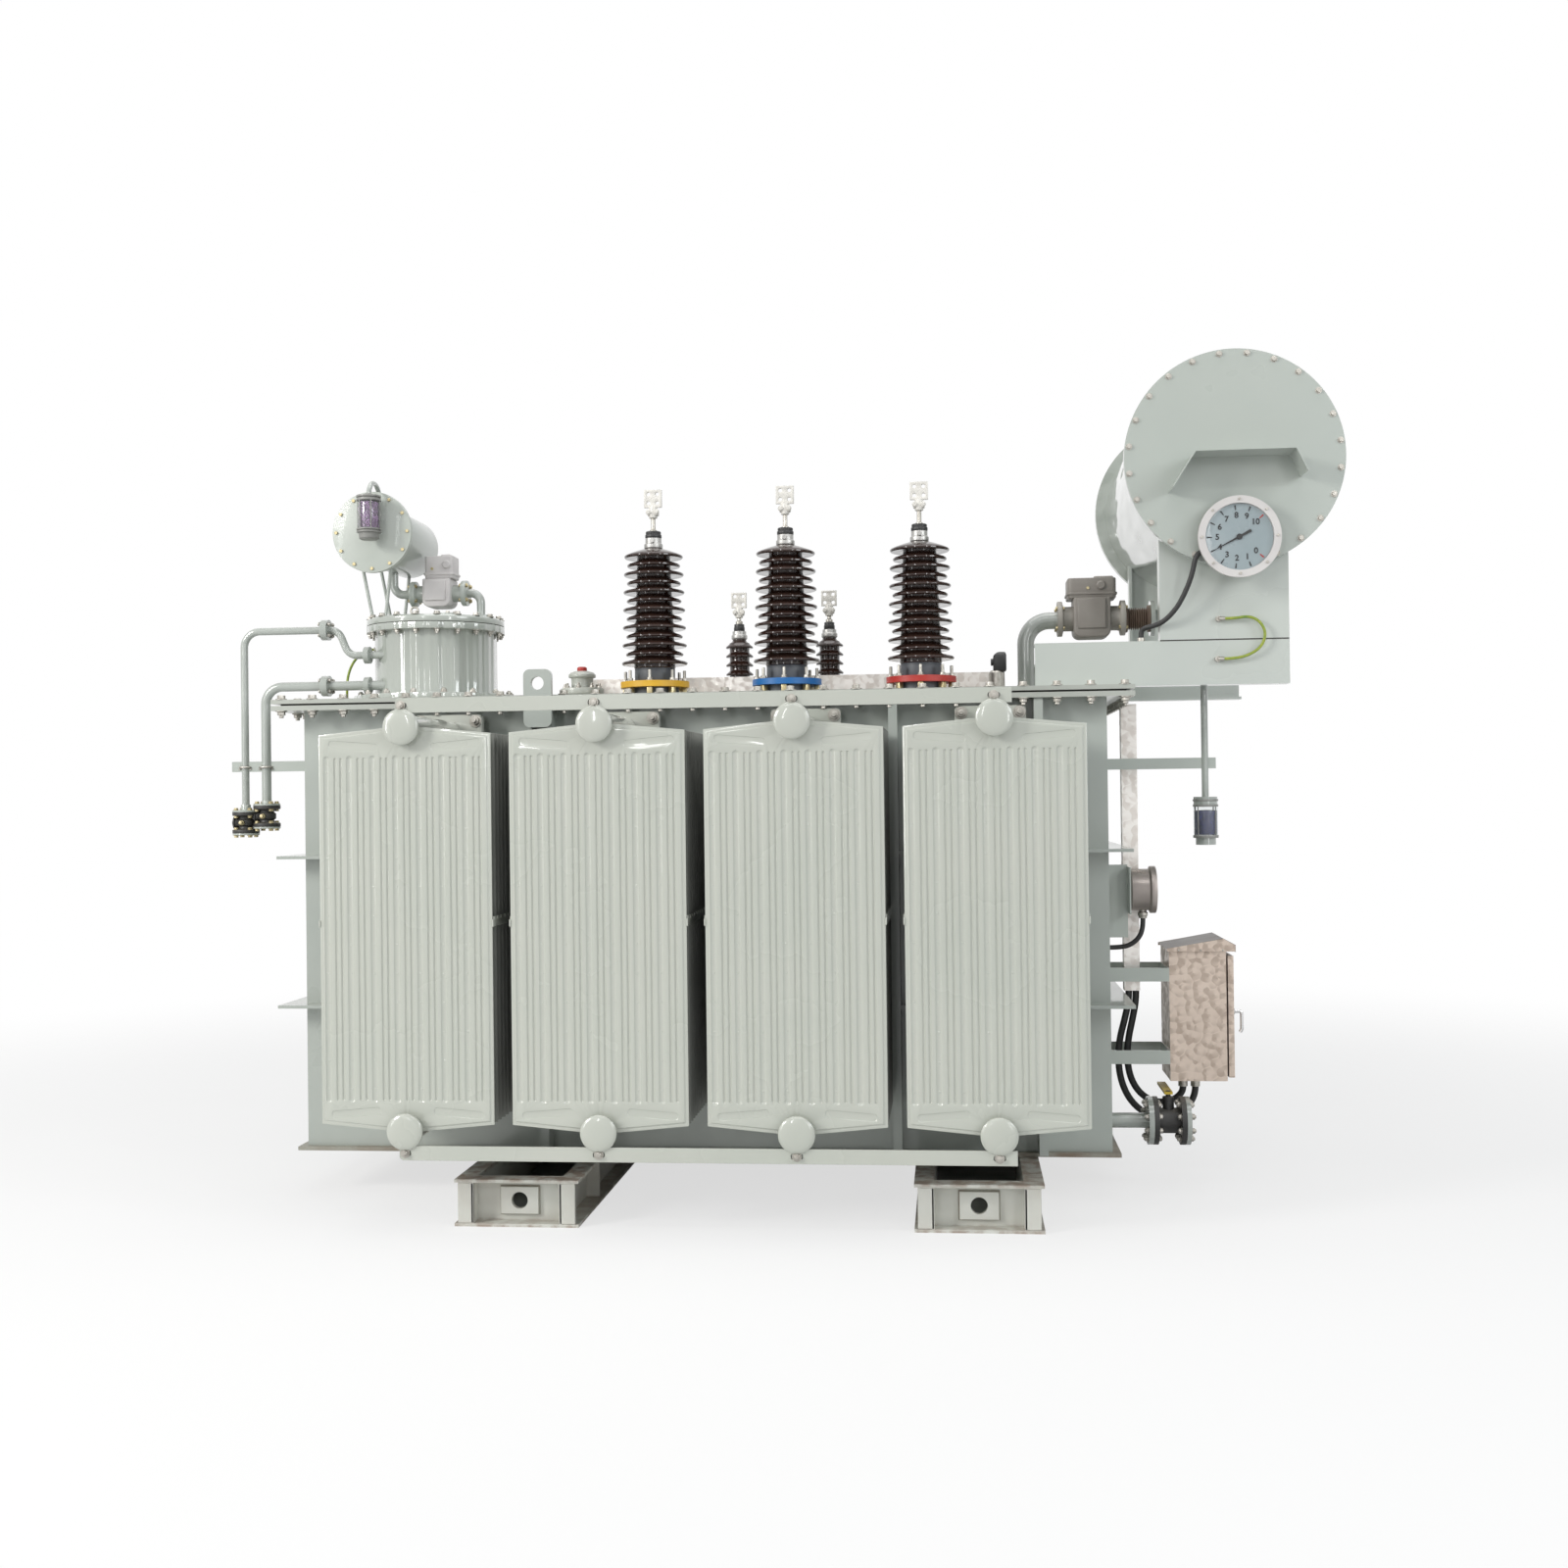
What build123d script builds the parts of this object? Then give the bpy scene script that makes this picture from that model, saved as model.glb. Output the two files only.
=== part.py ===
"""Oil-immersed power transformer with an on-load tap changer, built from its separate pieces.

Millimetres. X runs along the tank, Y away from the viewer of the high-voltage side, Z up from the ground.
"""

import os
from math import cos, radians, sin, tan

from build123d import *

os.makedirs("parts", exist_ok=True)

# Driving dimensions

# Tank
tank_x = -157.0
tank_length = 2590.0
tank_depth = 1000.0
wall = 8.0
skid_height = 140.0
bottom_thickness = 12.0
bottom_reach = 25.0
wall_height = 1416.0
rim_thickness = 16.0
rim_reach = 80.0
gasket_thickness = 6.0
gasket_reach = 56.0
cover_thickness = 14.0
wall_bottom = skid_height + bottom_thickness
rim_bottom = wall_bottom + wall_height
gasket_bottom = rim_bottom + rim_thickness
cover_bottom = gasket_bottom + gasket_thickness
cover_top = cover_bottom + cover_thickness
front_y = -tank_depth / 2
right_x = tank_x + tank_length / 2
left_x = tank_x - tank_length / 2

# Stiffening ribs round the tank
rib_reach = 70.0
rib_thickness = 10.0
rib_low_rise = 459.0
rib_high_rise = 941.0
rib_levels = (wall_bottom + rib_low_rise, wall_bottom + rib_high_rise)
upright_offsets = (-490.0, 630.0, 1080.0)
upright_xs = [tank_x + offset for offset in upright_offsets]
upright_thickness = 28.0

# Lifting lugs
lug_offsets = (-490.0,)
lug_xs = [tank_x + offset for offset in lug_offsets]
lug_width = 90.0
lug_thickness = 20.0
lug_rim_clearance = 5.0
lug_gap = rim_reach + lug_rim_clearance
lug_gusset_drop = 118.0
lug_gusset_height = 110.0
lug_gusset_thickness = 12.0
lug_gusset_spacing = 60.0
lug_plate_drop = 68.0
lug_eye_rise = 36.0
lug_eye_radius = 21.0
lug_head = 44.0
lug_corner = 20.0
lug_foot = rim_bottom - lug_gusset_drop
lug_plate_foot = rim_bottom - lug_plate_drop
lug_eye_z = cover_top + lug_eye_rise

# Skids: two channels each, tied by a cross channel at both ends
skid_offsets = (-495.0, 875.0)
skid_xs = [tank_x + offset for offset in skid_offsets]
skid_length = 1820.0
skid_web_gap = 261.0
flange_width = 58.0
channel_web = 6.0
channel_flange = 9.5
doubler_width = 114.0
doubler_height = 80.0
doubler_thickness = 12.0
tow_hole_radius = 25.0

# Radiators: a stack of pressed plates between two headers
radiator_count = 4
radiator_pitch = 575.0
radiator_first_offset = -792.5
radiator_xs = [tank_x + radiator_first_offset + radiator_pitch * i for i in range(radiator_count)]
plate_count = 11
plate_pitch = 40.0
plate_thickness = 10.0
plate_width = 520.0
plate_low_rise = 170.0
plate_height = 1147.0
plate_peak = 25.0
plate_corner_low = wall_bottom + plate_low_rise
plate_corner_high = plate_corner_low + plate_height
stack_depth = (plate_count - 1) * plate_pitch + plate_thickness
radiator_gap = 95.0
plate_front_y = front_y - radiator_gap - stack_depth

# Pressed flutes: in every period one wide groove with its weld line, and two narrow ones
flute_count = 7
flute_period = 70.0
flute_depth = 2.5
flute_taper = 35.0
flute_margin = 62.0
wide_flute = 20.0
narrow_flute = 8.0
wide_flute_offset = -26.25
narrow_flute_offsets = (0.0, 17.5)

# Headers with end caps, wall flanges and the bars that tie the radiators together
header_radius = 38.0
header_low_drop = 17.0
header_high_rise = 20.0
header_low = plate_corner_low - header_low_drop
header_high = plate_corner_high + header_high_rise
header_cap_radius = 54.0
header_cap_thickness = 12.0
header_cap_round = 4.0
header_cap_reach = 40.0
header_cap_front = plate_front_y - header_cap_reach
header_flange_radius = 72.0
header_flange_thickness = 14.0
header_flange_gap = 50.0
comb_rise = 594.0
comb_height = 30.0
comb_thickness = 4.0
tie_thickness = 8.0
tie_height = 43.0
tie_header_gap = 41.0
tie_cap_clearance = 3.0
tie_lug_width = 40.0
tie_lug_root = 20.0
tie_left_over = 10.0
tie_right_over = 95.0
tie_back_y = header_cap_front + header_cap_thickness + tie_cap_clearance + tie_thickness
tie_high_bottom = header_high + tie_header_gap
tie_low_bottom = header_low - tie_header_gap - tie_height

# High-voltage bushings
hv_y = -250.0
hv_first_offset = -175.0
hv_pitch = 445.0
hv_xs = [tank_x + hv_first_offset + hv_pitch * i for i in range(3)]
foot_height = 36.0
foot_top = cover_top + foot_height
hv_foot_radius = 80.0
hv_ring_radius = 115.0
hv_ring_thickness = 20.0
hv_neck_radius = 66.0
hv_neck_height = 60.0
hv_porcelain_height = 460.0
hv_core_low = 68.0
hv_core_high = 55.0
hv_shed_low = 110.0
hv_shed_high = 98.0
hv_small_shed_low = 97.0
hv_small_shed_high = 88.0
hv_shed_count = 13
hv_shed_rise = 74.0
hv_shed_drop = 42.8
shed_lip = 4.0
shed_edge = 5.0
shed_slope = 10.0
hv_cap_radius = 45.0
hv_cap_foot = 14.0
hv_cap_neck_radius = 36.0
hv_cap_height = 37.0
hv_nut_radius = 26.0
hv_nut_height = 24.0
stud_radius = 10.0
hv_stud_rise = 85.0
clamp_width = 38.0
clamp_depth = 34.0
clamp_height = 34.0
hv_pad_size = 60.0
pad_thickness = 10.0
pad_hole_radius = 6.5
pad_hole_pitch = 30.0
hv_porcelain_top = foot_top + hv_porcelain_height
hv_cap_top = hv_porcelain_top + hv_cap_height
hv_pad_bottom = hv_cap_top + hv_nut_height + hv_stud_rise

# Low-voltage bushings
lv_y = 280.0
lv_first_offset = 45.0
lv_pitch = 330.0
lv_xs = [tank_x + lv_first_offset + lv_pitch * i for i in range(3)]
lv_foot_radius = 70.0
lv_neck_radius = 36.0
lv_porcelain_height = 220.0
lv_shed_radius = 50.0
lv_shed_count = 4
lv_shed_rise = 80.0
lv_shed_drop = 41.0
lv_cap_radius = 32.0
lv_cap_height = 24.0
lv_nut_radius = 21.0
lv_nut_height = 20.0
lv_stud_rise = 58.0
lv_pad_size = 56.0
lv_porcelain_top = foot_top + lv_porcelain_height
lv_cap_top = lv_porcelain_top + lv_cap_height
lv_pad_bottom = lv_cap_top + lv_nut_height + lv_stud_rise

# Tap changer head
oltc_inset = 290.0
oltc_x = left_x + oltc_inset
oltc_seat_radius = 250.0
oltc_seat_height = 14.0
oltc_ring_radius = 285.0
oltc_ring_thickness = 22.0
oltc_radius = 212.0
oltc_height = 258.0
oltc_flange_radius = 240.0
oltc_flange_thickness = 24.0
oltc_cover_thickness = 25.0
oltc_cover_chamfer = 9.0
head_stud_drop = 49.0
oltc_hatch_x = oltc_x + 65.0
oltc_hatch_y = -100.0
oltc_hatch_radius = 45.0
oltc_hatch_height = 12.0
oltc_ring_top = cover_top + oltc_seat_height + oltc_ring_thickness
oltc_flange_bottom = cover_top + oltc_height
oltc_cover_bottom = oltc_flange_bottom + oltc_flange_thickness
oltc_cover_top = oltc_cover_bottom + oltc_cover_thickness

# Tap changer conservator on four rods, with its relay and breather
small_x = oltc_x - 130.0
small_rise = 274.0
small_z = oltc_cover_top + small_rise
small_radius = 105.0
small_flange_radius = 137.0
small_front = -280.0
small_back = 120.0
small_plate = 10.0
rod_radius = 7.0
rod_ys = (-130.0, 70.0)
rod_outer_foot = -185.0
rod_inner_foot = -140.0
rod_outer_head = -80.0
rod_inner_head = 10.0
rod_head_drop = 45.0
small_relay_x = oltc_x + 22.0
small_relay_y = -20.0
small_relay_rise = 92.0
small_relay_z = oltc_cover_top + small_relay_rise
small_relay_width = 100.0
small_relay_depth = 100.0
small_relay_height = 100.0
small_head_width = 104.0
small_head_depth = 88.0
small_head_height = 80.0
small_head_shift = 8.0
small_relay_chamfer = 12.0
small_relay_reach = 92.0
small_relay_bore = 30.0
small_relay_flange = 45.0
small_flange_thickness = 18.0
small_pipe_radius = 15.0
small_pipe_bend = 24.0
small_fall_x = oltc_x + 170.0
small_fall_flange = 40.0
small_fall_flange_height = 12.0
small_breather_x = oltc_x - 120.0
small_breather_y = small_front - 65.0
small_glass_radius = 37.0
small_glass_height = 106.0
small_cup_radius = 31.0
small_cup_height = 28.0
small_cap_radius = 39.0
small_cap_height = 12.0
small_breather_bottom = small_z - 35.0
small_glass_bottom = small_breather_bottom + small_cup_height
small_glass_top = small_glass_bottom + small_glass_height
hook_radius = 7.0
hook_bend = 24.0
hook_rise = 56.0
hook_reach = 60.0

# Pressure relief valve
relief_x = tank_x - 457.0
relief_y = -100.0
relief_neck_radius = 60.0
relief_neck_height = 56.0
relief_flange_radius = 76.0
relief_flange_height = 30.0
relief_dome_radius = 52.0
relief_dome_height = 55.0

# Pocket of the oil thermometer on the cover
pocket_x = tank_x + 967.0
pocket_y = -100.0
pocket_base_radius = 28.0
pocket_base_height = 16.0
pocket_radius = 15.0
pocket_height = 110.0
pocket_head_radius = 20.0
pocket_head_length = 62.0

# Main conservator, carried on two channels and two saddles
conservator_x = right_x + 395.0
conservator_rise = 696.0
conservator_z = cover_top + conservator_rise
conservator_radius = 300.0
conservator_flange_radius = 335.0
conservator_half = 518.0
conservator_wall = 6.0
conservator_plate = 14.0
beam_left = right_x - 218.0
beam_right = right_x + 565.0
beam_height = 140.0
beam_front = -470.0
saddle_left = right_x + 170.0
saddle_thickness = 10.0
saddle_flange = 50.0

# Oil gauge on the front plate, and the visor over it
gauge_x = conservator_x + 6.0
gauge_z = conservator_z - 251.0
gauge_radius = 125.0
gauge_bezel = 15.0
gauge_body_radius = 100.0
gauge_depth = 45.0
gauge_dial_radius = 103.0
gauge_dial_depth = 12.0
gauge_back = -conservator_half - conservator_plate
visor_reach = 110.0
visor_sheet = 3.0
visor_left_foot = (-202.0, -105.0)
visor_left_top = (-133.0, 4.0)
visor_right_top = (167.0, 4.0)
visor_right_foot = (201.0, -67.0)

# Main relay and its pipes
relay_y = 0.0
relay_rise = 258.0
relay_z = cover_top + relay_rise
main_pipe_radius = 29.0
main_bend = 80.0
main_riser_x = right_x - 226.0
main_foot_radius = 62.0
main_foot_height = 16.0
relay_left = right_x - 118.0
relay_right = right_x + 110.0
relay_flange_radius = 60.0
relay_flange_thickness = 14.0
relay_bore_radius = 40.0
relay_body_width = 124.0
relay_body_depth = 124.0
relay_body_drop = 64.0
relay_body_height = 136.0
relay_body_chamfer = 14.0
relay_head_width = 162.0
relay_head_depth = 120.0
relay_head_height = 66.0
relay_head_chamfer = 16.0
bellows_right = right_x + 193.0
bellows_core = 28.0
bellows_radius = 35.0
bellows_fold = 5.0
bellows_pitch = 10.0
bellows_count = 6
conservator_riser_x = right_x + 325.0
conservator_bend = 70.0

# Main breather
breather_x = right_x + 327.0
breather_y = -300.0
breather_pipe_radius = 11.0
breather_drop = 1046.0
breather_head_radius = 38.0
breather_head_height = 32.0
breather_glass_radius = 40.0
breather_glass_height = 91.0
breather_cup_radius = 32.0
breather_cup_height = 31.0
breather_head_top = conservator_z - breather_drop
breather_glass_top = breather_head_top - breather_head_height
breather_glass_bottom = breather_glass_top - breather_glass_height
breather_cup_bottom = breather_glass_bottom - breather_cup_height
breather_bar_z = breather_head_top + 91.0
breather_bar_height = 35.0
breather_bar_over = 34.0
bar_thickness = 6.0

# Thermometer on the right wall
thermometer_y = -300.0
thermometer_z = wall_bottom + 805.0
thermometer_radius = 70.0
thermometer_depth = 84.0
thermometer_bezel_radius = 76.0
thermometer_bezel = 12.0
thermometer_gland_radius = 11.0
thermometer_gland_length = 22.0
thermometer_gland_x = 44.0
thermometer_plate = 4.0
thermometer_plate_size = 150.0
thermometer_bar_reach = 76.0
thermometer_bar_drop = 154.0
thermometer_bar_height = 235.0
thermometer_left = right_x + thermometer_bar_reach + thermometer_plate

# Control cabinet on the right wall
cabinet_gap = 205.0
cabinet_depth = 180.0
cabinet_left = right_x + cabinet_gap
cabinet_right = cabinet_left + cabinet_depth
cabinet_front = -300.0
cabinet_back = -80.0
cabinet_bottom = 340.0
cabinet_height = 426.0
cabinet_top = cabinet_bottom + cabinet_height
cabinet_sheet = 3.0
roof_left_over = 8.0
roof_front_over = 10.0
roof_ridge_x = 171.0
roof_ridge_rise = 33.0
roof_right_over = 29.0
roof_right_rise = 12.0
roof_fascia_drop = 10.0
roof_sheet = 3.0
door_gap = 5.0
door_thickness = 18.0
door_low_margin = 12.0
door_high_margin = 24.0
door_side_margin = 2.0
door_bottom = cabinet_bottom + door_low_margin
door_top = cabinet_top - door_high_margin
hinge_out = 10.0
hinge_x = cabinet_right + hinge_out
hinge_y = cabinet_back + hinge_out
hinge_rises = (70.0, 310.0)
hinge_levels = [cabinet_bottom + rise for rise in hinge_rises]
hinge_leaf_reach = 44.0
hinge_leaf_depth = 14.0
hinge_leaf_height = 12.0
hinge_leaf_shift = 18.0
hinge_leaf_inset = 3.0
pin_radius = 4.0
pin_clearance = 0.4
knuckle_radius = 7.0
knuckle_height = 25.0
knuckle_clearance = 0.5
knuckle_web = 8.0
handle_inset = 38.0
handle_rise = 220.0
handle_y = cabinet_front + handle_inset
handle_z = cabinet_bottom + handle_rise
handle_stem_radius = 6.0
handle_stem_clearance = 0.5
handle_stem_out = 26.0
handle_grip_width = 16.0
handle_grip_thickness = 10.0
handle_grip_length = 84.0
handle_grip_above = 16.0
bracket_rises = (54.0, 320.0)
bracket_levels = [cabinet_bottom + rise for rise in bracket_rises]
bracket_height = 44.0
bracket_thickness = 5.0
bracket_back = -100.0

# Drain valve on the right wall
drain_y = -350.0
drain_z = wall_bottom + 71.0
drain_pipe_radius = 24.0
drain_pipe_length = 123.0
drain_flange_radius = 76.0
drain_flange = 16.0
drain_valve_length = 102.0
drain_body_radius = 40.0
drain_neck_radius = 18.0
drain_neck_height = 76.0
drain_blank = 14.0
drain_stem_radius = 8.0
drain_stem_shift = 51.0
stem_clearance = 0.4
stem_over = 10.0
lever_rise = 85.0
lever_length = 180.0
lever_heel = 14.0
lever_width = 26.0
lever_thickness = 8.0
drain_flange_x = right_x + drain_pipe_length
drain_valve_left = drain_flange_x + drain_flange
drain_valve_right = drain_valve_left + drain_valve_length
drain_stem_x = drain_valve_left + drain_stem_shift
lever_bottom = drain_z + lever_rise

# Tap changer oil pipes and valves on the left
oil_pipe_y = -150.0
feed_pipe_x = left_x - 353.0
return_pipe_x = left_x - 277.0
feed_pipe_radius = 13.0
return_pipe_radius = 16.5
feed_bend = 46.0
feed_corner_bend = 55.0
return_bend = 60.0
feed_tap_z = cover_top + 176.0
feed_pipe_z = cover_top + 266.0
feed_rise_x = left_x + 24.0
feed_level_x = left_x - 12.0
return_pipe_z = cover_top + 71.0
feed_valve_top = wall_bottom + 1110.0
return_valve_top = wall_bottom + 1124.0
pipe_flange_x = left_x - 57.0
pipe_flange_radius = 36.0
pipe_flange_thickness = 24.0
tap_flange_gap = 12.0
tap_flange_thickness = 18.0
valve_flange_radius = 38.0
valve_flange_height = 22.0
valve_body_radius = 24.0
valve_height = 110.0
oil_bar_z = wall_bottom + 1228.0
oil_bar_height = 36.0
oil_bar_over = 48.0

# Cable ducts
duct_size = 50.0
duct_left_offset = -500.0
duct_right_offset = 950.0
duct_left = tank_x + duct_left_offset
duct_right = tank_x + duct_right_offset
duct_y = 45.0
duct_rise = 38.0
duct_foot = 30.0
duct_foot_pitch = 600.0
duct_bottom = cover_top + duct_rise
side_duct_x = right_x + rib_reach + duct_size / 2
side_duct_y = -200.0
side_duct_rib_gap = 6.0
side_duct_rim_gap = 8.0
side_duct_bottom = rib_levels[0] + rib_thickness / 2 + side_duct_rib_gap
side_duct_top = rim_bottom - side_duct_rim_gap

# Cables and bonding wires
cable_radius = 8.0
control_cable_radius = 11.0
bond_radius = 4.5
gland_radius = 15.0
gland_length = 38.0
gauge_gland_radius = 12.0
gauge_gland_length = 14.0
gauge_gland_angle = 200.0
clip_radius = 12.0
clip_length = 12.0
bond_stud_radius = 9.0
bond_stud_length = 14.0
bond_barrel_radius = 6.5
bond_barrel_length = 18.0
saddle_stud_offset = 1644.0
saddle_stud_rise = 64.0
beam_stud_offset = 1640.0
beam_stud_rise = 9.0
cover_stud_offset = 322.0
cover_stud_y = -20.0

standing = (Align.CENTER, Align.CENTER, Align.MIN)
along_x = (0, 90, 0)
along_y = (90, 0, 0)


def bent_pipe(points, bend, radius):
    """A round pipe along straight runs, with one bend radius for all corners or one for each."""
    with BuildPart() as pipe:
        with BuildLine() as path:
            FilletPolyline(*points, radius=bend)
        with BuildSketch(Plane(origin=path.line @ 0, z_dir=path.line % 0)):
            Circle(radius)
        sweep(path=path.line)
    return pipe.part


def straight_rod(start, end, radius):
    """A round rod from one point to another."""
    run = Vector(*end) - Vector(*start)
    with BuildPart(Plane(origin=start, z_dir=run)) as rod:
        Cylinder(radius, run.length, align=standing)
    return rod.part


def cable(name, points, radius):
    """A soft cable: each arc is as large as its two runs allow."""
    bends = []
    for before, corner, after in zip(points, points[1:], points[2:]):
        arriving = Vector(*corner) - Vector(*before)
        leaving = Vector(*after) - Vector(*corner)
        turn = radians(arriving.get_angle(leaving))
        shorter = min(arriving.length, leaving.length)
        bends.append(0.45 * shorter / tan(turn / 2))
    tube = bent_pipe(points, bends, radius)
    print(name, "radii", [round(bend) for bend in bends], "volume", round(tube.volume))
    return tube


# Tank walls, bottom, rim, gasket and cover

with BuildPart() as tank_walls:
    with BuildSketch(Plane.XY.offset(wall_bottom)):
        with Locations((tank_x, 0)):
            Rectangle(tank_length, tank_depth)
            Rectangle(tank_length - 2 * wall, tank_depth - 2 * wall, mode=Mode.SUBTRACT)
    extrude(amount=wall_height)
tank_walls.part.label = "tank_walls"
export_step(tank_walls.part, "parts/tank_walls.step")

with BuildPart() as tank_bottom:
    with Locations((tank_x, 0, skid_height)):
        Box(tank_length + 2 * bottom_reach, tank_depth + 2 * bottom_reach, bottom_thickness, align=standing)
tank_bottom.part.label = "tank_bottom"
export_step(tank_bottom.part, "parts/tank_bottom.step")

with BuildPart() as tank_rim:
    with BuildSketch(Plane.XY.offset(rim_bottom)):
        with Locations((tank_x, 0)):
            Rectangle(tank_length + 2 * rim_reach, tank_depth + 2 * rim_reach)
            Rectangle(tank_length - 2 * wall, tank_depth - 2 * wall, mode=Mode.SUBTRACT)
    extrude(amount=rim_thickness)
tank_rim.part.label = "tank_rim"
export_step(tank_rim.part, "parts/tank_rim.step")

with BuildPart() as tank_gasket:
    with BuildSketch(Plane.XY.offset(gasket_bottom)):
        with Locations((tank_x, 0)):
            Rectangle(tank_length + 2 * gasket_reach, tank_depth + 2 * gasket_reach)
            Rectangle(tank_length, tank_depth, mode=Mode.SUBTRACT)
    extrude(amount=gasket_thickness)
tank_gasket.part.label = "tank_gasket"
export_step(tank_gasket.part, "parts/tank_gasket.step")

with BuildPart() as tank_cover:
    with Locations((tank_x, 0, cover_bottom)):
        Box(tank_length + 2 * rim_reach, tank_depth + 2 * rim_reach, cover_thickness, align=standing)
tank_cover.part.label = "tank_cover"
export_step(tank_cover.part, "parts/tank_cover.step")

# Ribs: two level rings and the uprights on both long walls
with BuildPart() as tank_ribs:
    for level in rib_levels:
        with BuildSketch(Plane.XY.offset(level - rib_thickness / 2)):
            with Locations((tank_x, 0)):
                Rectangle(tank_length + 2 * rib_reach, tank_depth + 2 * rib_reach)
                Rectangle(tank_length, tank_depth, mode=Mode.SUBTRACT)
        extrude(amount=rib_thickness)
    for upright_x in upright_xs:
        upright_top = lug_foot if upright_x in lug_xs else rim_bottom
        for side in (-1, 1):
            with Locations((upright_x, side * (tank_depth / 2 + rib_reach / 2), wall_bottom)):
                Box(upright_thickness, rib_reach, upright_top - wall_bottom, align=standing)
tank_ribs.part.label = "tank_ribs"
export_step(tank_ribs.part, "parts/tank_ribs.step")

# Lifting lugs: an eye plate standing clear of the rim on two gussets
with BuildPart() as lifting_lugs:
    for lug_x in lug_xs:
        with BuildSketch(Plane.XZ.offset(-front_y + lug_gap)):
            with Locations((lug_x, (lug_plate_foot + lug_eye_z + lug_head) / 2)):
                RectangleRounded(lug_width, lug_eye_z + lug_head - lug_plate_foot, lug_corner)
            with Locations((lug_x, lug_eye_z)):
                Circle(lug_eye_radius, mode=Mode.SUBTRACT)
        extrude(amount=lug_thickness)
        with Locations((lug_x, front_y - lug_gap / 2, lug_foot)):
            with GridLocations(lug_gusset_spacing, 0, 2, 1):
                Box(lug_gusset_thickness, lug_gap, lug_gusset_height, align=standing)
    mirror(about=Plane.XZ)
lifting_lugs.part.label = "lifting_lugs"
export_step(lifting_lugs.part, "parts/lifting_lugs.step")


# Skids

with BuildPart() as skid_channels:
    with BuildSketch(Plane.XZ.offset(-skid_length / 2)):
        for skid_x in skid_xs:
            for side in (-1, 1):
                web_x = skid_x + side * skid_web_gap / 2
                with Locations((web_x + side * flange_width / 2, skid_height / 2)):
                    Rectangle(flange_width, skid_height)
                with Locations((web_x + side * (channel_web + flange_width / 2), skid_height / 2)):
                    Rectangle(flange_width, skid_height - 2 * channel_flange, mode=Mode.SUBTRACT)
    extrude(amount=skid_length)
skid_channels.part.label = "skid_channels"
export_step(skid_channels.part, "parts/skid_channels.step")

# A cross channel between the webs, with a doubler plate round its tow hole
with BuildPart() as one_skid_end:
    end_y = -skid_length / 2
    web_back = end_y + flange_width - channel_web
    with Locations((0, end_y + flange_width / 2, skid_height / 2)):
        Box(skid_web_gap, flange_width, skid_height)
    with Locations((0, (end_y + web_back) / 2, skid_height / 2)):
        Box(skid_web_gap, web_back - end_y, skid_height - 2 * channel_flange, mode=Mode.SUBTRACT)
    with Locations((0, web_back - doubler_thickness / 2, skid_height / 2)):
        Box(doubler_width, doubler_thickness, doubler_height)
    with Locations((0, end_y + flange_width / 2, skid_height / 2)):
        Cylinder(tow_hole_radius, flange_width, rotation=along_y, mode=Mode.SUBTRACT)

with BuildPart() as skid_ends:
    with Locations(*[Location((x, 0, 0), (0, 0, turn)) for x in skid_xs for turn in (0, 180)]):
        add(one_skid_end.part)
skid_ends.part.label = "skid_ends"
export_step(skid_ends.part, "parts/skid_ends.step")


# Radiators

# A plate of the stack: peaked at both ends, and let in round the two headers
with BuildPart() as inner_plate:
    with BuildSketch(Plane.XZ):
        with BuildLine():
            Polyline(
                (-plate_width / 2, plate_corner_low),
                (0, plate_corner_low - plate_peak),
                (plate_width / 2, plate_corner_low),
                (plate_width / 2, plate_corner_high),
                (0, plate_corner_high + plate_peak),
                (-plate_width / 2, plate_corner_high),
                close=True,
            )
        make_face()
        with Locations((0, header_low), (0, header_high)):
            Circle(header_radius, mode=Mode.SUBTRACT)
    extrude(amount=-plate_thickness)

# The outer plate shows the pressed flutes
with BuildPart() as outer_plate:
    add(inner_plate.part)
    flute_height = plate_height - 2 * flute_margin
    flute_z = (plate_corner_low + plate_corner_high) / 2
    with BuildSketch(Plane.XZ):
        for index in range(flute_count):
            period_x = (index - (flute_count - 1) / 2) * flute_period
            with Locations((period_x + wide_flute_offset, flute_z)):
                Rectangle(wide_flute, flute_height)
            with Locations(*[(period_x + offset, flute_z) for offset in narrow_flute_offsets]):
                Rectangle(narrow_flute, flute_height)
    extrude(amount=-flute_depth, taper=flute_taper, mode=Mode.SUBTRACT)

with BuildPart() as plate_stack:
    with Locations((0, plate_front_y, 0)):
        add(outer_plate.part)
    with Locations(*[(0, plate_front_y + i * plate_pitch, 0) for i in range(1, plate_count - 1)]):
        add(inner_plate.part)
    with Locations(Location((0, plate_front_y + stack_depth, 0), (0, 0, 180))):
        add(outer_plate.part)

with BuildPart() as radiator_plates_front:
    with Locations(*[(x, 0, 0) for x in radiator_xs]):
        add(plate_stack.part)
radiator_plates_front.part.label = "radiator_plates_front"
export_step(radiator_plates_front.part, "parts/radiator_plates_front.step")

with BuildPart() as radiator_plates_back:
    with Locations(*[Location((x, 0, 0), (0, 0, 180)) for x in radiator_xs]):
        add(plate_stack.part)
radiator_plates_back.part.label = "radiator_plates_back"
export_step(radiator_plates_back.part, "parts/radiator_plates_back.step")

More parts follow.
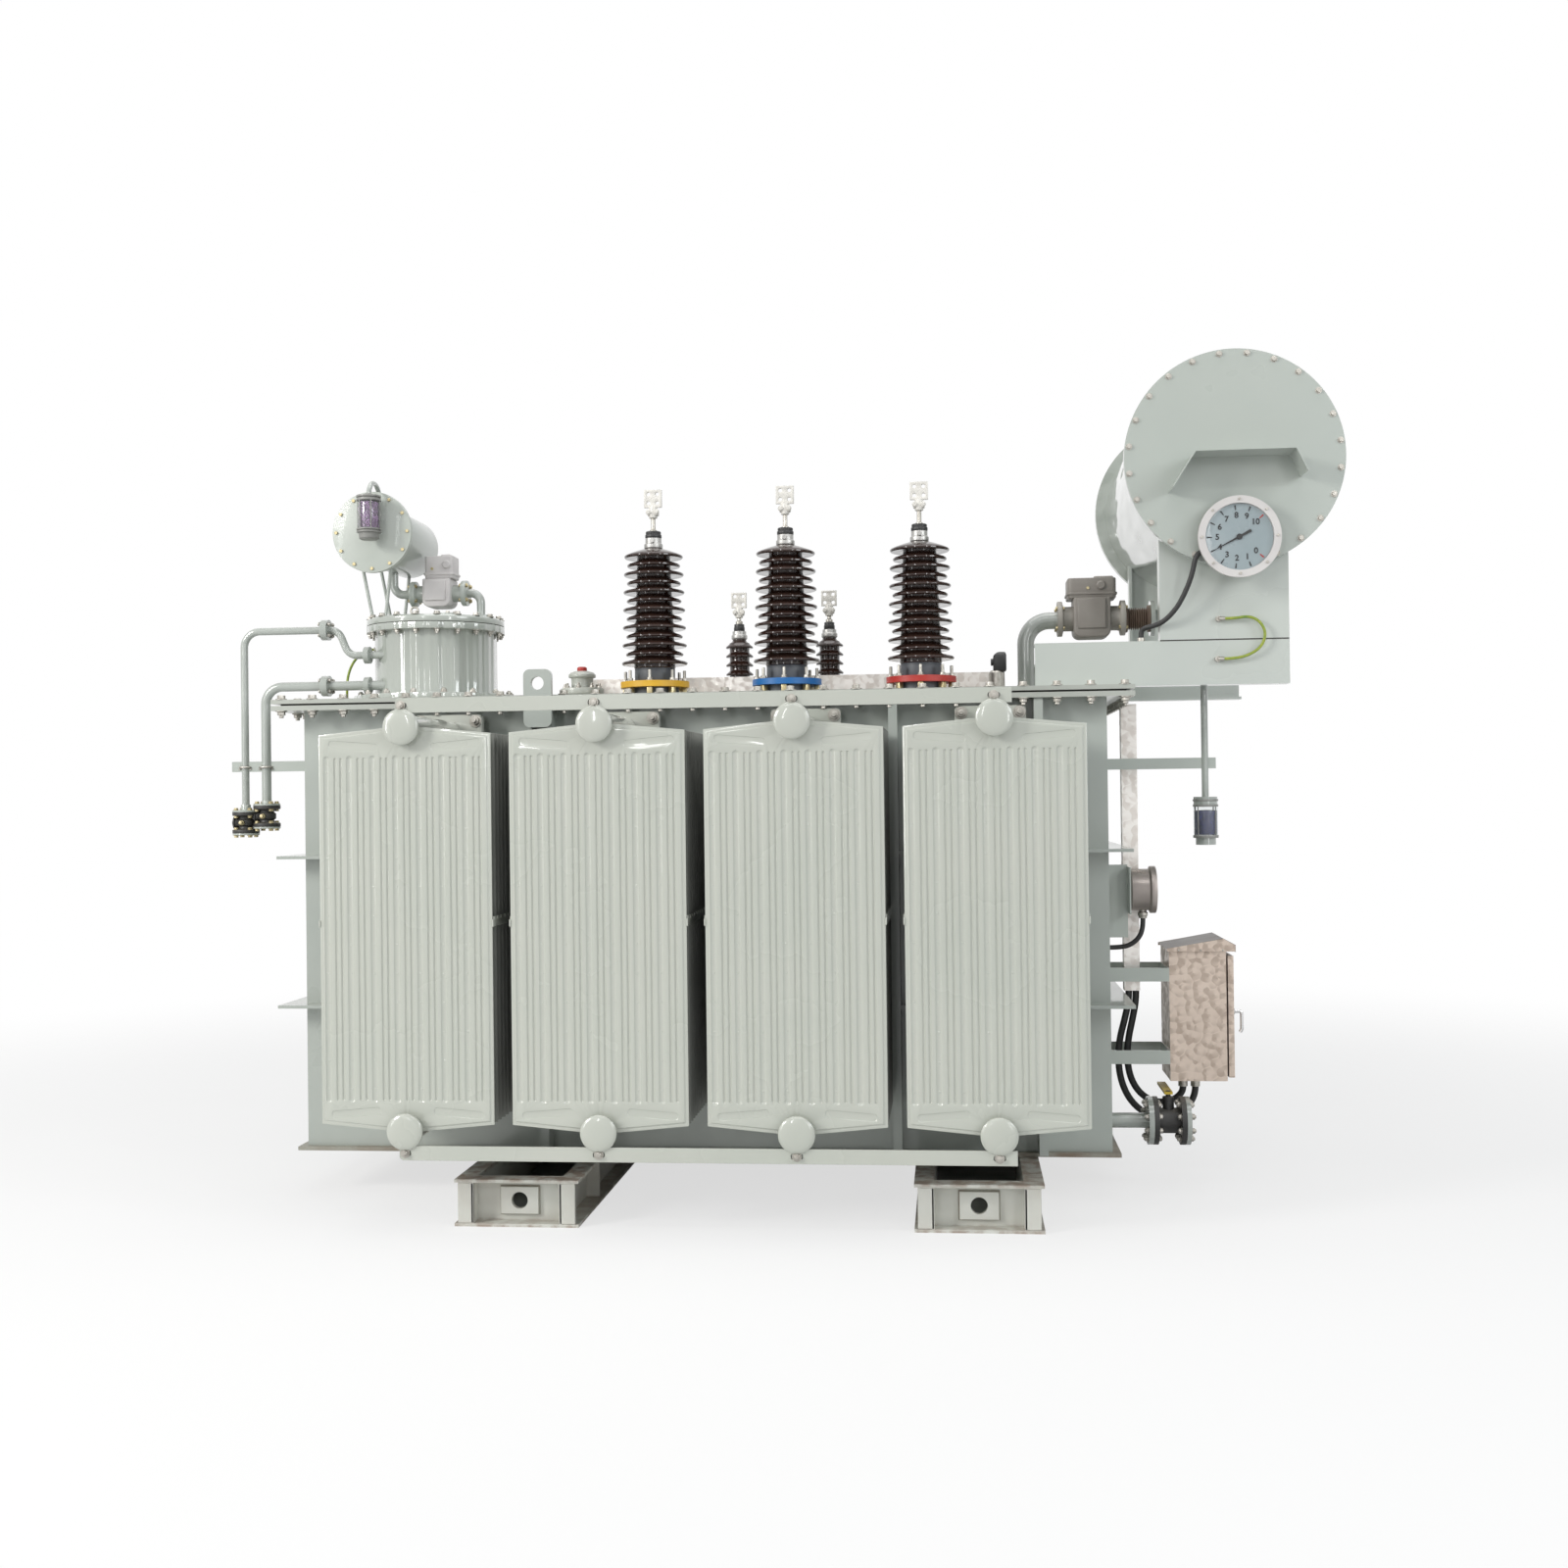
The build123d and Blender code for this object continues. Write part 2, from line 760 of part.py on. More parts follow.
# Two headers with their caps, wall flanges and tie lugs, and the comb strips on the plate edges
with BuildPart() as header_pair:
    header_length = front_y - header_cap_front
    for header_z, side in ((header_low, -1), (header_high, 1)):
        with Locations((0, header_cap_front + header_cap_thickness / 2, header_z)):
            Cylinder(header_cap_radius, header_cap_thickness, rotation=along_y)
        rim_edges = edges().filter_by(GeomType.CIRCLE).group_by(Axis.Y)[0]
        fillet(rim_edges.sort_by(Axis.Z)[0 if side < 0 else -1], radius=header_cap_round)
        with Locations((0, header_cap_front + header_length / 2 + header_cap_thickness / 2, header_z)):
            Cylinder(header_radius, header_length - header_cap_thickness, rotation=along_y)
        with Locations((0, front_y - header_flange_gap, header_z)):
            Cylinder(header_flange_radius, 2 * header_flange_thickness, rotation=along_y)
        lug_root = header_z + side * tie_lug_root
        lug_tip = header_z + side * (tie_header_gap + tie_height)
        with Locations((0, tie_back_y + tie_thickness / 2, (lug_root + lug_tip) / 2)):
            Box(tie_lug_width, tie_thickness, abs(lug_tip - lug_root))
    with Locations((0, plate_front_y + stack_depth / 2, plate_corner_low + comb_rise)):
        with GridLocations(plate_width + comb_thickness, 0, 2, 1):
            Box(comb_thickness, stack_depth, comb_height)

with BuildPart() as radiator_headers_front:
    with Locations(*[(x, 0, 0) for x in radiator_xs]):
        add(header_pair.part)
radiator_headers_front.part.label = "radiator_headers_front"
export_step(radiator_headers_front.part, "parts/radiator_headers_front.step")

with BuildPart() as radiator_headers_back:
    with Locations(*[Location((x, 0, 0), (0, 0, 180)) for x in radiator_xs]):
        add(header_pair.part)
radiator_headers_back.part.label = "radiator_headers_back"
export_step(radiator_headers_back.part, "parts/radiator_headers_back.step")

# Flat bars that tie the radiators of a side together, above and below the headers
with BuildPart() as radiator_ties:
    tie_left = radiator_xs[0] - tie_left_over
    tie_right = radiator_xs[-1] + tie_right_over
    for bar_bottom in (tie_high_bottom, tie_low_bottom):
        with Locations(((tie_left + tie_right) / 2, tie_back_y - tie_thickness / 2, bar_bottom)):
            Box(tie_right - tie_left, tie_thickness, tie_height, align=standing)
    mirror(about=Plane.XZ)
radiator_ties.part.label = "radiator_ties"
export_step(radiator_ties.part, "parts/radiator_ties.step")


# High-voltage bushings

with BuildPart() as one_hv_porcelain:
    hv_shed_pitch = (hv_porcelain_height - hv_shed_rise - hv_shed_drop) / (hv_shed_count - 1)
    with BuildSketch(Plane.XZ):
        with BuildLine():
            neck_top = foot_top + hv_neck_height
            points = [(0, foot_top), (hv_neck_radius, foot_top), (hv_neck_radius, neck_top)]
            for index in range(hv_shed_count):
                share = index / (hv_shed_count - 1)
                shed_z = foot_top + hv_shed_rise + index * hv_shed_pitch
                core = hv_core_low + (hv_core_high - hv_core_low) * share
                large = hv_shed_low + (hv_shed_high - hv_shed_low) * share
                small = hv_small_shed_low + (hv_small_shed_high - hv_small_shed_low) * share
                reach = large if index % 2 == 0 else small
                edge_top = shed_z - shed_lip + shed_edge
                points += [(core, shed_z - shed_lip), (reach, shed_z - shed_lip)]
                points += [(reach, edge_top), (core, edge_top + shed_slope)]
            points += [(hv_core_high, hv_porcelain_top), (0, hv_porcelain_top)]
            Polyline(*points, close=True)
        make_face()
    revolve(axis=Axis.Z)

with BuildPart() as hv_porcelain:
    with Locations(*[(x, hv_y, 0) for x in hv_xs]):
        add(one_hv_porcelain.part)
hv_porcelain.part.label = "hv_porcelain"
export_step(hv_porcelain.part, "parts/hv_porcelain.step")

# A clamping ring round each porcelain foot, painted in its phase colour
with BuildPart() as one_hv_ring:
    with BuildSketch(Plane.XY.offset(foot_top)):
        Circle(hv_ring_radius)
        Circle(hv_neck_radius, mode=Mode.SUBTRACT)
    extrude(amount=hv_ring_thickness)

with BuildPart() as hv_ring_left:
    with Locations((hv_xs[0], hv_y, 0)):
        add(one_hv_ring.part)
hv_ring_left.part.label = "hv_ring_left"
export_step(hv_ring_left.part, "parts/hv_ring_left.step")

with BuildPart() as hv_ring_middle:
    with Locations((hv_xs[1], hv_y, 0)):
        add(one_hv_ring.part)
hv_ring_middle.part.label = "hv_ring_middle"
export_step(hv_ring_middle.part, "parts/hv_ring_middle.step")

with BuildPart() as hv_ring_right:
    with Locations((hv_xs[2], hv_y, 0)):
        add(one_hv_ring.part)
hv_ring_right.part.label = "hv_ring_right"
export_step(hv_ring_right.part, "parts/hv_ring_right.step")

with BuildPart() as bushing_feet:
    with Locations(*[(x, hv_y, cover_top) for x in hv_xs]):
        Cylinder(hv_foot_radius, foot_height, align=standing)
    with Locations(*[(x, lv_y, cover_top) for x in lv_xs]):
        Cylinder(lv_foot_radius, foot_height, align=standing)
bushing_feet.part.label = "bushing_feet"
export_step(bushing_feet.part, "parts/bushing_feet.step")

# Cap, hexagon nut, stud, clamp and a flat pad with four holes
with BuildPart() as one_hv_terminal:
    with Locations((0, 0, hv_porcelain_top)):
        Cylinder(hv_cap_radius, hv_cap_foot, align=standing)
        Cylinder(hv_cap_neck_radius, hv_cap_height, align=standing)
    with BuildSketch(Plane.XY.offset(hv_cap_top)):
        RegularPolygon(hv_nut_radius, 6)
    extrude(amount=hv_nut_height)
    with Locations((0, 0, hv_cap_top + hv_nut_height)):
        Cylinder(stud_radius, hv_stud_rise, align=standing)
    with Locations((0, 0, hv_pad_bottom - clamp_height)):
        Box(clamp_width, clamp_depth, clamp_height, align=standing)
    with Locations((0, 0, hv_pad_bottom)):
        Box(hv_pad_size, pad_thickness, hv_pad_size, align=standing)
    with BuildSketch(Plane.XZ.offset(-pad_thickness / 2)):
        with Locations((0, hv_pad_bottom + hv_pad_size / 2)):
            with GridLocations(pad_hole_pitch, pad_hole_pitch, 2, 2):
                Circle(pad_hole_radius)
    extrude(amount=pad_thickness, mode=Mode.SUBTRACT)

with BuildPart() as hv_terminals:
    with Locations(*[(x, hv_y, 0) for x in hv_xs]):
        add(one_hv_terminal.part)
hv_terminals.part.label = "hv_terminals"
export_step(hv_terminals.part, "parts/hv_terminals.step")


# Low-voltage bushings

with BuildPart() as one_lv_porcelain:
    lv_shed_pitch = (lv_porcelain_height - lv_shed_rise - lv_shed_drop) / (lv_shed_count - 1)
    with BuildSketch(Plane.XZ):
        with BuildLine():
            points = [(0, foot_top), (lv_neck_radius, foot_top)]
            for index in range(lv_shed_count):
                shed_z = foot_top + lv_shed_rise + index * lv_shed_pitch
                edge_top = shed_z - shed_lip + shed_edge
                points += [(lv_neck_radius, shed_z - shed_lip), (lv_shed_radius, shed_z - shed_lip)]
                points += [(lv_shed_radius, edge_top), (lv_neck_radius, edge_top + shed_slope)]
            points += [(lv_neck_radius, lv_porcelain_top), (0, lv_porcelain_top)]
            Polyline(*points, close=True)
        make_face()
    revolve(axis=Axis.Z)

with BuildPart() as lv_porcelain:
    with Locations(*[(x, lv_y, 0) for x in lv_xs]):
        add(one_lv_porcelain.part)
lv_porcelain.part.label = "lv_porcelain"
export_step(lv_porcelain.part, "parts/lv_porcelain.step")

with BuildPart() as one_lv_terminal:
    with Locations((0, 0, lv_porcelain_top)):
        Cylinder(lv_cap_radius, lv_cap_height, align=standing)
    with BuildSketch(Plane.XY.offset(lv_cap_top)):
        RegularPolygon(lv_nut_radius, 6)
    extrude(amount=lv_nut_height)
    with Locations((0, 0, lv_cap_top + lv_nut_height)):
        Cylinder(stud_radius, lv_stud_rise, align=standing)
    with Locations((0, 0, lv_pad_bottom - clamp_height)):
        Box(clamp_width, clamp_depth, clamp_height, align=standing)
    with Locations((0, 0, lv_pad_bottom)):
        Box(lv_pad_size, pad_thickness, lv_pad_size, align=standing)
    with BuildSketch(Plane.XZ.offset(-pad_thickness / 2)):
        with Locations((0, lv_pad_bottom + lv_pad_size / 2)):
            with GridLocations(pad_hole_pitch, pad_hole_pitch, 2, 2):
                Circle(pad_hole_radius)
    extrude(amount=pad_thickness, mode=Mode.SUBTRACT)

with BuildPart() as lv_terminals:
    with Locations(*[(x, lv_y, 0) for x in lv_xs]):
        add(one_lv_terminal.part)
lv_terminals.part.label = "lv_terminals"
export_step(lv_terminals.part, "parts/lv_terminals.step")


# Tap changer head, its conservator, relay and breather

with BuildPart() as oltc_drum:
    with Locations((oltc_x, 0, cover_top)):
        Cylinder(oltc_seat_radius, oltc_seat_height, align=standing)
        Cylinder(oltc_radius, oltc_height, align=standing)
    with Locations((oltc_x, 0, cover_top + oltc_seat_height)):
        Cylinder(oltc_ring_radius, oltc_ring_thickness, align=standing)
    with Locations((oltc_x, 0, oltc_flange_bottom)):
        Cylinder(oltc_flange_radius, oltc_flange_thickness, align=standing)
oltc_drum.part.label = "oltc_drum"
export_step(oltc_drum.part, "parts/oltc_drum.step")

with BuildPart() as oltc_cover:
    with Locations((oltc_x, 0, oltc_cover_bottom)):
        Cylinder(oltc_flange_radius, oltc_cover_thickness, align=standing)
    chamfer(edges().group_by(Axis.Z)[-1], length=oltc_cover_chamfer)
    with Locations((oltc_hatch_x, oltc_hatch_y, oltc_cover_top)):
        Cylinder(oltc_hatch_radius, oltc_hatch_height, align=standing)
oltc_cover.part.label = "oltc_cover"
export_step(oltc_cover.part, "parts/oltc_cover.step")

small_rods = []
for rod_y in rod_ys:
    for foot, head in ((rod_outer_foot, rod_outer_head), (rod_inner_foot, rod_inner_head)):
        rod_foot = (oltc_x + foot, rod_y, oltc_cover_top)
        rod_head = (small_x + head, rod_y, small_z - rod_head_drop)
        small_rods.append(straight_rod(rod_foot, rod_head, rod_radius))

with BuildPart() as small_conservator:
    with Locations((small_x, (small_front + small_back) / 2, small_z)):
        Cylinder(small_radius, small_back - small_front, rotation=along_y)
    with Locations((small_x, small_front, small_z)):
        Cylinder(small_flange_radius, 2 * small_plate, rotation=along_y)
    add(small_rods)
    with Locations((oltc_x, 0, oltc_cover_bottom)):
        Cylinder(oltc_flange_radius, oltc_cover_thickness, align=standing, mode=Mode.SUBTRACT)
small_conservator.part.label = "small_conservator"
export_step(small_conservator.part, "parts/small_conservator.step")

with BuildPart() as small_relay:
    with Locations((small_relay_x, small_relay_y, small_relay_z)):
        Box(small_relay_width, small_relay_depth, small_relay_height)
    chamfer(edges().filter_by(Axis.Z), length=small_relay_chamfer)
    small_relay_top = small_relay_z + small_relay_height / 2
    with Locations((small_relay_x + small_head_shift, small_relay_y, small_relay_top)):
        Box(small_head_width, small_head_depth, small_head_height, align=standing)
    with Locations((small_relay_x, small_relay_y, small_relay_z)):
        Cylinder(small_relay_bore, 2 * small_relay_reach, rotation=along_x)
        with GridLocations(2 * small_relay_reach, 0, 2, 1):
            Cylinder(small_relay_flange, small_flange_thickness, rotation=along_x)
small_relay.part.label = "small_relay"
export_step(small_relay.part, "parts/small_relay.step")

small_pipe_left = small_relay_x - small_relay_reach - small_flange_thickness / 2
small_pipe_right = small_relay_x + small_relay_reach + small_flange_thickness / 2
rising_pipe = bent_pipe(
    [
        (small_pipe_left, small_relay_y, small_relay_z),
        (small_x - small_pipe_radius, small_relay_y, small_relay_z),
        (small_x - small_pipe_radius, small_relay_y, small_z),
    ],
    small_pipe_bend,
    small_pipe_radius,
)
falling_pipe = bent_pipe(
    [
        (small_pipe_right, small_relay_y, small_relay_z),
        (small_fall_x, small_relay_y, small_relay_z),
        (small_fall_x, small_relay_y, oltc_cover_top),
    ],
    small_pipe_bend,
    small_pipe_radius,
)
hook_foot = small_glass_top + small_cap_height
hook_pipe = bent_pipe(
    [
        (small_breather_x, small_breather_y, hook_foot),
        (small_breather_x, small_breather_y, hook_foot + hook_rise),
        (small_breather_x, small_front + hook_reach, hook_foot + hook_rise),
        (small_breather_x, small_front + hook_reach, small_z),
    ],
    hook_bend,
    hook_radius,
)

with BuildPart() as small_pipes:
    add(rising_pipe)
    add(falling_pipe)
    add(hook_pipe)
    with Locations((small_fall_x, small_relay_y, oltc_cover_top)):
        Cylinder(small_fall_flange, small_fall_flange_height, align=standing)
    with Locations((small_breather_x, small_breather_y, small_glass_top)):
        Cylinder(small_cap_radius, small_cap_height, align=standing)
    with Locations((small_breather_x, small_breather_y, small_breather_bottom)):
        Cylinder(small_cup_radius, small_cup_height, align=standing)
    with Locations((small_x, (small_front + small_back) / 2, small_z)):
        Cylinder(small_radius, small_back - small_front, rotation=along_y, mode=Mode.SUBTRACT)
small_pipes.part.label = "small_pipes"
export_step(small_pipes.part, "parts/small_pipes.step")

with BuildPart() as small_breather:
    with Locations((small_breather_x, small_breather_y, small_glass_bottom)):
        Cylinder(small_glass_radius, small_glass_height, align=standing)
small_breather.part.label = "small_breather"
export_step(small_breather.part, "parts/small_breather.step")


# Pressure relief valve and thermometer pocket on the cover

with BuildPart() as relief_valve:
    with Locations((relief_x, relief_y, cover_top)):
        Cylinder(relief_neck_radius, relief_neck_height, align=standing)
    with Locations((relief_x, relief_y, cover_top + relief_neck_height)):
        Cylinder(relief_flange_radius, relief_flange_height, align=standing)
    with Locations((relief_x, relief_y, cover_top + relief_neck_height + relief_flange_height)):
        Cylinder(relief_dome_radius, relief_dome_height, align=standing)
relief_valve.part.label = "relief_valve"
export_step(relief_valve.part, "parts/relief_valve.step")

with BuildPart() as cover_pocket:
    with Locations((pocket_x, pocket_y, cover_top)):
        Cylinder(pocket_base_radius, pocket_base_height, align=standing)
        Cylinder(pocket_radius, pocket_height, align=standing)
    with Locations((pocket_x + pocket_head_length / 2, pocket_y, cover_top + pocket_height)):
        Cylinder(pocket_head_radius, pocket_head_length + pocket_radius, rotation=along_x)
cover_pocket.part.label = "cover_pocket"
export_step(cover_pocket.part, "parts/cover_pocket.step")


# Main conservator

with BuildPart() as conservator_shell:
    with Locations((conservator_x, 0, conservator_z)):
        Cylinder(conservator_radius, 2 * conservator_half, rotation=along_y)
    for side in (-1, 1):
        with Locations((conservator_x, side * (conservator_half - conservator_plate / 2), conservator_z)):
            Cylinder(conservator_flange_radius, conservator_plate, rotation=along_y)
    with Locations((conservator_x, 0, conservator_z)):
        Cylinder(
            conservator_radius - conservator_wall,
            2 * conservator_half,
            rotation=along_y,
            mode=Mode.SUBTRACT,
        )
conservator_shell.part.label = "conservator_shell"
export_step(conservator_shell.part, "parts/conservator_shell.step")

with BuildPart() as conservator_ends:
    with Locations((conservator_x, -conservator_half - conservator_plate / 2, conservator_z)):
        Cylinder(conservator_flange_radius, conservator_plate, rotation=along_y)
    mirror(about=Plane.XZ)
conservator_ends.part.label = "conservator_ends"
export_step(conservator_ends.part, "parts/conservator_ends.step")

# Channels that reach out over the cover, and saddle plates with bent edges under the shell
with BuildPart() as conservator_frame:
    beam_length = beam_right - beam_left
    beam_x = (beam_left + beam_right) / 2
    with Locations((beam_x, beam_front + flange_width / 2, cover_top)):
        Box(beam_length, flange_width, beam_height, align=standing)
    with Locations((beam_x, beam_front + channel_web + flange_width / 2, cover_top + channel_flange)):
        Box(beam_length, flange_width, beam_height - 2 * channel_flange, align=standing, mode=Mode.SUBTRACT)
    saddle_bottom = cover_top + beam_height
    saddle_height = conservator_z - saddle_bottom
    saddle_width = beam_right - saddle_left
    with Locations(((saddle_left + beam_right) / 2, beam_front + saddle_thickness / 2, saddle_bottom)):
        Box(saddle_width, saddle_thickness, saddle_height, align=standing)
    for edge_x in (saddle_left + saddle_thickness / 2, beam_right - saddle_thickness / 2):
        with Locations((edge_x, beam_front + saddle_flange / 2, saddle_bottom)):
            Box(saddle_thickness, saddle_flange, saddle_height, align=standing)
    with Locations((conservator_x, 0, conservator_z)):
        Cylinder(conservator_radius, 2 * conservator_half, rotation=along_y, mode=Mode.SUBTRACT)
    mirror(about=Plane.XZ)
conservator_frame.part.label = "conservator_frame"
export_step(conservator_frame.part, "parts/conservator_frame.step")

with BuildPart() as gauge_case:
    with Locations((gauge_x, gauge_back - gauge_depth / 2, gauge_z)):
        Cylinder(gauge_body_radius, gauge_depth, rotation=along_y)
    with Locations((gauge_x, gauge_back - gauge_depth + gauge_bezel / 2, gauge_z)):
        Cylinder(gauge_radius, gauge_bezel, rotation=along_y)
    with Locations((gauge_x, gauge_back - gauge_depth + gauge_dial_depth / 2, gauge_z)):
        Cylinder(gauge_dial_radius, gauge_dial_depth, rotation=along_y, mode=Mode.SUBTRACT)
gauge_case.part.label = "gauge_case"
export_step(gauge_case.part, "parts/gauge_case.step")

with BuildPart() as rain_visor:
    with BuildSketch(Plane((conservator_x, gauge_back, conservator_z), x_dir=(1, 0, 0), z_dir=(0, -1, 0))):
        with BuildLine():
            Polyline(visor_left_foot, visor_left_top, visor_right_top, visor_right_foot)
            offset(amount=visor_sheet, side=Side.RIGHT, kind=Kind.INTERSECTION)
        make_face()
    extrude(amount=visor_reach)
rain_visor.part.label = "rain_visor"
export_step(rain_visor.part, "parts/rain_visor.step")


# Main relay between tank and conservator

with BuildPart() as main_relay:
    relay_mid = (relay_left + relay_right) / 2
    with Locations((relay_mid, relay_y, relay_z - relay_body_drop)):
        Box(relay_body_width, relay_body_depth, relay_body_height, align=standing)
    chamfer(edges().filter_by(Axis.Z), length=relay_body_chamfer)
    with Locations((relay_mid, relay_y, relay_z - relay_body_drop + relay_body_height)):
        Box(relay_head_width, relay_head_depth, relay_head_height, align=standing)
    chamfer(edges().group_by(Axis.Z)[-1], length=relay_head_chamfer)
    with Locations((relay_mid, relay_y, relay_z)):
        Cylinder(relay_bore_radius, relay_right - relay_left, rotation=along_x)
        with GridLocations(relay_right - relay_left - relay_flange_thickness, 0, 2, 1):
            Cylinder(relay_flange_radius, relay_flange_thickness, rotation=along_x)
main_relay.part.label = "main_relay"
export_step(main_relay.part, "parts/main_relay.step")

with BuildPart() as main_bellows:
    bellows_mid = (relay_right + bellows_right) / 2
    with Locations((bellows_mid, relay_y, relay_z)):
        Cylinder(bellows_core, bellows_right - relay_right, rotation=along_x)
        with GridLocations(bellows_pitch, 0, bellows_count, 1):
            Cylinder(bellows_radius, bellows_fold, rotation=along_x)
main_bellows.part.label = "main_bellows"
export_step(main_bellows.part, "parts/main_bellows.step")

riser_pipe = bent_pipe(
    [
        (main_riser_x, relay_y, cover_top),
        (main_riser_x, relay_y, relay_z),
        (relay_left, relay_y, relay_z),
    ],
    main_bend,
    main_pipe_radius,
)
upper_pipe = bent_pipe(
    [
        (bellows_right, relay_y, relay_z),
        (conservator_riser_x, relay_y, relay_z),
        (conservator_riser_x, relay_y, conservator_z),
    ],
    conservator_bend,
    main_pipe_radius,
)

with BuildPart() as main_pipes:
    add(riser_pipe)
    add(upper_pipe)
    with Locations((main_riser_x, relay_y, cover_top)):
        Cylinder(main_foot_radius, main_foot_height, align=standing)
    with Locations((bellows_right + relay_flange_thickness / 2, relay_y, relay_z)):
        Cylinder(relay_flange_radius, relay_flange_thickness, rotation=along_x)
    with Locations((conservator_x, 0, conservator_z)):
        Cylinder(conservator_radius, 2 * conservator_half, rotation=along_y, mode=Mode.SUBTRACT)
main_pipes.part.label = "main_pipes"
export_step(main_pipes.part, "parts/main_pipes.step")


# Main breather

with BuildPart() as breather_pipe:
    with Locations((breather_x, breather_y, breather_head_top)):
        Cylinder(breather_pipe_radius, conservator_z - breather_head_top, align=standing)
    with Locations((breather_x, breather_y, breather_glass_top)):
        Cylinder(breather_head_radius, breather_head_height, align=standing)
    with Locations((breather_x, breather_y, breather_cup_bottom)):
        Cylinder(breather_cup_radius, breather_cup_height, align=standing)
    with Locations((conservator_x, 0, conservator_z)):
        Cylinder(conservator_radius, 2 * conservator_half, rotation=along_y, mode=Mode.SUBTRACT)
breather_pipe.part.label = "breather_pipe"
export_step(breather_pipe.part, "parts/breather_pipe.step")

with BuildPart() as breather_glass:
    with Locations((breather_x, breather_y, breather_glass_bottom)):
        Cylinder(breather_glass_radius, breather_glass_height, align=standing)
breather_glass.part.label = "breather_glass"
export_step(breather_glass.part, "parts/breather_glass.step")


# Thermometer

with BuildPart() as thermometer:
    with Locations((thermometer_left + thermometer_depth / 2, thermometer_y, thermometer_z)):
        Cylinder(thermometer_radius, thermometer_depth, rotation=along_x)
    bezel_x = thermometer_left + thermometer_depth - thermometer_bezel / 2
    with Locations((bezel_x, thermometer_y, thermometer_z)):
        Cylinder(thermometer_bezel_radius, thermometer_bezel, rotation=along_x)
    with Locations((thermometer_left + thermometer_gland_x, thermometer_y, thermometer_z)):
        Cylinder(
            thermometer_gland_radius,
            thermometer_radius + thermometer_gland_length,
            align=(Align.CENTER, Align.CENTER, Align.MAX),
        )
thermometer.part.label = "thermometer"
export_step(thermometer.part, "parts/thermometer.step")


# Control cabinet with its door and handle

cabinet_width = cabinet_back - cabinet_front
cabinet_x = (cabinet_left + cabinet_right) / 2
cabinet_y = (cabinet_front + cabinet_back) / 2

with BuildPart() as cabinet_body:
    with Locations((cabinet_x, cabinet_y, cabinet_bottom)):
        Box(cabinet_depth, cabinet_width, cabinet_height, align=standing)
    inside = faces().sort_by(Axis.X)[-1]
    offset(amount=-cabinet_sheet, openings=inside)
    for level in hinge_levels:
        with Locations((hinge_x - hinge_leaf_shift, hinge_y - hinge_leaf_inset, level)):
            Box(hinge_leaf_reach, hinge_leaf_depth, hinge_leaf_height, align=standing)
        with Locations((hinge_x, hinge_y, level)):
            Cylinder(pin_radius, hinge_leaf_height + knuckle_height + 2 * knuckle_clearance, align=standing)
cabinet_body.part.label = "cabinet_body"
export_step(cabinet_body.part, "parts/cabinet_body.step")

# A sloping sheet roof that sheds water over the door
with BuildPart() as cabinet_roof:
    with BuildSketch(Plane.XZ.offset(-cabinet_front + roof_front_over)):
        with BuildLine():
            Polyline(
                (cabinet_left - roof_left_over, cabinet_top),
                (cabinet_left + roof_ridge_x, cabinet_top + roof_ridge_rise),
                (cabinet_right + roof_right_over, cabinet_top + roof_right_rise),
                (cabinet_right + roof_right_over, cabinet_top - roof_fascia_drop),
                (cabinet_right + roof_right_over - roof_sheet, cabinet_top - roof_fascia_drop),
                (cabinet_right + roof_right_over - roof_sheet, cabinet_top),
                close=True,
            )
        make_face()
    extrude(amount=-cabinet_width - 2 * roof_front_over)
cabinet_roof.part.label = "cabinet_roof"
export_step(cabinet_roof.part, "parts/cabinet_roof.step")

door_x = cabinet_right + door_gap

with BuildPart() as cabinet_door:
    with Locations((door_x + door_thickness / 2, cabinet_y - door_side_margin / 2, door_bottom)):
        Box(door_thickness, cabinet_width - door_side_margin, door_top - door_bottom, align=standing)
    for level in hinge_levels:
        knuckle_bottom = level + hinge_leaf_height + knuckle_clearance
        with Locations((hinge_x, hinge_y - knuckle_web, knuckle_bottom)):
            Box(knuckle_web, 2 * knuckle_web, knuckle_height, align=standing)
        with Locations((hinge_x, hinge_y, knuckle_bottom)):
            Cylinder(knuckle_radius, knuckle_height, align=standing)
            Cylinder(pin_radius + pin_clearance, knuckle_height, align=standing, mode=Mode.SUBTRACT)
    with Locations((door_x + door_thickness / 2, handle_y, handle_z)):
        Cylinder(
            handle_stem_radius + handle_stem_clearance, door_thickness, rotation=along_x, mode=Mode.SUBTRACT
        )
cabinet_door.part.label = "cabinet_door"
export_step(cabinet_door.part, "parts/cabinet_door.step")

with BuildPart() as cabinet_handle:
    stem_length = door_thickness + handle_stem_out
    with Locations((door_x + stem_length / 2, handle_y, handle_z)):
        Cylinder(handle_stem_radius, stem_length, rotation=along_x)
    grip_bottom = handle_z + handle_grip_above - handle_grip_length
    with Locations((door_x + stem_length + handle_grip_thickness / 2, handle_y, grip_bottom)):
        Box(handle_grip_thickness, handle_grip_width, handle_grip_length, align=standing)
    fillet(edges().filter_by(Axis.X).group_by(Axis.Z)[0], radius=handle_grip_width / 3)
cabinet_handle.part.label = "cabinet_handle"
export_step(cabinet_handle.part, "parts/cabinet_handle.step")


# Drain valve

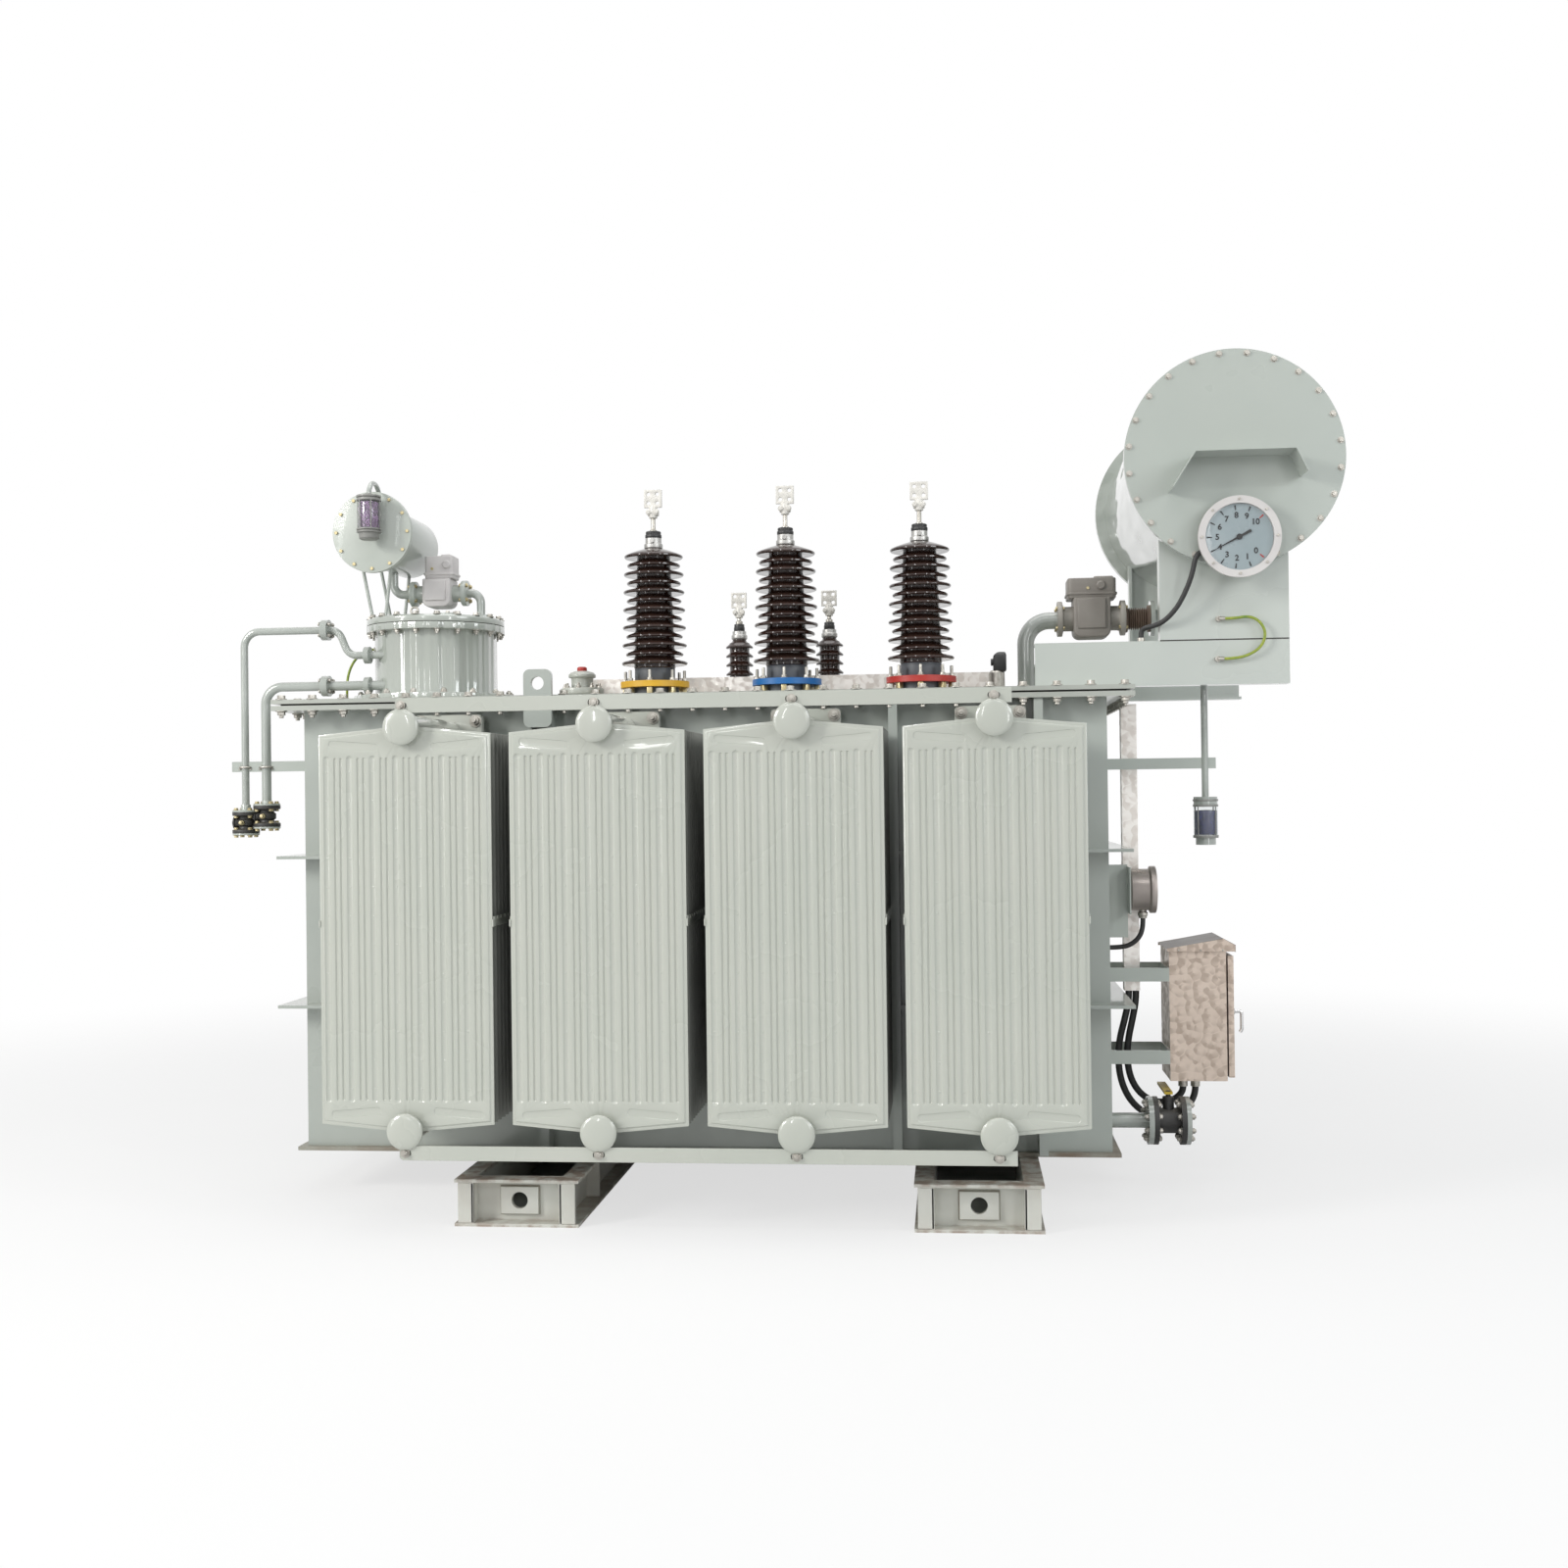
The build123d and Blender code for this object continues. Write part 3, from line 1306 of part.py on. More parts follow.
with BuildPart() as drain_pipe:
    with Locations((right_x + drain_pipe_length / 2, drain_y, drain_z)):
        Cylinder(drain_pipe_radius, drain_pipe_length, rotation=along_x)
    with Locations((drain_flange_x + drain_flange / 2, drain_y, drain_z)):
        Cylinder(drain_flange_radius, drain_flange, rotation=along_x)
    with Locations((drain_valve_right + drain_blank / 2, drain_y, drain_z)):
        Cylinder(drain_flange_radius, drain_blank, rotation=along_x)
drain_pipe.part.label = "drain_pipe"
export_step(drain_pipe.part, "parts/drain_pipe.step")

with BuildPart() as drain_valve:
    with Locations(((drain_valve_left + drain_valve_right) / 2, drain_y, drain_z)):
        Cylinder(drain_body_radius, drain_valve_length, rotation=along_x)
        with GridLocations(drain_valve_length - drain_flange, 0, 2, 1):
            Cylinder(drain_flange_radius, drain_flange, rotation=along_x)
    with Locations((drain_stem_x, drain_y, drain_z)):
        Cylinder(drain_neck_radius, drain_neck_height, align=standing)
        Cylinder(drain_stem_radius, lever_rise + stem_over, align=standing)
drain_valve.part.label = "drain_valve"
export_step(drain_valve.part, "parts/drain_valve.step")

with BuildPart() as drain_lever:
    with Locations((drain_stem_x, drain_y + (lever_length - lever_heel) / 2, lever_bottom)):
        Box(lever_width, lever_length + lever_heel, lever_thickness, align=standing)
    with Locations((drain_stem_x, drain_y, lever_bottom)):
        Cylinder(drain_stem_radius + stem_clearance, lever_thickness, align=standing, mode=Mode.SUBTRACT)
drain_lever.part.label = "drain_lever"
export_step(drain_lever.part, "parts/drain_lever.step")


# Tap changer oil pipes and valves

feed_pipe = bent_pipe(
    [
        (oltc_x, oil_pipe_y, feed_tap_z),
        (feed_rise_x, oil_pipe_y, feed_tap_z),
        (feed_level_x, oil_pipe_y, feed_pipe_z),
        (feed_pipe_x, oil_pipe_y, feed_pipe_z),
        (feed_pipe_x, oil_pipe_y, feed_valve_top),
    ],
    [feed_bend, feed_bend, feed_corner_bend],
    feed_pipe_radius,
)
return_pipe = bent_pipe(
    [
        (oltc_x, oil_pipe_y, return_pipe_z),
        (return_pipe_x, oil_pipe_y, return_pipe_z),
        (return_pipe_x, oil_pipe_y, return_valve_top),
    ],
    return_bend,
    return_pipe_radius,
)

with BuildPart() as oil_pipes:
    add(feed_pipe)
    add(return_pipe)
    for flange_z in (feed_pipe_z, return_pipe_z):
        with Locations((pipe_flange_x, oil_pipe_y, flange_z)):
            Cylinder(pipe_flange_radius, pipe_flange_thickness, rotation=along_x)
    drum_side_x = oltc_x - (oltc_radius**2 - oil_pipe_y**2) ** 0.5
    for tap_z in (feed_tap_z, return_pipe_z):
        with Locations((drum_side_x - tap_flange_gap - pipe_flange_radius, oil_pipe_y, tap_z)):
            Cylinder(pipe_flange_radius - feed_pipe_radius / 2, tap_flange_thickness, rotation=along_x)
    with Locations((oltc_x, 0, cover_top)):
        Cylinder(oltc_radius, oltc_height, align=standing, mode=Mode.SUBTRACT)
    with Locations((oltc_x, 0, cover_top + oltc_seat_height)):
        Cylinder(oltc_ring_radius, oltc_ring_thickness, align=standing, mode=Mode.SUBTRACT)
oil_pipes.part.label = "oil_pipes"
export_step(oil_pipes.part, "parts/oil_pipes.step")

with BuildPart() as oil_valves:
    for valve_x, valve_top in ((feed_pipe_x, feed_valve_top), (return_pipe_x, return_valve_top)):
        with Locations((valve_x, oil_pipe_y, valve_top - valve_height)):
            Cylinder(valve_body_radius, valve_height, align=standing)
            Cylinder(valve_flange_radius, valve_flange_height, align=standing)
        with Locations((valve_x, oil_pipe_y, valve_top - valve_flange_height)):
            Cylinder(valve_flange_radius, valve_flange_height, align=standing)
oil_valves.part.label = "oil_valves"
export_step(oil_valves.part, "parts/oil_valves.step")


# Flat-bar brackets welded to the end walls

with BuildPart() as wall_brackets:
    breather_bar_length = breather_x + breather_bar_over - right_x
    with Locations((right_x + breather_bar_length / 2, breather_y, breather_bar_z)):
        Box(breather_bar_length, bar_thickness, breather_bar_height, align=standing)
    with Locations((breather_x, breather_y, breather_bar_z)):
        Cylinder(breather_pipe_radius, breather_bar_height, align=standing, mode=Mode.SUBTRACT)
    thermometer_bar_z = thermometer_z - thermometer_bar_drop
    with Locations((right_x + thermometer_bar_reach / 2, thermometer_y, thermometer_bar_z)):
        Box(thermometer_bar_reach, bar_thickness, thermometer_bar_height, align=standing)
    with Locations((thermometer_left - thermometer_plate / 2, thermometer_y, thermometer_z)):
        Box(thermometer_plate, thermometer_plate_size, thermometer_plate_size)
    bracket_width = bracket_back - cabinet_front
    for bracket_z in bracket_levels:
        with Locations((right_x + cabinet_gap / 2, (cabinet_front + bracket_back) / 2, bracket_z)):
            Box(cabinet_gap, bracket_width, bracket_height, align=standing)
            with Locations((-bracket_thickness, 0, 0)):
                Box(
                    cabinet_gap,
                    bracket_width - 2 * bracket_thickness,
                    bracket_height,
                    align=standing,
                    mode=Mode.SUBTRACT,
                )
    oil_bar_length = left_x - feed_pipe_x + oil_bar_over
    with Locations((left_x - oil_bar_length / 2, oil_pipe_y, oil_bar_z)):
        Box(oil_bar_length, bar_thickness, oil_bar_height, align=standing)
    for pipe_x, pipe_radius in ((feed_pipe_x, feed_pipe_radius), (return_pipe_x, return_pipe_radius)):
        with Locations((pipe_x, oil_pipe_y, oil_bar_z)):
            Cylinder(pipe_radius, oil_bar_height, align=standing, mode=Mode.SUBTRACT)
wall_brackets.part.label = "wall_brackets"
export_step(wall_brackets.part, "parts/wall_brackets.step")


# Cable ducts

with BuildPart() as cable_ducts:
    duct_x = (duct_left + duct_right) / 2
    with Locations((duct_x, duct_y, duct_bottom)):
        Box(duct_right - duct_left, duct_size, duct_size, align=standing)
    with Locations((duct_x, duct_y, cover_top)):
        with GridLocations(duct_foot_pitch, 0, 3, 1):
            Box(duct_foot, duct_size, duct_rise, align=standing)
    with Locations((side_duct_x, side_duct_y, side_duct_bottom)):
        Box(duct_size, duct_size, side_duct_top - side_duct_bottom, align=standing)
cable_ducts.part.label = "cable_ducts"
export_step(cable_ducts.part, "parts/cable_ducts.step")


# Cables and bonding wires, with what they come out of

gauge_gland_y = gauge_back - (gauge_depth - gauge_bezel) / 2
gland_out_x = cos(radians(gauge_gland_angle))
gland_out_z = sin(radians(gauge_gland_angle))
gland_root = gauge_body_radius - gauge_gland_length
gland_tip = gauge_body_radius + gauge_gland_length
gland_past = gland_tip + 2 * cable_radius
gauge_exit = (gauge_x + gland_tip * gland_out_x, gauge_gland_y, gauge_z + gland_tip * gland_out_z)
gauge_route = [
    gauge_exit,
    (gauge_x + gland_past * gland_out_x, gauge_gland_y, gauge_z + gland_past * gland_out_z),
    (tank_x + 1564, gauge_gland_y + 1, 1984),
    (tank_x + 1557, gauge_gland_y + 6, 1944),
    (tank_x + 1541, -530, 1897),
    (tank_x + 1514, -514, 1842),
    (tank_x + 1474, -494, 1800),
    (tank_x + 1440, -472, 1789),
    (tank_x + 1418, -454, 1786),
    (tank_x + 1409, -446, 1775),
    (tank_x + 1409, -446, cover_top + beam_height + clip_length),
]
gauge_tube = cable("gauge_cable", gauge_route, cable_radius)

with BuildPart() as gauge_cable:
    add(gauge_tube)
gauge_cable.part.label = "gauge_cable"
export_step(gauge_cable.part, "parts/gauge_cable.step")

thermometer_exit_z = thermometer_z - thermometer_radius - thermometer_gland_length
thermometer_route = [
    (thermometer_left + thermometer_gland_x, thermometer_y, thermometer_exit_z),
    (thermometer_left + thermometer_gland_x, thermometer_y, 834),
    (tank_x + 1406, -299, 800),
    (tank_x + 1376, -294, 776),
    (tank_x + 1340, -285, 769),
    (right_x + clip_length, -285, 769),
]
thermometer_tube = cable("thermometer_cable", thermometer_route, cable_radius)

with BuildPart() as thermometer_cable:
    add(thermometer_tube)
thermometer_cable.part.label = "thermometer_cable"
export_step(thermometer_cable.part, "parts/thermometer_cable.step")

cabinet_gland_left = (tank_x + 1556, -167.0)
cabinet_gland_right = (tank_x + 1596, -167.0)
gland_bottom = cabinet_bottom - gland_length
outer_route = [
    (tank_x + 1381, -200, side_duct_bottom),
    (tank_x + 1381, -200, 588),
    (tank_x + 1368, -193, 528),
    (tank_x + 1350, -181, 455),
    (tank_x + 1346, -172, 388),
    (tank_x + 1354, -165, 322),
    (tank_x + 1378, -160, 262),
    (tank_x + 1418, -157, 218),
    (tank_x + 1466, -156, 196),
    (tank_x + 1516, -157, 197),
    (tank_x + 1558, -160, 219),
    (tank_x + 1586, -164, 254),
    (cabinet_gland_right[0], cabinet_gland_right[1], 286),
    (cabinet_gland_right[0], cabinet_gland_right[1], gland_bottom),
]
outer_tube = cable("cabinet_cable_outer", outer_route, control_cable_radius)

with BuildPart() as cabinet_cable_outer:
    add(outer_tube)
cabinet_cable_outer.part.label = "cabinet_cable_outer"
export_step(cabinet_cable_outer.part, "parts/cabinet_cable_outer.step")

inner_route = [
    (tank_x + 1404, -200, side_duct_bottom),
    (tank_x + 1404, -200, 588),
    (tank_x + 1393, -193, 528),
    (tank_x + 1378, -183, 455),
    (tank_x + 1375, -174, 390),
    (tank_x + 1385, -167, 330),
    (tank_x + 1411, -162, 282),
    (tank_x + 1450, -159, 252),
    (tank_x + 1494, -159, 246),
    (tank_x + 1528, -161, 257),
    (tank_x + 1548, -164, 274),
    (cabinet_gland_left[0], cabinet_gland_left[1], 291),
    (cabinet_gland_left[0], cabinet_gland_left[1], gland_bottom),
]
inner_tube = cable("cabinet_cable_inner", inner_route, control_cable_radius)

with BuildPart() as cabinet_cable_inner:
    add(inner_tube)
cabinet_cable_inner.part.label = "cabinet_cable_inner"
export_step(cabinet_cable_inner.part, "parts/cabinet_cable_inner.step")

# A bonding wire from the saddle down to its channel
saddle_stud = (tank_x + saddle_stud_offset, beam_front, cover_top + beam_height + saddle_stud_rise)
beam_stud = (tank_x + beam_stud_offset, beam_front, cover_top + beam_height / 2 + beam_stud_rise)
bond_y = beam_front - bond_stud_length
bond_route = [
    (saddle_stud[0] + bond_barrel_length, bond_y, saddle_stud[2]),
    (tank_x + 1694, bond_y, saddle_stud[2]),
    (tank_x + 1735, bond_y - 3, 1814),
    (tank_x + 1768, bond_y - 5, 1797),
    (tank_x + 1785, bond_y - 6, 1763),
    (tank_x + 1776, bond_y - 5, 1724),
    (tank_x + 1746, bond_y - 4, 1698),
    (tank_x + 1700, bond_y, beam_stud[2]),
    (beam_stud[0] + bond_barrel_length, bond_y, beam_stud[2]),
]
bond_tube = cable("conservator_bond", bond_route, bond_radius)

with BuildPart() as conservator_bond:
    add(bond_tube)
conservator_bond.part.label = "conservator_bond"
export_step(conservator_bond.part, "parts/conservator_bond.step")

# A bonding wire from the tap changer head down to the cover
head_stud_z = oltc_flange_bottom - head_stud_drop
cover_stud_x = oltc_x - cover_stud_offset
head_stud_x = oltc_x - oltc_radius
head_bond_route = [
    (head_stud_x - bond_stud_length, 0, head_stud_z),
    (oltc_x - 256, 0, head_stud_z),
    (oltc_x - 288, -10, 1786),
    (oltc_x - 310, -15, 1750),
    (oltc_x - 321, -18, 1708),
    (cover_stud_x, cover_stud_y, 1664),
    (cover_stud_x, cover_stud_y, cover_top + bond_stud_length),
]
head_bond_tube = cable("head_bond", head_bond_route, bond_radius)

with BuildPart() as head_bond:
    add(head_bond_tube)
head_bond.part.label = "head_bond"
export_step(head_bond.part, "parts/head_bond.step")

gauge_gland = straight_rod(
    (gauge_x + gland_root * gland_out_x, gauge_gland_y, gauge_z + gland_root * gland_out_z),
    gauge_exit,
    gauge_gland_radius,
)

with BuildPart() as cable_fittings:
    add(gauge_gland)
    with Locations((gauge_x, gauge_back - gauge_depth / 2, gauge_z)):
        Cylinder(gauge_body_radius, gauge_depth, rotation=along_y, mode=Mode.SUBTRACT)
    with Locations((gauge_route[-1][0], gauge_route[-1][1], cover_top + beam_height)):
        Cylinder(clip_radius, clip_length, align=standing)
    with Locations((right_x + clip_length / 2, thermometer_route[-1][1], thermometer_route[-1][2])):
        Cylinder(clip_radius, clip_length, rotation=along_x)
    for gland_x, gland_y in (cabinet_gland_left, cabinet_gland_right):
        with Locations((gland_x, gland_y, gland_bottom)):
            Cylinder(gland_radius, gland_length, align=standing)
    for stud_x, stud_y, stud_z in (saddle_stud, beam_stud):
        with Locations((stud_x, stud_y - bond_stud_length / 2, stud_z)):
            Cylinder(bond_stud_radius, bond_stud_length, rotation=along_y)
        with Locations((stud_x + bond_barrel_length / 2, bond_y, stud_z)):
            Cylinder(bond_barrel_radius, bond_barrel_length, rotation=along_x)
    with Locations((head_stud_x, 0, head_stud_z)):
        Cylinder(bond_stud_radius, 2 * bond_stud_length, rotation=along_x)
    with Locations((oltc_x, 0, cover_top)):
        Cylinder(oltc_radius, oltc_height, align=standing, mode=Mode.SUBTRACT)
    with Locations((cover_stud_x, cover_stud_y, cover_top)):
        Cylinder(bond_stud_radius, bond_stud_length, align=standing)
cable_fittings.part.label = "cable_fittings"
export_step(cable_fittings.part, "parts/cable_fittings.step")
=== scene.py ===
from math import atan2, cos, pi, radians, sin, tan

import bpy
from mathutils import Matrix, Vector


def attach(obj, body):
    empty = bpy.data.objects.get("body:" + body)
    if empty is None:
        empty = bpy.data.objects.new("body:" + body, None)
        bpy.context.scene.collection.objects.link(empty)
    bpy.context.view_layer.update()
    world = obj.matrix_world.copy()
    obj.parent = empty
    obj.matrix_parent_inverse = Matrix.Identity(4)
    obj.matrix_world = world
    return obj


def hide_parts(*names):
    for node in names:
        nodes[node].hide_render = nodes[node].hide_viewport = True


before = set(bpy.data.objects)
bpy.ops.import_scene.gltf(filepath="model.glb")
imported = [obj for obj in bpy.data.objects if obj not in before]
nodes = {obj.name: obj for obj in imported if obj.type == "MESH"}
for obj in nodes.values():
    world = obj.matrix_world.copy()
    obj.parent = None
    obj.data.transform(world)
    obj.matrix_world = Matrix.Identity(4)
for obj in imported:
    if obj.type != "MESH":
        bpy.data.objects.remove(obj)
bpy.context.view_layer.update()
MM = 0.001


# Ways of working: each helper does by command what is done by hand in the modelling window.

def clear_selection():
    bpy.ops.object.select_all(action="DESELECT")


def work_on(piece):
    clear_selection()
    piece.select_set(True)
    bpy.context.view_layer.objects.active = piece


def freeze(piece):
    """Puts a piece's place, turn and size into its mesh."""
    work_on(piece)
    bpy.ops.object.transform_apply(location=True, rotation=True, scale=True)


def edit(piece, select="SELECT"):
    work_on(piece)
    bpy.ops.object.mode_set(mode="EDIT")
    bpy.ops.mesh.select_mode(type="FACE")
    bpy.ops.mesh.select_all(action=select)


def leave_edit():
    bpy.ops.object.mode_set(mode="OBJECT")


def tidy_mesh(piece, reach=0.00002):
    edit(piece)
    bpy.ops.mesh.remove_doubles(threshold=reach)
    bpy.ops.mesh.normals_make_consistent(inside=False)
    leave_edit()


def start_box(name, low, high):
    """A box from its low corner to its high corner, in millimetres."""
    clear_selection()
    middle = (Vector(low) + Vector(high)) * 0.5 * MM
    bpy.ops.mesh.primitive_cube_add(size=1.0, location=middle)
    piece = bpy.context.object
    piece.name = name
    piece.scale = (Vector(high) - Vector(low)) * MM
    freeze(piece)
    return piece


TURNS = {"X": (0.0, pi / 2, 0.0), "Y": (pi / 2, 0.0, 0.0), "Z": (0.0, 0.0, 0.0)}


def start_disc(name, centre, radius, length, axis="Z", sides=32):
    """A round bar or disc about its centre, in millimetres."""
    clear_selection()
    bpy.ops.mesh.primitive_cylinder_add(
        vertices=sides, radius=radius * MM, depth=length * MM,
        location=Vector(centre) * MM, rotation=TURNS[axis])
    piece = bpy.context.object
    piece.name = name
    freeze(piece)
    return piece


def pick_faces(piece, test):
    """Goes into edit mode with the faces picked that pass a test of centre (mm) and normal."""
    edit(piece, "DESELECT")
    leave_edit()
    for face in piece.data.polygons:
        face.select = bool(test(face.center / MM, face.normal))
    bpy.ops.object.mode_set(mode="EDIT")


def pick_edges(piece, test):
    """Goes into edit mode with the edges picked that pass a test of their two ends (mm)."""
    edit(piece, "DESELECT")
    bpy.ops.mesh.select_mode(type="EDGE")
    leave_edit()
    points = piece.data.vertices
    for edge in piece.data.edges:
        first, second = edge.vertices
        edge.select = bool(test(points[first].co / MM, points[second].co / MM))
    bpy.ops.object.mode_set(mode="EDIT")


def round_edges(piece, width, segments=2, angle=40):
    """Rounds every edge sharper than an angle."""
    work_on(piece)
    bevel = piece.modifiers.new("rounding", "BEVEL")
    bevel.width = width * MM
    bevel.segments = segments
    bevel.limit_method = "ANGLE"
    bevel.angle_limit = radians(angle)
    bpy.ops.object.modifier_apply(modifier=bevel.name)


def smooth(piece, angle=35):
    """Shades a piece smooth, except at edges sharper than an angle."""
    work_on(piece)
    bpy.ops.object.shade_smooth_by_angle(angle=radians(angle))


def turned(name, outline, place=(0, 0, 0), axis="Z", steps=40, rounding=0.0, angle=40, segments=2):
    """A turned piece: its outline of (radius, height) corners is drawn and spun once round.
    Along X or Y the heights run towards the positive end of the axis."""
    clear_selection()
    bpy.ops.mesh.primitive_plane_add(size=0.01, location=(0, 0, 0))
    piece = bpy.context.object
    piece.name = name
    bpy.ops.object.mode_set(mode="EDIT")
    bpy.ops.mesh.select_mode(type="VERT")
    bpy.ops.mesh.select_all(action="SELECT")
    bpy.ops.mesh.merge(type="CENTER")
    bpy.ops.transform.translate(value=(outline[0][0] * MM, 0, outline[0][1] * MM))
    for before, after in zip(outline, outline[1:]):
        step = ((after[0] - before[0]) * MM, 0, (after[1] - before[1]) * MM)
        bpy.ops.mesh.extrude_vertices_move(TRANSFORM_OT_translate={"value": step})
    bpy.ops.mesh.select_all(action="SELECT")
    bpy.ops.mesh.spin(steps=steps, angle=2 * pi, center=(0, 0, 0), axis=(0, 0, 1))
    leave_edit()
    tidy_mesh(piece)
    if rounding:
        round_edges(piece, rounding, segments, angle)
    turns = {"X": (0.0, pi / 2, 0.0), "Y": (-pi / 2, 0.0, 0.0), "Z": (0.0, 0.0, 0.0)}
    piece.rotation_euler = turns[axis]
    piece.location = Vector(place) * MM
    freeze(piece)
    smooth(piece)
    return piece


def tube(name, radius, corners, bend, sides=20):
    """A round tube pulled through corner points, each inner corner bent to one radius, in millimetres."""
    corners = [Vector(corner) for corner in corners]
    ahead = (corners[1] - corners[0]).normalized()
    clear_selection()
    bpy.ops.mesh.primitive_circle_add(
        vertices=sides, radius=radius * MM, fill_type="NGON", location=corners[0] * MM,
        rotation=ahead.to_track_quat("Z", "Y").to_euler())
    piece = bpy.context.object
    piece.name = name
    freeze(piece)
    edit(piece)
    used = 0.0
    for index in range(1, len(corners)):
        leg = corners[index] - corners[index - 1]
        ahead = leg.normalized()
        short = 0.0
        if index < len(corners) - 1:
            after = (corners[index + 1] - corners[index]).normalized()
            angle = ahead.angle(after)
            short = bend * tan(angle / 2)
        length = leg.length - used - short
        if length > 0.01:
            bpy.ops.mesh.extrude_region_move(TRANSFORM_OT_translate={"value": ahead * length * MM})
        if short:
            axis = ahead.cross(after).normalized()
            centre = corners[index] - ahead * short + axis.cross(ahead) * bend
            bpy.ops.mesh.spin(steps=10, angle=angle, center=centre * MM, axis=-axis)
        used = short
    leave_edit()
    tidy_mesh(piece)
    smooth(piece, 40)
    return piece


def row(piece, count, step):
    """Copies a piece in a row: count of all, step between them in millimetres."""
    edit(piece)
    for _ in range(count - 1):
        bpy.ops.mesh.duplicate_move(TRANSFORM_OT_translate={"value": Vector(step) * MM})
    leave_edit()


def ring(piece, count, centre, axis):
    """Copies a piece round a centre: count of all."""
    edit(piece)
    bpy.ops.mesh.spin(
        steps=count - 1, dupli=True, angle=2 * pi * (count - 1) / count,
        center=Vector(centre) * MM, axis=axis)
    leave_edit()


def copy_of(piece, name, move=(0, 0, 0), turn=0.0, about=(0, 0, 0)):
    """A copy with its own mesh, turned about an upright line and then moved, in millimetres."""
    work_on(piece)
    bpy.ops.object.duplicate()
    other = bpy.context.object
    other.name = name
    if turn:
        edit(other)
        bpy.ops.transform.rotate(value=turn, orient_axis="Z", center_override=Vector(about) * MM)
        leave_edit()
    other.location = Vector(move) * MM
    freeze(other)
    return other


def joined(name, pieces):
    """Joins pieces into one, under a name."""
    clear_selection()
    for piece in pieces:
        piece.select_set(True)
    bpy.context.view_layer.objects.active = pieces[0]
    bpy.ops.object.join()
    whole = bpy.context.object
    whole.name = name
    return whole


def cut(piece, cutter):
    """Takes a cutter's shape out of a piece."""
    work_on(piece)
    boolean = piece.modifiers.new("cut", "BOOLEAN")
    boolean.operation = "DIFFERENCE"
    boolean.solver = "EXACT"
    boolean.object = cutter
    bpy.ops.object.modifier_apply(modifier=boolean.name)
    bpy.data.objects.remove(cutter)


def done(piece, material, body="transformer", hides=()):
    """Gives a finished piece its material and the body it rides on."""
    piece.data.materials.clear()
    piece.data.materials.append(material)
    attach(piece, body)
    if hides:
        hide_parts(*hides)


# Shared surface effects: soft mottling of a colour, and dust that settles on faces that look up.

def new_group(name, inputs, outputs):
    """An empty node group with its sockets."""
    group = bpy.data.node_groups.new(name, "ShaderNodeTree")
    for label, kind, value in inputs:
        socket = group.interface.new_socket(name=label, in_out="INPUT", socket_type=kind)
        socket.default_value = value
    for label, kind in outputs:
        group.interface.new_socket(name=label, in_out="OUTPUT", socket_type=kind)
    return group


def mottle_group():
    """Two sizes of soft cloud over a colour, with a roughness and a fine height."""
    group = new_group(
        "mottle",
        [("Colour", "NodeSocketColor", (0.5, 0.5, 0.5, 1.0)),
         ("Second", "NodeSocketColor", (0.4, 0.4, 0.4, 1.0)),
         ("Scale", "NodeSocketFloat", 4.0),
         ("Rough", "NodeSocketFloat", 0.35),
         ("Rough change", "NodeSocketFloat", 0.1)],
        [("Colour", "NodeSocketColor"), ("Rough", "NodeSocketFloat"), ("Height", "NodeSocketFloat")])
    tree = group.nodes
    link = group.links.new
    take = tree.new("NodeGroupInput")
    give = tree.new("NodeGroupOutput")
    place = tree.new("ShaderNodeTexCoord")
    cloud = tree.new("ShaderNodeTexNoise")
    cloud.inputs["Detail"].default_value = 4.0
    link(place.outputs["Object"], cloud.inputs["Vector"])
    link(take.outputs["Scale"], cloud.inputs["Scale"])
    spread = tree.new("ShaderNodeMapRange")
    spread.interpolation_type = "SMOOTHSTEP"
    spread.inputs["From Min"].default_value = 0.2
    spread.inputs["From Max"].default_value = 0.85
    link(cloud.outputs["Fac"], spread.inputs["Value"])
    blend = tree.new("ShaderNodeMix")
    blend.data_type = "RGBA"
    link(spread.outputs["Result"], blend.inputs["Factor"])
    link(take.outputs["Colour"], blend.inputs["A"])
    link(take.outputs["Second"], blend.inputs["B"])
    link(blend.outputs["Result"], give.inputs["Colour"])
    change = tree.new("ShaderNodeMath")
    change.operation = "MULTIPLY_ADD"
    link(spread.outputs["Result"], change.inputs[0])
    link(take.outputs["Rough change"], change.inputs[1])
    link(take.outputs["Rough"], change.inputs[2])
    link(change.outputs["Value"], give.inputs["Rough"])
    grain = tree.new("ShaderNodeTexNoise")
    grain.inputs["Scale"].default_value = 60.0
    grain.inputs["Detail"].default_value = 2.0
    link(place.outputs["Object"], grain.inputs["Vector"])
    link(grain.outputs["Fac"], give.inputs["Height"])
    return group


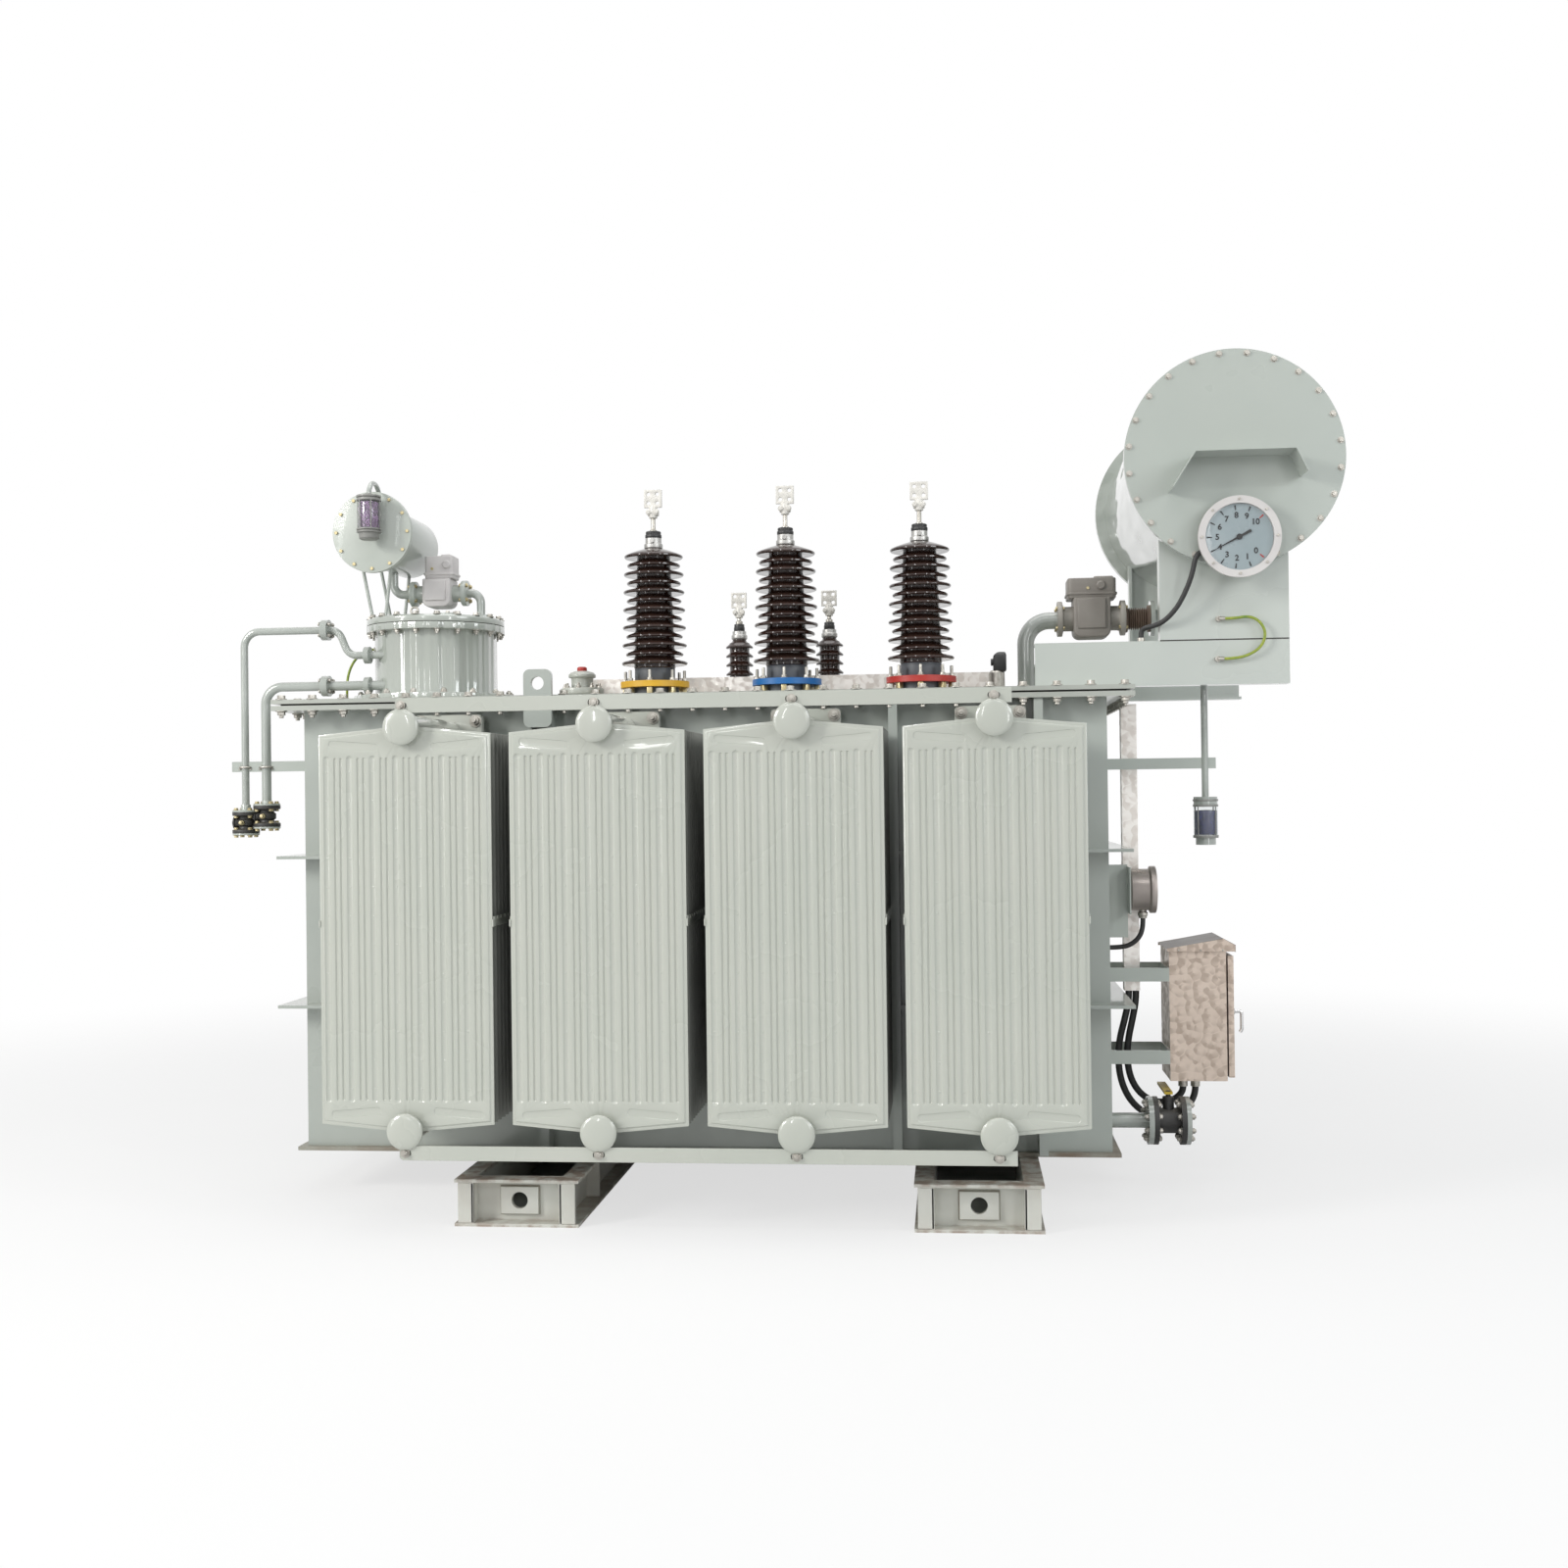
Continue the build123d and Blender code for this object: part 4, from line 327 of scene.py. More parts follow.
def settle_group():
    """A mask of dust on faces that look up, broken by a cloud."""
    group = new_group(
        "settle",
        [("Amount", "NodeSocketFloat", 0.5), ("Scale", "NodeSocketFloat", 9.0)],
        [("Mask", "NodeSocketFloat")])
    tree = group.nodes
    link = group.links.new
    take = tree.new("NodeGroupInput")
    give = tree.new("NodeGroupOutput")
    face = tree.new("ShaderNodeNewGeometry")
    apart = tree.new("ShaderNodeSeparateXYZ")
    link(face.outputs["Normal"], apart.inputs["Vector"])
    up = tree.new("ShaderNodeMapRange")
    up.inputs["From Min"].default_value = 0.5
    up.inputs["From Max"].default_value = 1.0
    link(apart.outputs["Z"], up.inputs["Value"])
    place = tree.new("ShaderNodeTexCoord")
    cloud = tree.new("ShaderNodeTexNoise")
    cloud.inputs["Detail"].default_value = 5.0
    link(place.outputs["Object"], cloud.inputs["Vector"])
    link(take.outputs["Scale"], cloud.inputs["Scale"])
    both = tree.new("ShaderNodeMath")
    both.operation = "MULTIPLY"
    link(up.outputs["Result"], both.inputs[0])
    link(cloud.outputs["Fac"], both.inputs[1])
    last = tree.new("ShaderNodeMath")
    last.operation = "MULTIPLY"
    last.use_clamp = True
    link(both.outputs["Value"], last.inputs[0])
    link(take.outputs["Amount"], last.inputs[1])
    link(last.outputs["Value"], give.inputs["Mask"])
    return group


MOTTLE = mottle_group()
SETTLE = settle_group()


def surface(name, colour, second, scale=4.0, rough=0.35, change=0.1, metal=0.0, coat=0.0,
            dust=0.0, bump=0.0, dust_colour=(0.42, 0.39, 0.33)):
    """A surface of one mottled colour, with its gloss, its dust and its fine grain."""
    material = bpy.data.materials.new(name)
    material.use_nodes = True
    tree = material.node_tree
    shader = tree.nodes["Principled BSDF"]
    shader.inputs["Metallic"].default_value = metal
    shader.inputs["Coat Weight"].default_value = coat
    shader.inputs["Coat Roughness"].default_value = 0.05
    mottle = tree.nodes.new("ShaderNodeGroup")
    mottle.node_tree = MOTTLE
    mottle.inputs["Colour"].default_value = (*colour, 1.0)
    mottle.inputs["Second"].default_value = (*second, 1.0)
    mottle.inputs["Scale"].default_value = scale
    mottle.inputs["Rough"].default_value = rough
    mottle.inputs["Rough change"].default_value = change
    tree.links.new(mottle.outputs["Rough"], shader.inputs["Roughness"])
    if dust:
        settle = tree.nodes.new("ShaderNodeGroup")
        settle.node_tree = SETTLE
        settle.inputs["Amount"].default_value = dust
        over = tree.nodes.new("ShaderNodeMix")
        over.data_type = "RGBA"
        over.inputs["B"].default_value = (*dust_colour, 1.0)
        tree.links.new(settle.outputs["Mask"], over.inputs["Factor"])
        tree.links.new(mottle.outputs["Colour"], over.inputs["A"])
        tree.links.new(over.outputs["Result"], shader.inputs["Base Color"])
    else:
        tree.links.new(mottle.outputs["Colour"], shader.inputs["Base Color"])
    if bump:
        relief = tree.nodes.new("ShaderNodeBump")
        relief.inputs["Strength"].default_value = bump
        relief.inputs["Distance"].default_value = 0.001
        tree.links.new(mottle.outputs["Height"], relief.inputs["Height"])
        tree.links.new(relief.outputs["Normal"], shader.inputs["Normal"])
    return material


def swirled_steel(name, dark, pale, metal):
    """Stainless sheet polished in rows of round swirls; each swirl's light side and dark side are a painted
    sheen in its colour.
    """
    material = bpy.data.materials.new(name)
    material.use_nodes = True
    tree = material.node_tree
    shader = tree.nodes["Principled BSDF"]
    shader.inputs["Metallic"].default_value = metal
    place = tree.nodes.new("ShaderNodeTexCoord")
    cells = tree.nodes.new("ShaderNodeTexVoronoi")
    cells.feature = "SMOOTH_F1"
    cells.inputs["Scale"].default_value = 38.0
    cells.inputs["Smoothness"].default_value = 0.5
    cells.inputs["Randomness"].default_value = 0.8
    tree.links.new(place.outputs["Object"], cells.inputs["Vector"])
    inside = tree.nodes.new("ShaderNodeVectorMath")
    inside.operation = "SUBTRACT"
    tree.links.new(place.outputs["Object"], inside.inputs[0])
    tree.links.new(cells.outputs["Position"], inside.inputs[1])
    apart = tree.nodes.new("ShaderNodeSeparateXYZ")
    tree.links.new(inside.outputs["Vector"], apart.inputs["Vector"])
    level = tree.nodes.new("ShaderNodeMath")
    level.operation = "ADD"
    tree.links.new(apart.outputs["X"], level.inputs[0])
    tree.links.new(apart.outputs["Y"], level.inputs[1])
    angle = tree.nodes.new("ShaderNodeMath")
    angle.operation = "ARCTAN2"
    tree.links.new(apart.outputs["Z"], angle.inputs[0])
    tree.links.new(level.outputs["Value"], angle.inputs[1])
    own_turn = tree.nodes.new("ShaderNodeSeparateColor")
    tree.links.new(cells.outputs["Color"], own_turn.inputs["Color"])
    turned_angle = tree.nodes.new("ShaderNodeMath")
    turned_angle.operation = "MULTIPLY_ADD"
    turned_angle.inputs[1].default_value = 2.4
    tree.links.new(own_turn.outputs["Red"], turned_angle.inputs[0])
    tree.links.new(angle.outputs["Value"], turned_angle.inputs[2])
    wave = tree.nodes.new("ShaderNodeMath")
    wave.operation = "SINE"
    tree.links.new(turned_angle.outputs["Value"], wave.inputs[0])
    # Painted sheen: each swirl is lighter on one side and darker on the other by its angle, in place of the
    # reflection that turns round the polish.
    light = tree.nodes.new("ShaderNodeMapRange")
    light.inputs["From Min"].default_value = -1.0
    light.inputs["From Max"].default_value = 1.0
    tree.links.new(wave.outputs["Value"], light.inputs["Value"])
    cloud = tree.nodes.new("ShaderNodeTexNoise")
    cloud.inputs["Scale"].default_value = 7.0
    tree.links.new(place.outputs["Object"], cloud.inputs["Vector"])
    # The painted sheen is mixed with a random cloud of tone.
    sheen_and_cloud = tree.nodes.new("ShaderNodeMix")
    sheen_and_cloud.inputs["Factor"].default_value = 0.45
    tree.links.new(light.outputs["Result"], sheen_and_cloud.inputs["A"])
    tree.links.new(cloud.outputs["Fac"], sheen_and_cloud.inputs["B"])
    tone = tree.nodes.new("ShaderNodeMix")
    tone.data_type = "RGBA"
    tone.inputs["A"].default_value = (*dark, 1.0)
    tone.inputs["B"].default_value = (*pale, 1.0)
    tree.links.new(sheen_and_cloud.outputs["Result"], tone.inputs["Factor"])
    tree.links.new(tone.outputs["Result"], shader.inputs["Base Color"])
    rough = tree.nodes.new("ShaderNodeMapRange")
    rough.inputs["To Min"].default_value = 0.48
    rough.inputs["To Max"].default_value = 0.30
    tree.links.new(light.outputs["Result"], rough.inputs["Value"])
    tree.links.new(rough.outputs["Result"], shader.inputs["Roughness"])
    return material


def clear_glass():
    """Thin clear glass with faint smears."""
    material = surface(
        "clear glass", (0.95, 0.97, 0.97), (0.88, 0.92, 0.92), scale=30.0, rough=0.04, change=0.1)
    shader = material.node_tree.nodes["Principled BSDF"]
    shader.inputs["Transmission Weight"].default_value = 0.9
    shader.inputs["IOR"].default_value = 1.02
    shader.inputs["Specular IOR Level"].default_value = 0.1
    return material


TANK = surface(
    "tank paint", (0.46, 0.495, 0.455), (0.42, 0.46, 0.425), 2.5, 0.26, 0.12, coat=0.6, dust=0.4)
# Painted light: the conservator frame takes the tank paint made lighter, for the light on the fronts of its
# beams.
LIT_FRAME = surface(
    "frame paint painted lighter", (0.56, 0.595, 0.555), (0.52, 0.56, 0.525), 2.5, 0.24, 0.12, coat=0.6, dust=0.3)
PIPE = surface("pipe paint", (0.43, 0.46, 0.43), (0.37, 0.40, 0.37), 6.0, 0.13, 0.1, coat=1.0, dust=0.3)
GLOSS = surface("glossy paint", (0.47, 0.50, 0.46), (0.43, 0.47, 0.43), 3.0, 0.14, 0.1, coat=0.8)
RADIATOR = surface(
    "radiator paint", (0.51, 0.525, 0.47), (0.475, 0.50, 0.445), 3.0, 0.22, 0.1, coat=0.9, dust=0.3)
COVER = surface(
    "cover paint", (0.47, 0.49, 0.445), (0.41, 0.43, 0.39), 6.0, 0.30, 0.14, coat=0.3, dust=0.7)
RUBBER = surface("gasket rubber", (0.035, 0.033, 0.03), (0.06, 0.055, 0.05), 20.0, 0.6, 0.2)
PORCELAIN = surface(
    "brown porcelain", (0.026, 0.011, 0.008), (0.038, 0.016, 0.011), 7.0, 0.08, 0.06, coat=0.25,
    dust=0.05)
YELLOW = surface("yellow paint", (0.78, 0.46, 0.035), (0.66, 0.37, 0.03), 9.0, 0.35, 0.15, dust=0.3)
BLUE = surface("blue paint", (0.012, 0.15, 0.44), (0.01, 0.11, 0.34), 9.0, 0.35, 0.15, dust=0.3)
RED = surface("red paint", (0.48, 0.035, 0.025), (0.38, 0.03, 0.025), 9.0, 0.35, 0.15, dust=0.3)
TINNED = surface("tinned metal", (0.46, 0.455, 0.44), (0.36, 0.355, 0.34), 25.0, 0.32, 0.2, metal=0.8)
ZINC = surface("zinc steel", (0.50, 0.48, 0.44), (0.34, 0.325, 0.29), 40.0, 0.32, 0.25, metal=0.9)
BRASS = surface("brass", (0.56, 0.49, 0.30), (0.42, 0.35, 0.20), 40.0, 0.32, 0.2, metal=0.85)
WARM = surface(
    "warm casting", (0.235, 0.215, 0.195), (0.29, 0.27, 0.245), 12.0, 0.42, 0.15, dust=0.6, bump=0.2)
LILAC = surface(
    "lilac casting", (0.71, 0.68, 0.675), (0.63, 0.605, 0.60), 12.0, 0.38, 0.15, dust=0.5, bump=0.2)
PURPLE = surface(
    "purple gel", (0.075, 0.035, 0.085), (0.17, 0.08, 0.19), 90.0, 0.22, 0.1, coat=0.8, bump=0.5)
DARK_BLUE = surface(
    "blue gel", (0.006, 0.007, 0.045), (0.016, 0.018, 0.09), 110.0, 0.3, 0.1, coat=0.4, bump=0.6)
WHITE = surface("gauge white", (0.70, 0.68, 0.66), (0.62, 0.59, 0.58), 10.0, 0.35, 0.1)
BELLOWS = surface("brown bellows", (0.11, 0.075, 0.056), (0.165, 0.12, 0.088), 16.0, 0.45, 0.2, dust=0.4)
CASE = surface(
    "grey case", (0.42, 0.375, 0.35), (0.33, 0.29, 0.27), 14.0, 0.26, 0.15, metal=0.55, dust=0.3)
SWIRL = swirled_steel("swirled steel", (0.37, 0.29, 0.235), (0.73, 0.615, 0.525), 0.45)
DUCT = swirled_steel("swirled duct", (0.70, 0.635, 0.585), (1.0, 0.97, 0.93), 0.5)
CHROME = surface("chrome handle", (0.70, 0.70, 0.70), (0.56, 0.555, 0.55), 30.0, 0.12, 0.12, metal=1.0)
SLATE = surface("slate foot", (0.075, 0.085, 0.10), (0.11, 0.12, 0.135), 12.0, 0.4, 0.15, dust=0.6)
CABLE = surface("black cable", (0.018, 0.018, 0.018), (0.03, 0.03, 0.03), 30.0, 0.45, 0.2)
BOND = surface("bond wire", (0.38, 0.42, 0.05), (0.16, 0.28, 0.05), 60.0, 0.4, 0.2)
IRON = surface("black iron", (0.022, 0.022, 0.022), (0.045, 0.043, 0.04), 18.0, 0.38, 0.2, dust=0.4)
LEVER = surface("yellow lever", (0.60, 0.42, 0.03), (0.42, 0.30, 0.04), 20.0, 0.35, 0.2)
GLASS = clear_glass()
BLACK = surface("black paint", (0.016, 0.016, 0.017), (0.03, 0.03, 0.03), 20.0, 0.3, 0.2)
DIAL = surface("dial face", (0.32, 0.38, 0.40), (0.28, 0.34, 0.36), 12.0, 0.25, 0.1, coat=0.4)
RUSTY = surface("rusty paint", (0.40, 0.41, 0.36), (0.22, 0.15, 0.10), 9.0, 0.45, 0.25, dust=0.6)
# Painted shade: the inner plates take the radiator paint made dark, for the shade between the closely set
# plates, with dust as well.
INNER_PLATES_SHADE = surface(
    "inner plates in painted shade", (0.23, 0.238, 0.218), (0.18, 0.187, 0.168), 5.0, 0.45, 0.15, dust=0.4)
PALE_PAD = surface("pale pads", (0.76, 0.74, 0.695), (0.68, 0.66, 0.615), 20.0, 0.40, 0.15, metal=0.1)
BREATHER = surface(
    "breather casting", (0.30, 0.30, 0.285), (0.24, 0.24, 0.225), 14.0, 0.36, 0.15, dust=0.4)
ROOF = surface("roof sheet", (0.12, 0.105, 0.095), (0.20, 0.175, 0.16), 16.0, 0.34, 0.15, metal=0.3)
PALE_CAST = surface("pale flanges", (0.40, 0.38, 0.345), (0.30, 0.285, 0.255), 14.0, 0.38, 0.15, dust=0.4)
DULL = surface(
    "dull paint", (0.54, 0.57, 0.525), (0.49, 0.53, 0.485), 3.0, 0.34, 0.1, coat=0.15, dust=0.2)


def streaked_paint(name, waves_each_way, wave_height):
    """Glossy paint over rolled sheet, whose slight long waves break up its reflections."""
    material = surface(name, (0.45, 0.48, 0.44), (0.41, 0.45, 0.41), 3.0, 0.10, 0.08, coat=1.0)
    tree = material.node_tree
    place = tree.nodes.new("ShaderNodeTexCoord")
    stretch = tree.nodes.new("ShaderNodeMapping")
    stretch.inputs["Scale"].default_value = waves_each_way
    tree.links.new(place.outputs["Object"], stretch.inputs["Vector"])
    waves = tree.nodes.new("ShaderNodeTexNoise")
    waves.inputs["Scale"].default_value = 1.0
    waves.inputs["Detail"].default_value = 1.0
    tree.links.new(stretch.outputs["Vector"], waves.inputs["Vector"])
    relief = tree.nodes.new("ShaderNodeBump")
    relief.inputs["Strength"].default_value = 0.9
    relief.inputs["Distance"].default_value = wave_height
    tree.links.new(waves.outputs["Fac"], relief.inputs["Height"])
    tree.links.new(relief.outputs["Normal"], tree.nodes["Principled BSDF"].inputs["Normal"])
    tree.links.new(relief.outputs["Normal"], tree.nodes["Principled BSDF"].inputs["Coat Normal"])
    return material


STREAKED = streaked_paint("streaked drum", (20.0, 20.0, 0.5), 0.024)
SHELL = streaked_paint("streaked shell", (10.0, 2.6, 13.0), 0.014)


def rusted_skid():
    """Skid paint whose top edges are worn to rust and whose foot is dirty."""
    material = surface("skid paint", (0.69, 0.70, 0.65), (0.53, 0.51, 0.455), 5.0, 0.42, 0.2, dust=0.4)
    tree = material.node_tree
    shader = tree.nodes["Principled BSDF"]
    place = tree.nodes.new("ShaderNodeTexCoord")
    apart = tree.nodes.new("ShaderNodeSeparateXYZ")
    tree.links.new(place.outputs["Object"], apart.inputs["Vector"])
    edge = tree.nodes.new("ShaderNodeMapRange")
    edge.inputs["From Min"].default_value = 0.127
    edge.inputs["From Max"].default_value = 0.140
    tree.links.new(apart.outputs["Z"], edge.inputs["Value"])
    foot = tree.nodes.new("ShaderNodeMapRange")
    foot.inputs["From Min"].default_value = 0.016
    foot.inputs["From Max"].default_value = 0.002
    tree.links.new(apart.outputs["Z"], foot.inputs["Value"])
    both = tree.nodes.new("ShaderNodeMath")
    both.operation = "MAXIMUM"
    tree.links.new(edge.outputs["Result"], both.inputs[0])
    tree.links.new(foot.outputs["Result"], both.inputs[1])
    patches = tree.nodes.new("ShaderNodeTexNoise")
    patches.inputs["Scale"].default_value = 22.0
    patches.inputs["Detail"].default_value = 5.0
    tree.links.new(place.outputs["Object"], patches.inputs["Vector"])
    bare = tree.nodes.new("ShaderNodeMapRange")
    bare.inputs["From Min"].default_value = 0.42
    bare.inputs["From Max"].default_value = 0.58
    bare.inputs["To Max"].default_value = 0.7
    tree.links.new(patches.outputs["Fac"], bare.inputs["Value"])
    mask = tree.nodes.new("ShaderNodeMath")
    mask.operation = "MULTIPLY"
    tree.links.new(both.outputs["Value"], mask.inputs[0])
    tree.links.new(bare.outputs["Result"], mask.inputs[1])
    colour = shader.inputs["Base Color"].links[0].from_socket
    rust = tree.nodes.new("ShaderNodeMix")
    rust.data_type = "RGBA"
    rust.inputs["B"].default_value = (0.25, 0.155, 0.105, 1.0)
    tree.links.new(mask.outputs["Value"], rust.inputs["Factor"])
    tree.links.new(colour, rust.inputs["A"])
    tree.links.new(rust.outputs["Result"], shader.inputs["Base Color"])
    return material


SKID = rusted_skid()
# Painted shade: a darker paint for the bottom plates, for the shade inside the skids.
SKID_INSIDE_SHADE = surface("painted shade inside the skids", (0.44, 0.46, 0.43), (0.34, 0.35, 0.32), 9.0, 0.6, 0.2)


# The camera stands where the photograph was taken from, and the image is square.
yaw = 0.1000
pitch = 0.0071
roll = -0.0123
level_right = Vector((cos(yaw), sin(yaw), 0.0))
level_ahead = Vector((-sin(yaw), cos(yaw), 0.0))
upright = Vector((0.0, 0.0, 1.0))
ahead = level_ahead * cos(pitch) + upright * sin(pitch)
lifted = upright * cos(pitch) - level_ahead * sin(pitch)
image_right = level_right * cos(roll) + lifted * sin(roll)
image_up = lifted * cos(roll) - level_right * sin(roll)
lens = bpy.data.cameras.new("camera")
lens.lens = 38.535
lens.sensor_width = 36.0
camera = bpy.data.objects.new("camera", lens)
turn = Matrix((image_right, image_up, -ahead)).transposed().to_4x4()
camera.matrix_world = Matrix.Translation((0.656, -5.8076, 1.2733)) @ turn
bpy.context.collection.objects.link(camera)
scene = bpy.context.scene
scene.camera = camera
scene.view_settings.view_transform = "Standard"


# A plain pale floor, and soft light from the front, from above and from the right.
clear_selection()
bpy.ops.mesh.primitive_plane_add(size=60.0, location=(0, 0, 0))
floor = bpy.context.object
floor.name = "floor"
floor_paint = surface("pale floor", (0.86, 0.86, 0.86), (0.84, 0.84, 0.84), 0.6, 0.7, 0.05)
floor_tree = floor_paint.node_tree
floor_place = floor_tree.nodes.new("ShaderNodeTexCoord")
from_middle = floor_tree.nodes.new("ShaderNodeVectorMath")
from_middle.operation = "LENGTH"
floor_tree.links.new(floor_place.outputs["Object"], from_middle.inputs[0])
fade = floor_tree.nodes.new("ShaderNodeMapRange")
fade.interpolation_type = "SMOOTHSTEP"
fade.inputs["From Min"].default_value = 2.2
fade.inputs["From Max"].default_value = 6.5
fade.inputs["To Min"].default_value = 1.0
fade.inputs["To Max"].default_value = 0.0
floor_tree.links.new(from_middle.outputs["Value"], fade.inputs["Value"])
floor_tree.links.new(fade.outputs["Result"], floor_tree.nodes["Principled BSDF"].inputs["Alpha"])
pale = floor_tree.nodes.new("ShaderNodeEmission")
pale.inputs["Color"].default_value = (1.0, 1.0, 1.0, 1.0)
pale.inputs["Strength"].default_value = 1.0
floor_path = floor_tree.nodes.new("ShaderNodeLightPath")
part_seen = floor_tree.nodes.new("ShaderNodeMath")
part_seen.operation = "MULTIPLY"
part_seen.inputs[1].default_value = 0.68
floor_tree.links.new(floor_path.outputs["Is Camera Ray"], part_seen.inputs[0])
two_floors = floor_tree.nodes.new("ShaderNodeMixShader")
floor_tree.links.new(part_seen.outputs["Value"], two_floors.inputs["Fac"])
floor_tree.links.new(floor_tree.nodes["Principled BSDF"].outputs["BSDF"], two_floors.inputs[1])
floor_tree.links.new(pale.outputs["Emission"], two_floors.inputs[2])
floor_tree.links.new(two_floors.outputs["Shader"], floor_tree.nodes["Material Output"].inputs["Surface"])
floor.data.materials.append(floor_paint)


def soft_lamp(name, place, target, wide, high, power, colour=(1.0, 1.0, 1.0)):
    """A square-cornered area lamp that looks at a target, in metres."""
    light = bpy.data.lights.new(name, "AREA")
    light.shape = "RECTANGLE"
    light.size = wide
    light.size_y = high
    light.energy = power
    light.color = colour
    lamp = bpy.data.objects.new(name, light)
    lamp.location = place
    lamp.rotation_euler = (Vector(target) - Vector(place)).to_track_quat("-Z", "Y").to_euler()
    bpy.context.collection.objects.link(lamp)
    return lamp


soft_lamp("front lamp", (-6.2, -5.2, 4.6), (0.0, -0.8, 1.2), 2.2, 2.2, 325.0, (1.0, 0.985, 0.95))
soft_lamp("right lamp", (6.0, -4.0, 4.0), (0.4, 0.0, 1.2), 2.4, 2.4, 122.0, (0.94, 0.98, 1.0))
soft_lamp("left strip", (-4.6, -4.2, 2.2), (-0.4, -0.6, 1.4), 0.3, 3.2, 42.0)
soft_lamp("middle strip", (-1.6, -7.4, 3.4), (-0.6, -0.6, 1.5), 0.3, 2.6, 34.0)
soft_lamp("high strip", (0.4, -4.6, 5.6), (0.0, -1.0, 1.4), 5.0, 0.35, 44.0)
soft_lamp("right strip", (3.6, -5.6, 2.4), (0.6, -0.6, 1.5), 0.3, 3.2, 34.0)
soft_lamp("top lamp", (0.0, -0.5, 7.0), (0.0, 0.0, 1.0), 6.0, 4.0, 160.0)

world = bpy.data.worlds.new("room")
scene.world = world
world.use_nodes = True
sky = world.node_tree
for node in list(sky.nodes):
    sky.nodes.remove(node)
room_light = sky.nodes.new("ShaderNodeBackground")
room_light.inputs["Color"].default_value = (0.95, 0.98, 1.0, 1.0)
room_light.inputs["Strength"].default_value = 0.23
white = sky.nodes.new("ShaderNodeBackground")
white.inputs["Color"].default_value = (1.0, 1.0, 1.0, 1.0)
white.inputs["Strength"].default_value = 1.0
path = sky.nodes.new("ShaderNodeLightPath")
glossy_too = sky.nodes.new("ShaderNodeMath")
glossy_too.operation = "MAXIMUM"
sky.links.new(path.outputs["Is Camera Ray"], glossy_too.inputs[0])
sky.links.new(path.outputs["Is Transmission Ray"], glossy_too.inputs[1])
seen_by = sky.nodes.new("ShaderNodeMath")
seen_by.operation = "MAXIMUM"
sky.links.new(glossy_too.outputs["Value"], seen_by.inputs[0])
sky.links.new(path.outputs["Is Glossy Ray"], seen_by.inputs[1])
seen = sky.nodes.new("ShaderNodeMixShader")
sky.links.new(seen_by.outputs["Value"], seen.inputs["Fac"])
sky.links.new(room_light.outputs["Background"], seen.inputs[1])
sky.links.new(white.outputs["Background"], seen.inputs[2])
sky_out = sky.nodes.new("ShaderNodeOutputWorld")
sky.links.new(seen.outputs["Shader"], sky_out.inputs["Surface"])


# The built parts take their finish here; those that a modelled piece stands for are hidden by it.
FINISHES = {
    "tank_walls": TANK, "tank_bottom": RUSTY, "tank_rim": COVER, "tank_gasket": RUBBER,
    "tank_cover": COVER, "tank_ribs": TANK, "lifting_lugs": TANK, "skid_channels": SKID,
    "skid_ends": SKID, "radiator_plates_front": RADIATOR, "radiator_plates_back": RADIATOR,
    "radiator_headers_front": RADIATOR, "radiator_headers_back": RADIATOR, "radiator_ties": RADIATOR,
    "hv_porcelain": PORCELAIN, "hv_ring_left": YELLOW, "hv_ring_middle": BLUE, "hv_ring_right": RED,
    "bushing_feet": SLATE, "hv_terminals": TINNED, "lv_porcelain": PORCELAIN, "lv_terminals": TINNED,
    "oltc_drum": GLOSS, "oltc_cover": GLOSS, "small_conservator": GLOSS, "small_relay": LILAC,
    "small_pipes": PIPE, "small_breather": PURPLE, "relief_valve": COVER, "cover_pocket": ZINC,
    "conservator_shell": SHELL, "conservator_ends": TANK, "conservator_frame": LIT_FRAME,
    "gauge_case": WHITE, "rain_visor": TANK, "main_relay": WARM, "main_bellows": BELLOWS,
    "main_pipes": PIPE, "breather_pipe": PIPE, "breather_glass": DARK_BLUE, "thermometer": CASE,
    "cabinet_body": SWIRL, "cabinet_roof": ROOF, "cabinet_door": SWIRL, "cabinet_handle": CHROME,
    "drain_pipe": PIPE, "drain_valve": IRON, "drain_lever": LEVER, "oil_pipes": PIPE, "oil_valves": IRON,
    "wall_brackets": TANK, "cable_ducts": DUCT, "gauge_cable": CABLE, "thermometer_cable": CABLE,
    "cabinet_cable_outer": CABLE, "cabinet_cable_inner": CABLE, "conservator_bond": BOND,
    "head_bond": BOND, "cable_fittings": ZINC}
for node_name, finish in FINISHES.items():
    mesh = nodes[node_name].data
    for index in range(len(mesh.materials)):
        mesh.materials[index] = finish
    if not mesh.materials:
        mesh.materials.append(finish)


# Cords: each is one curve through its route's points, in millimetres, from where it leaves to where it ends.

def lay_cord(name, route, radius, material, node):
    """One round cord along a route; its length is in metres."""
    curve = bpy.data.curves.new(name, "CURVE")
    curve.dimensions = "3D"
    curve.bevel_depth = radius * MM
    curve.bevel_resolution = 3
    curve.resolution_u = 6
    curve.use_fill_caps = True
    spline = curve.splines.new("NURBS")
    spline.points.add(len(route) - 1)
    for point, place in zip(spline.points, route):
        point.co = (*(Vector(place) * MM), 1.0)
    spline.order_u = 3
    spline.use_endpoint_u = True
    piece = bpy.data.objects.new(name, curve)
    bpy.context.collection.objects.link(piece)
    curve.materials.append(material)
    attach(piece, "transformer")
    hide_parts(node)
    return piece


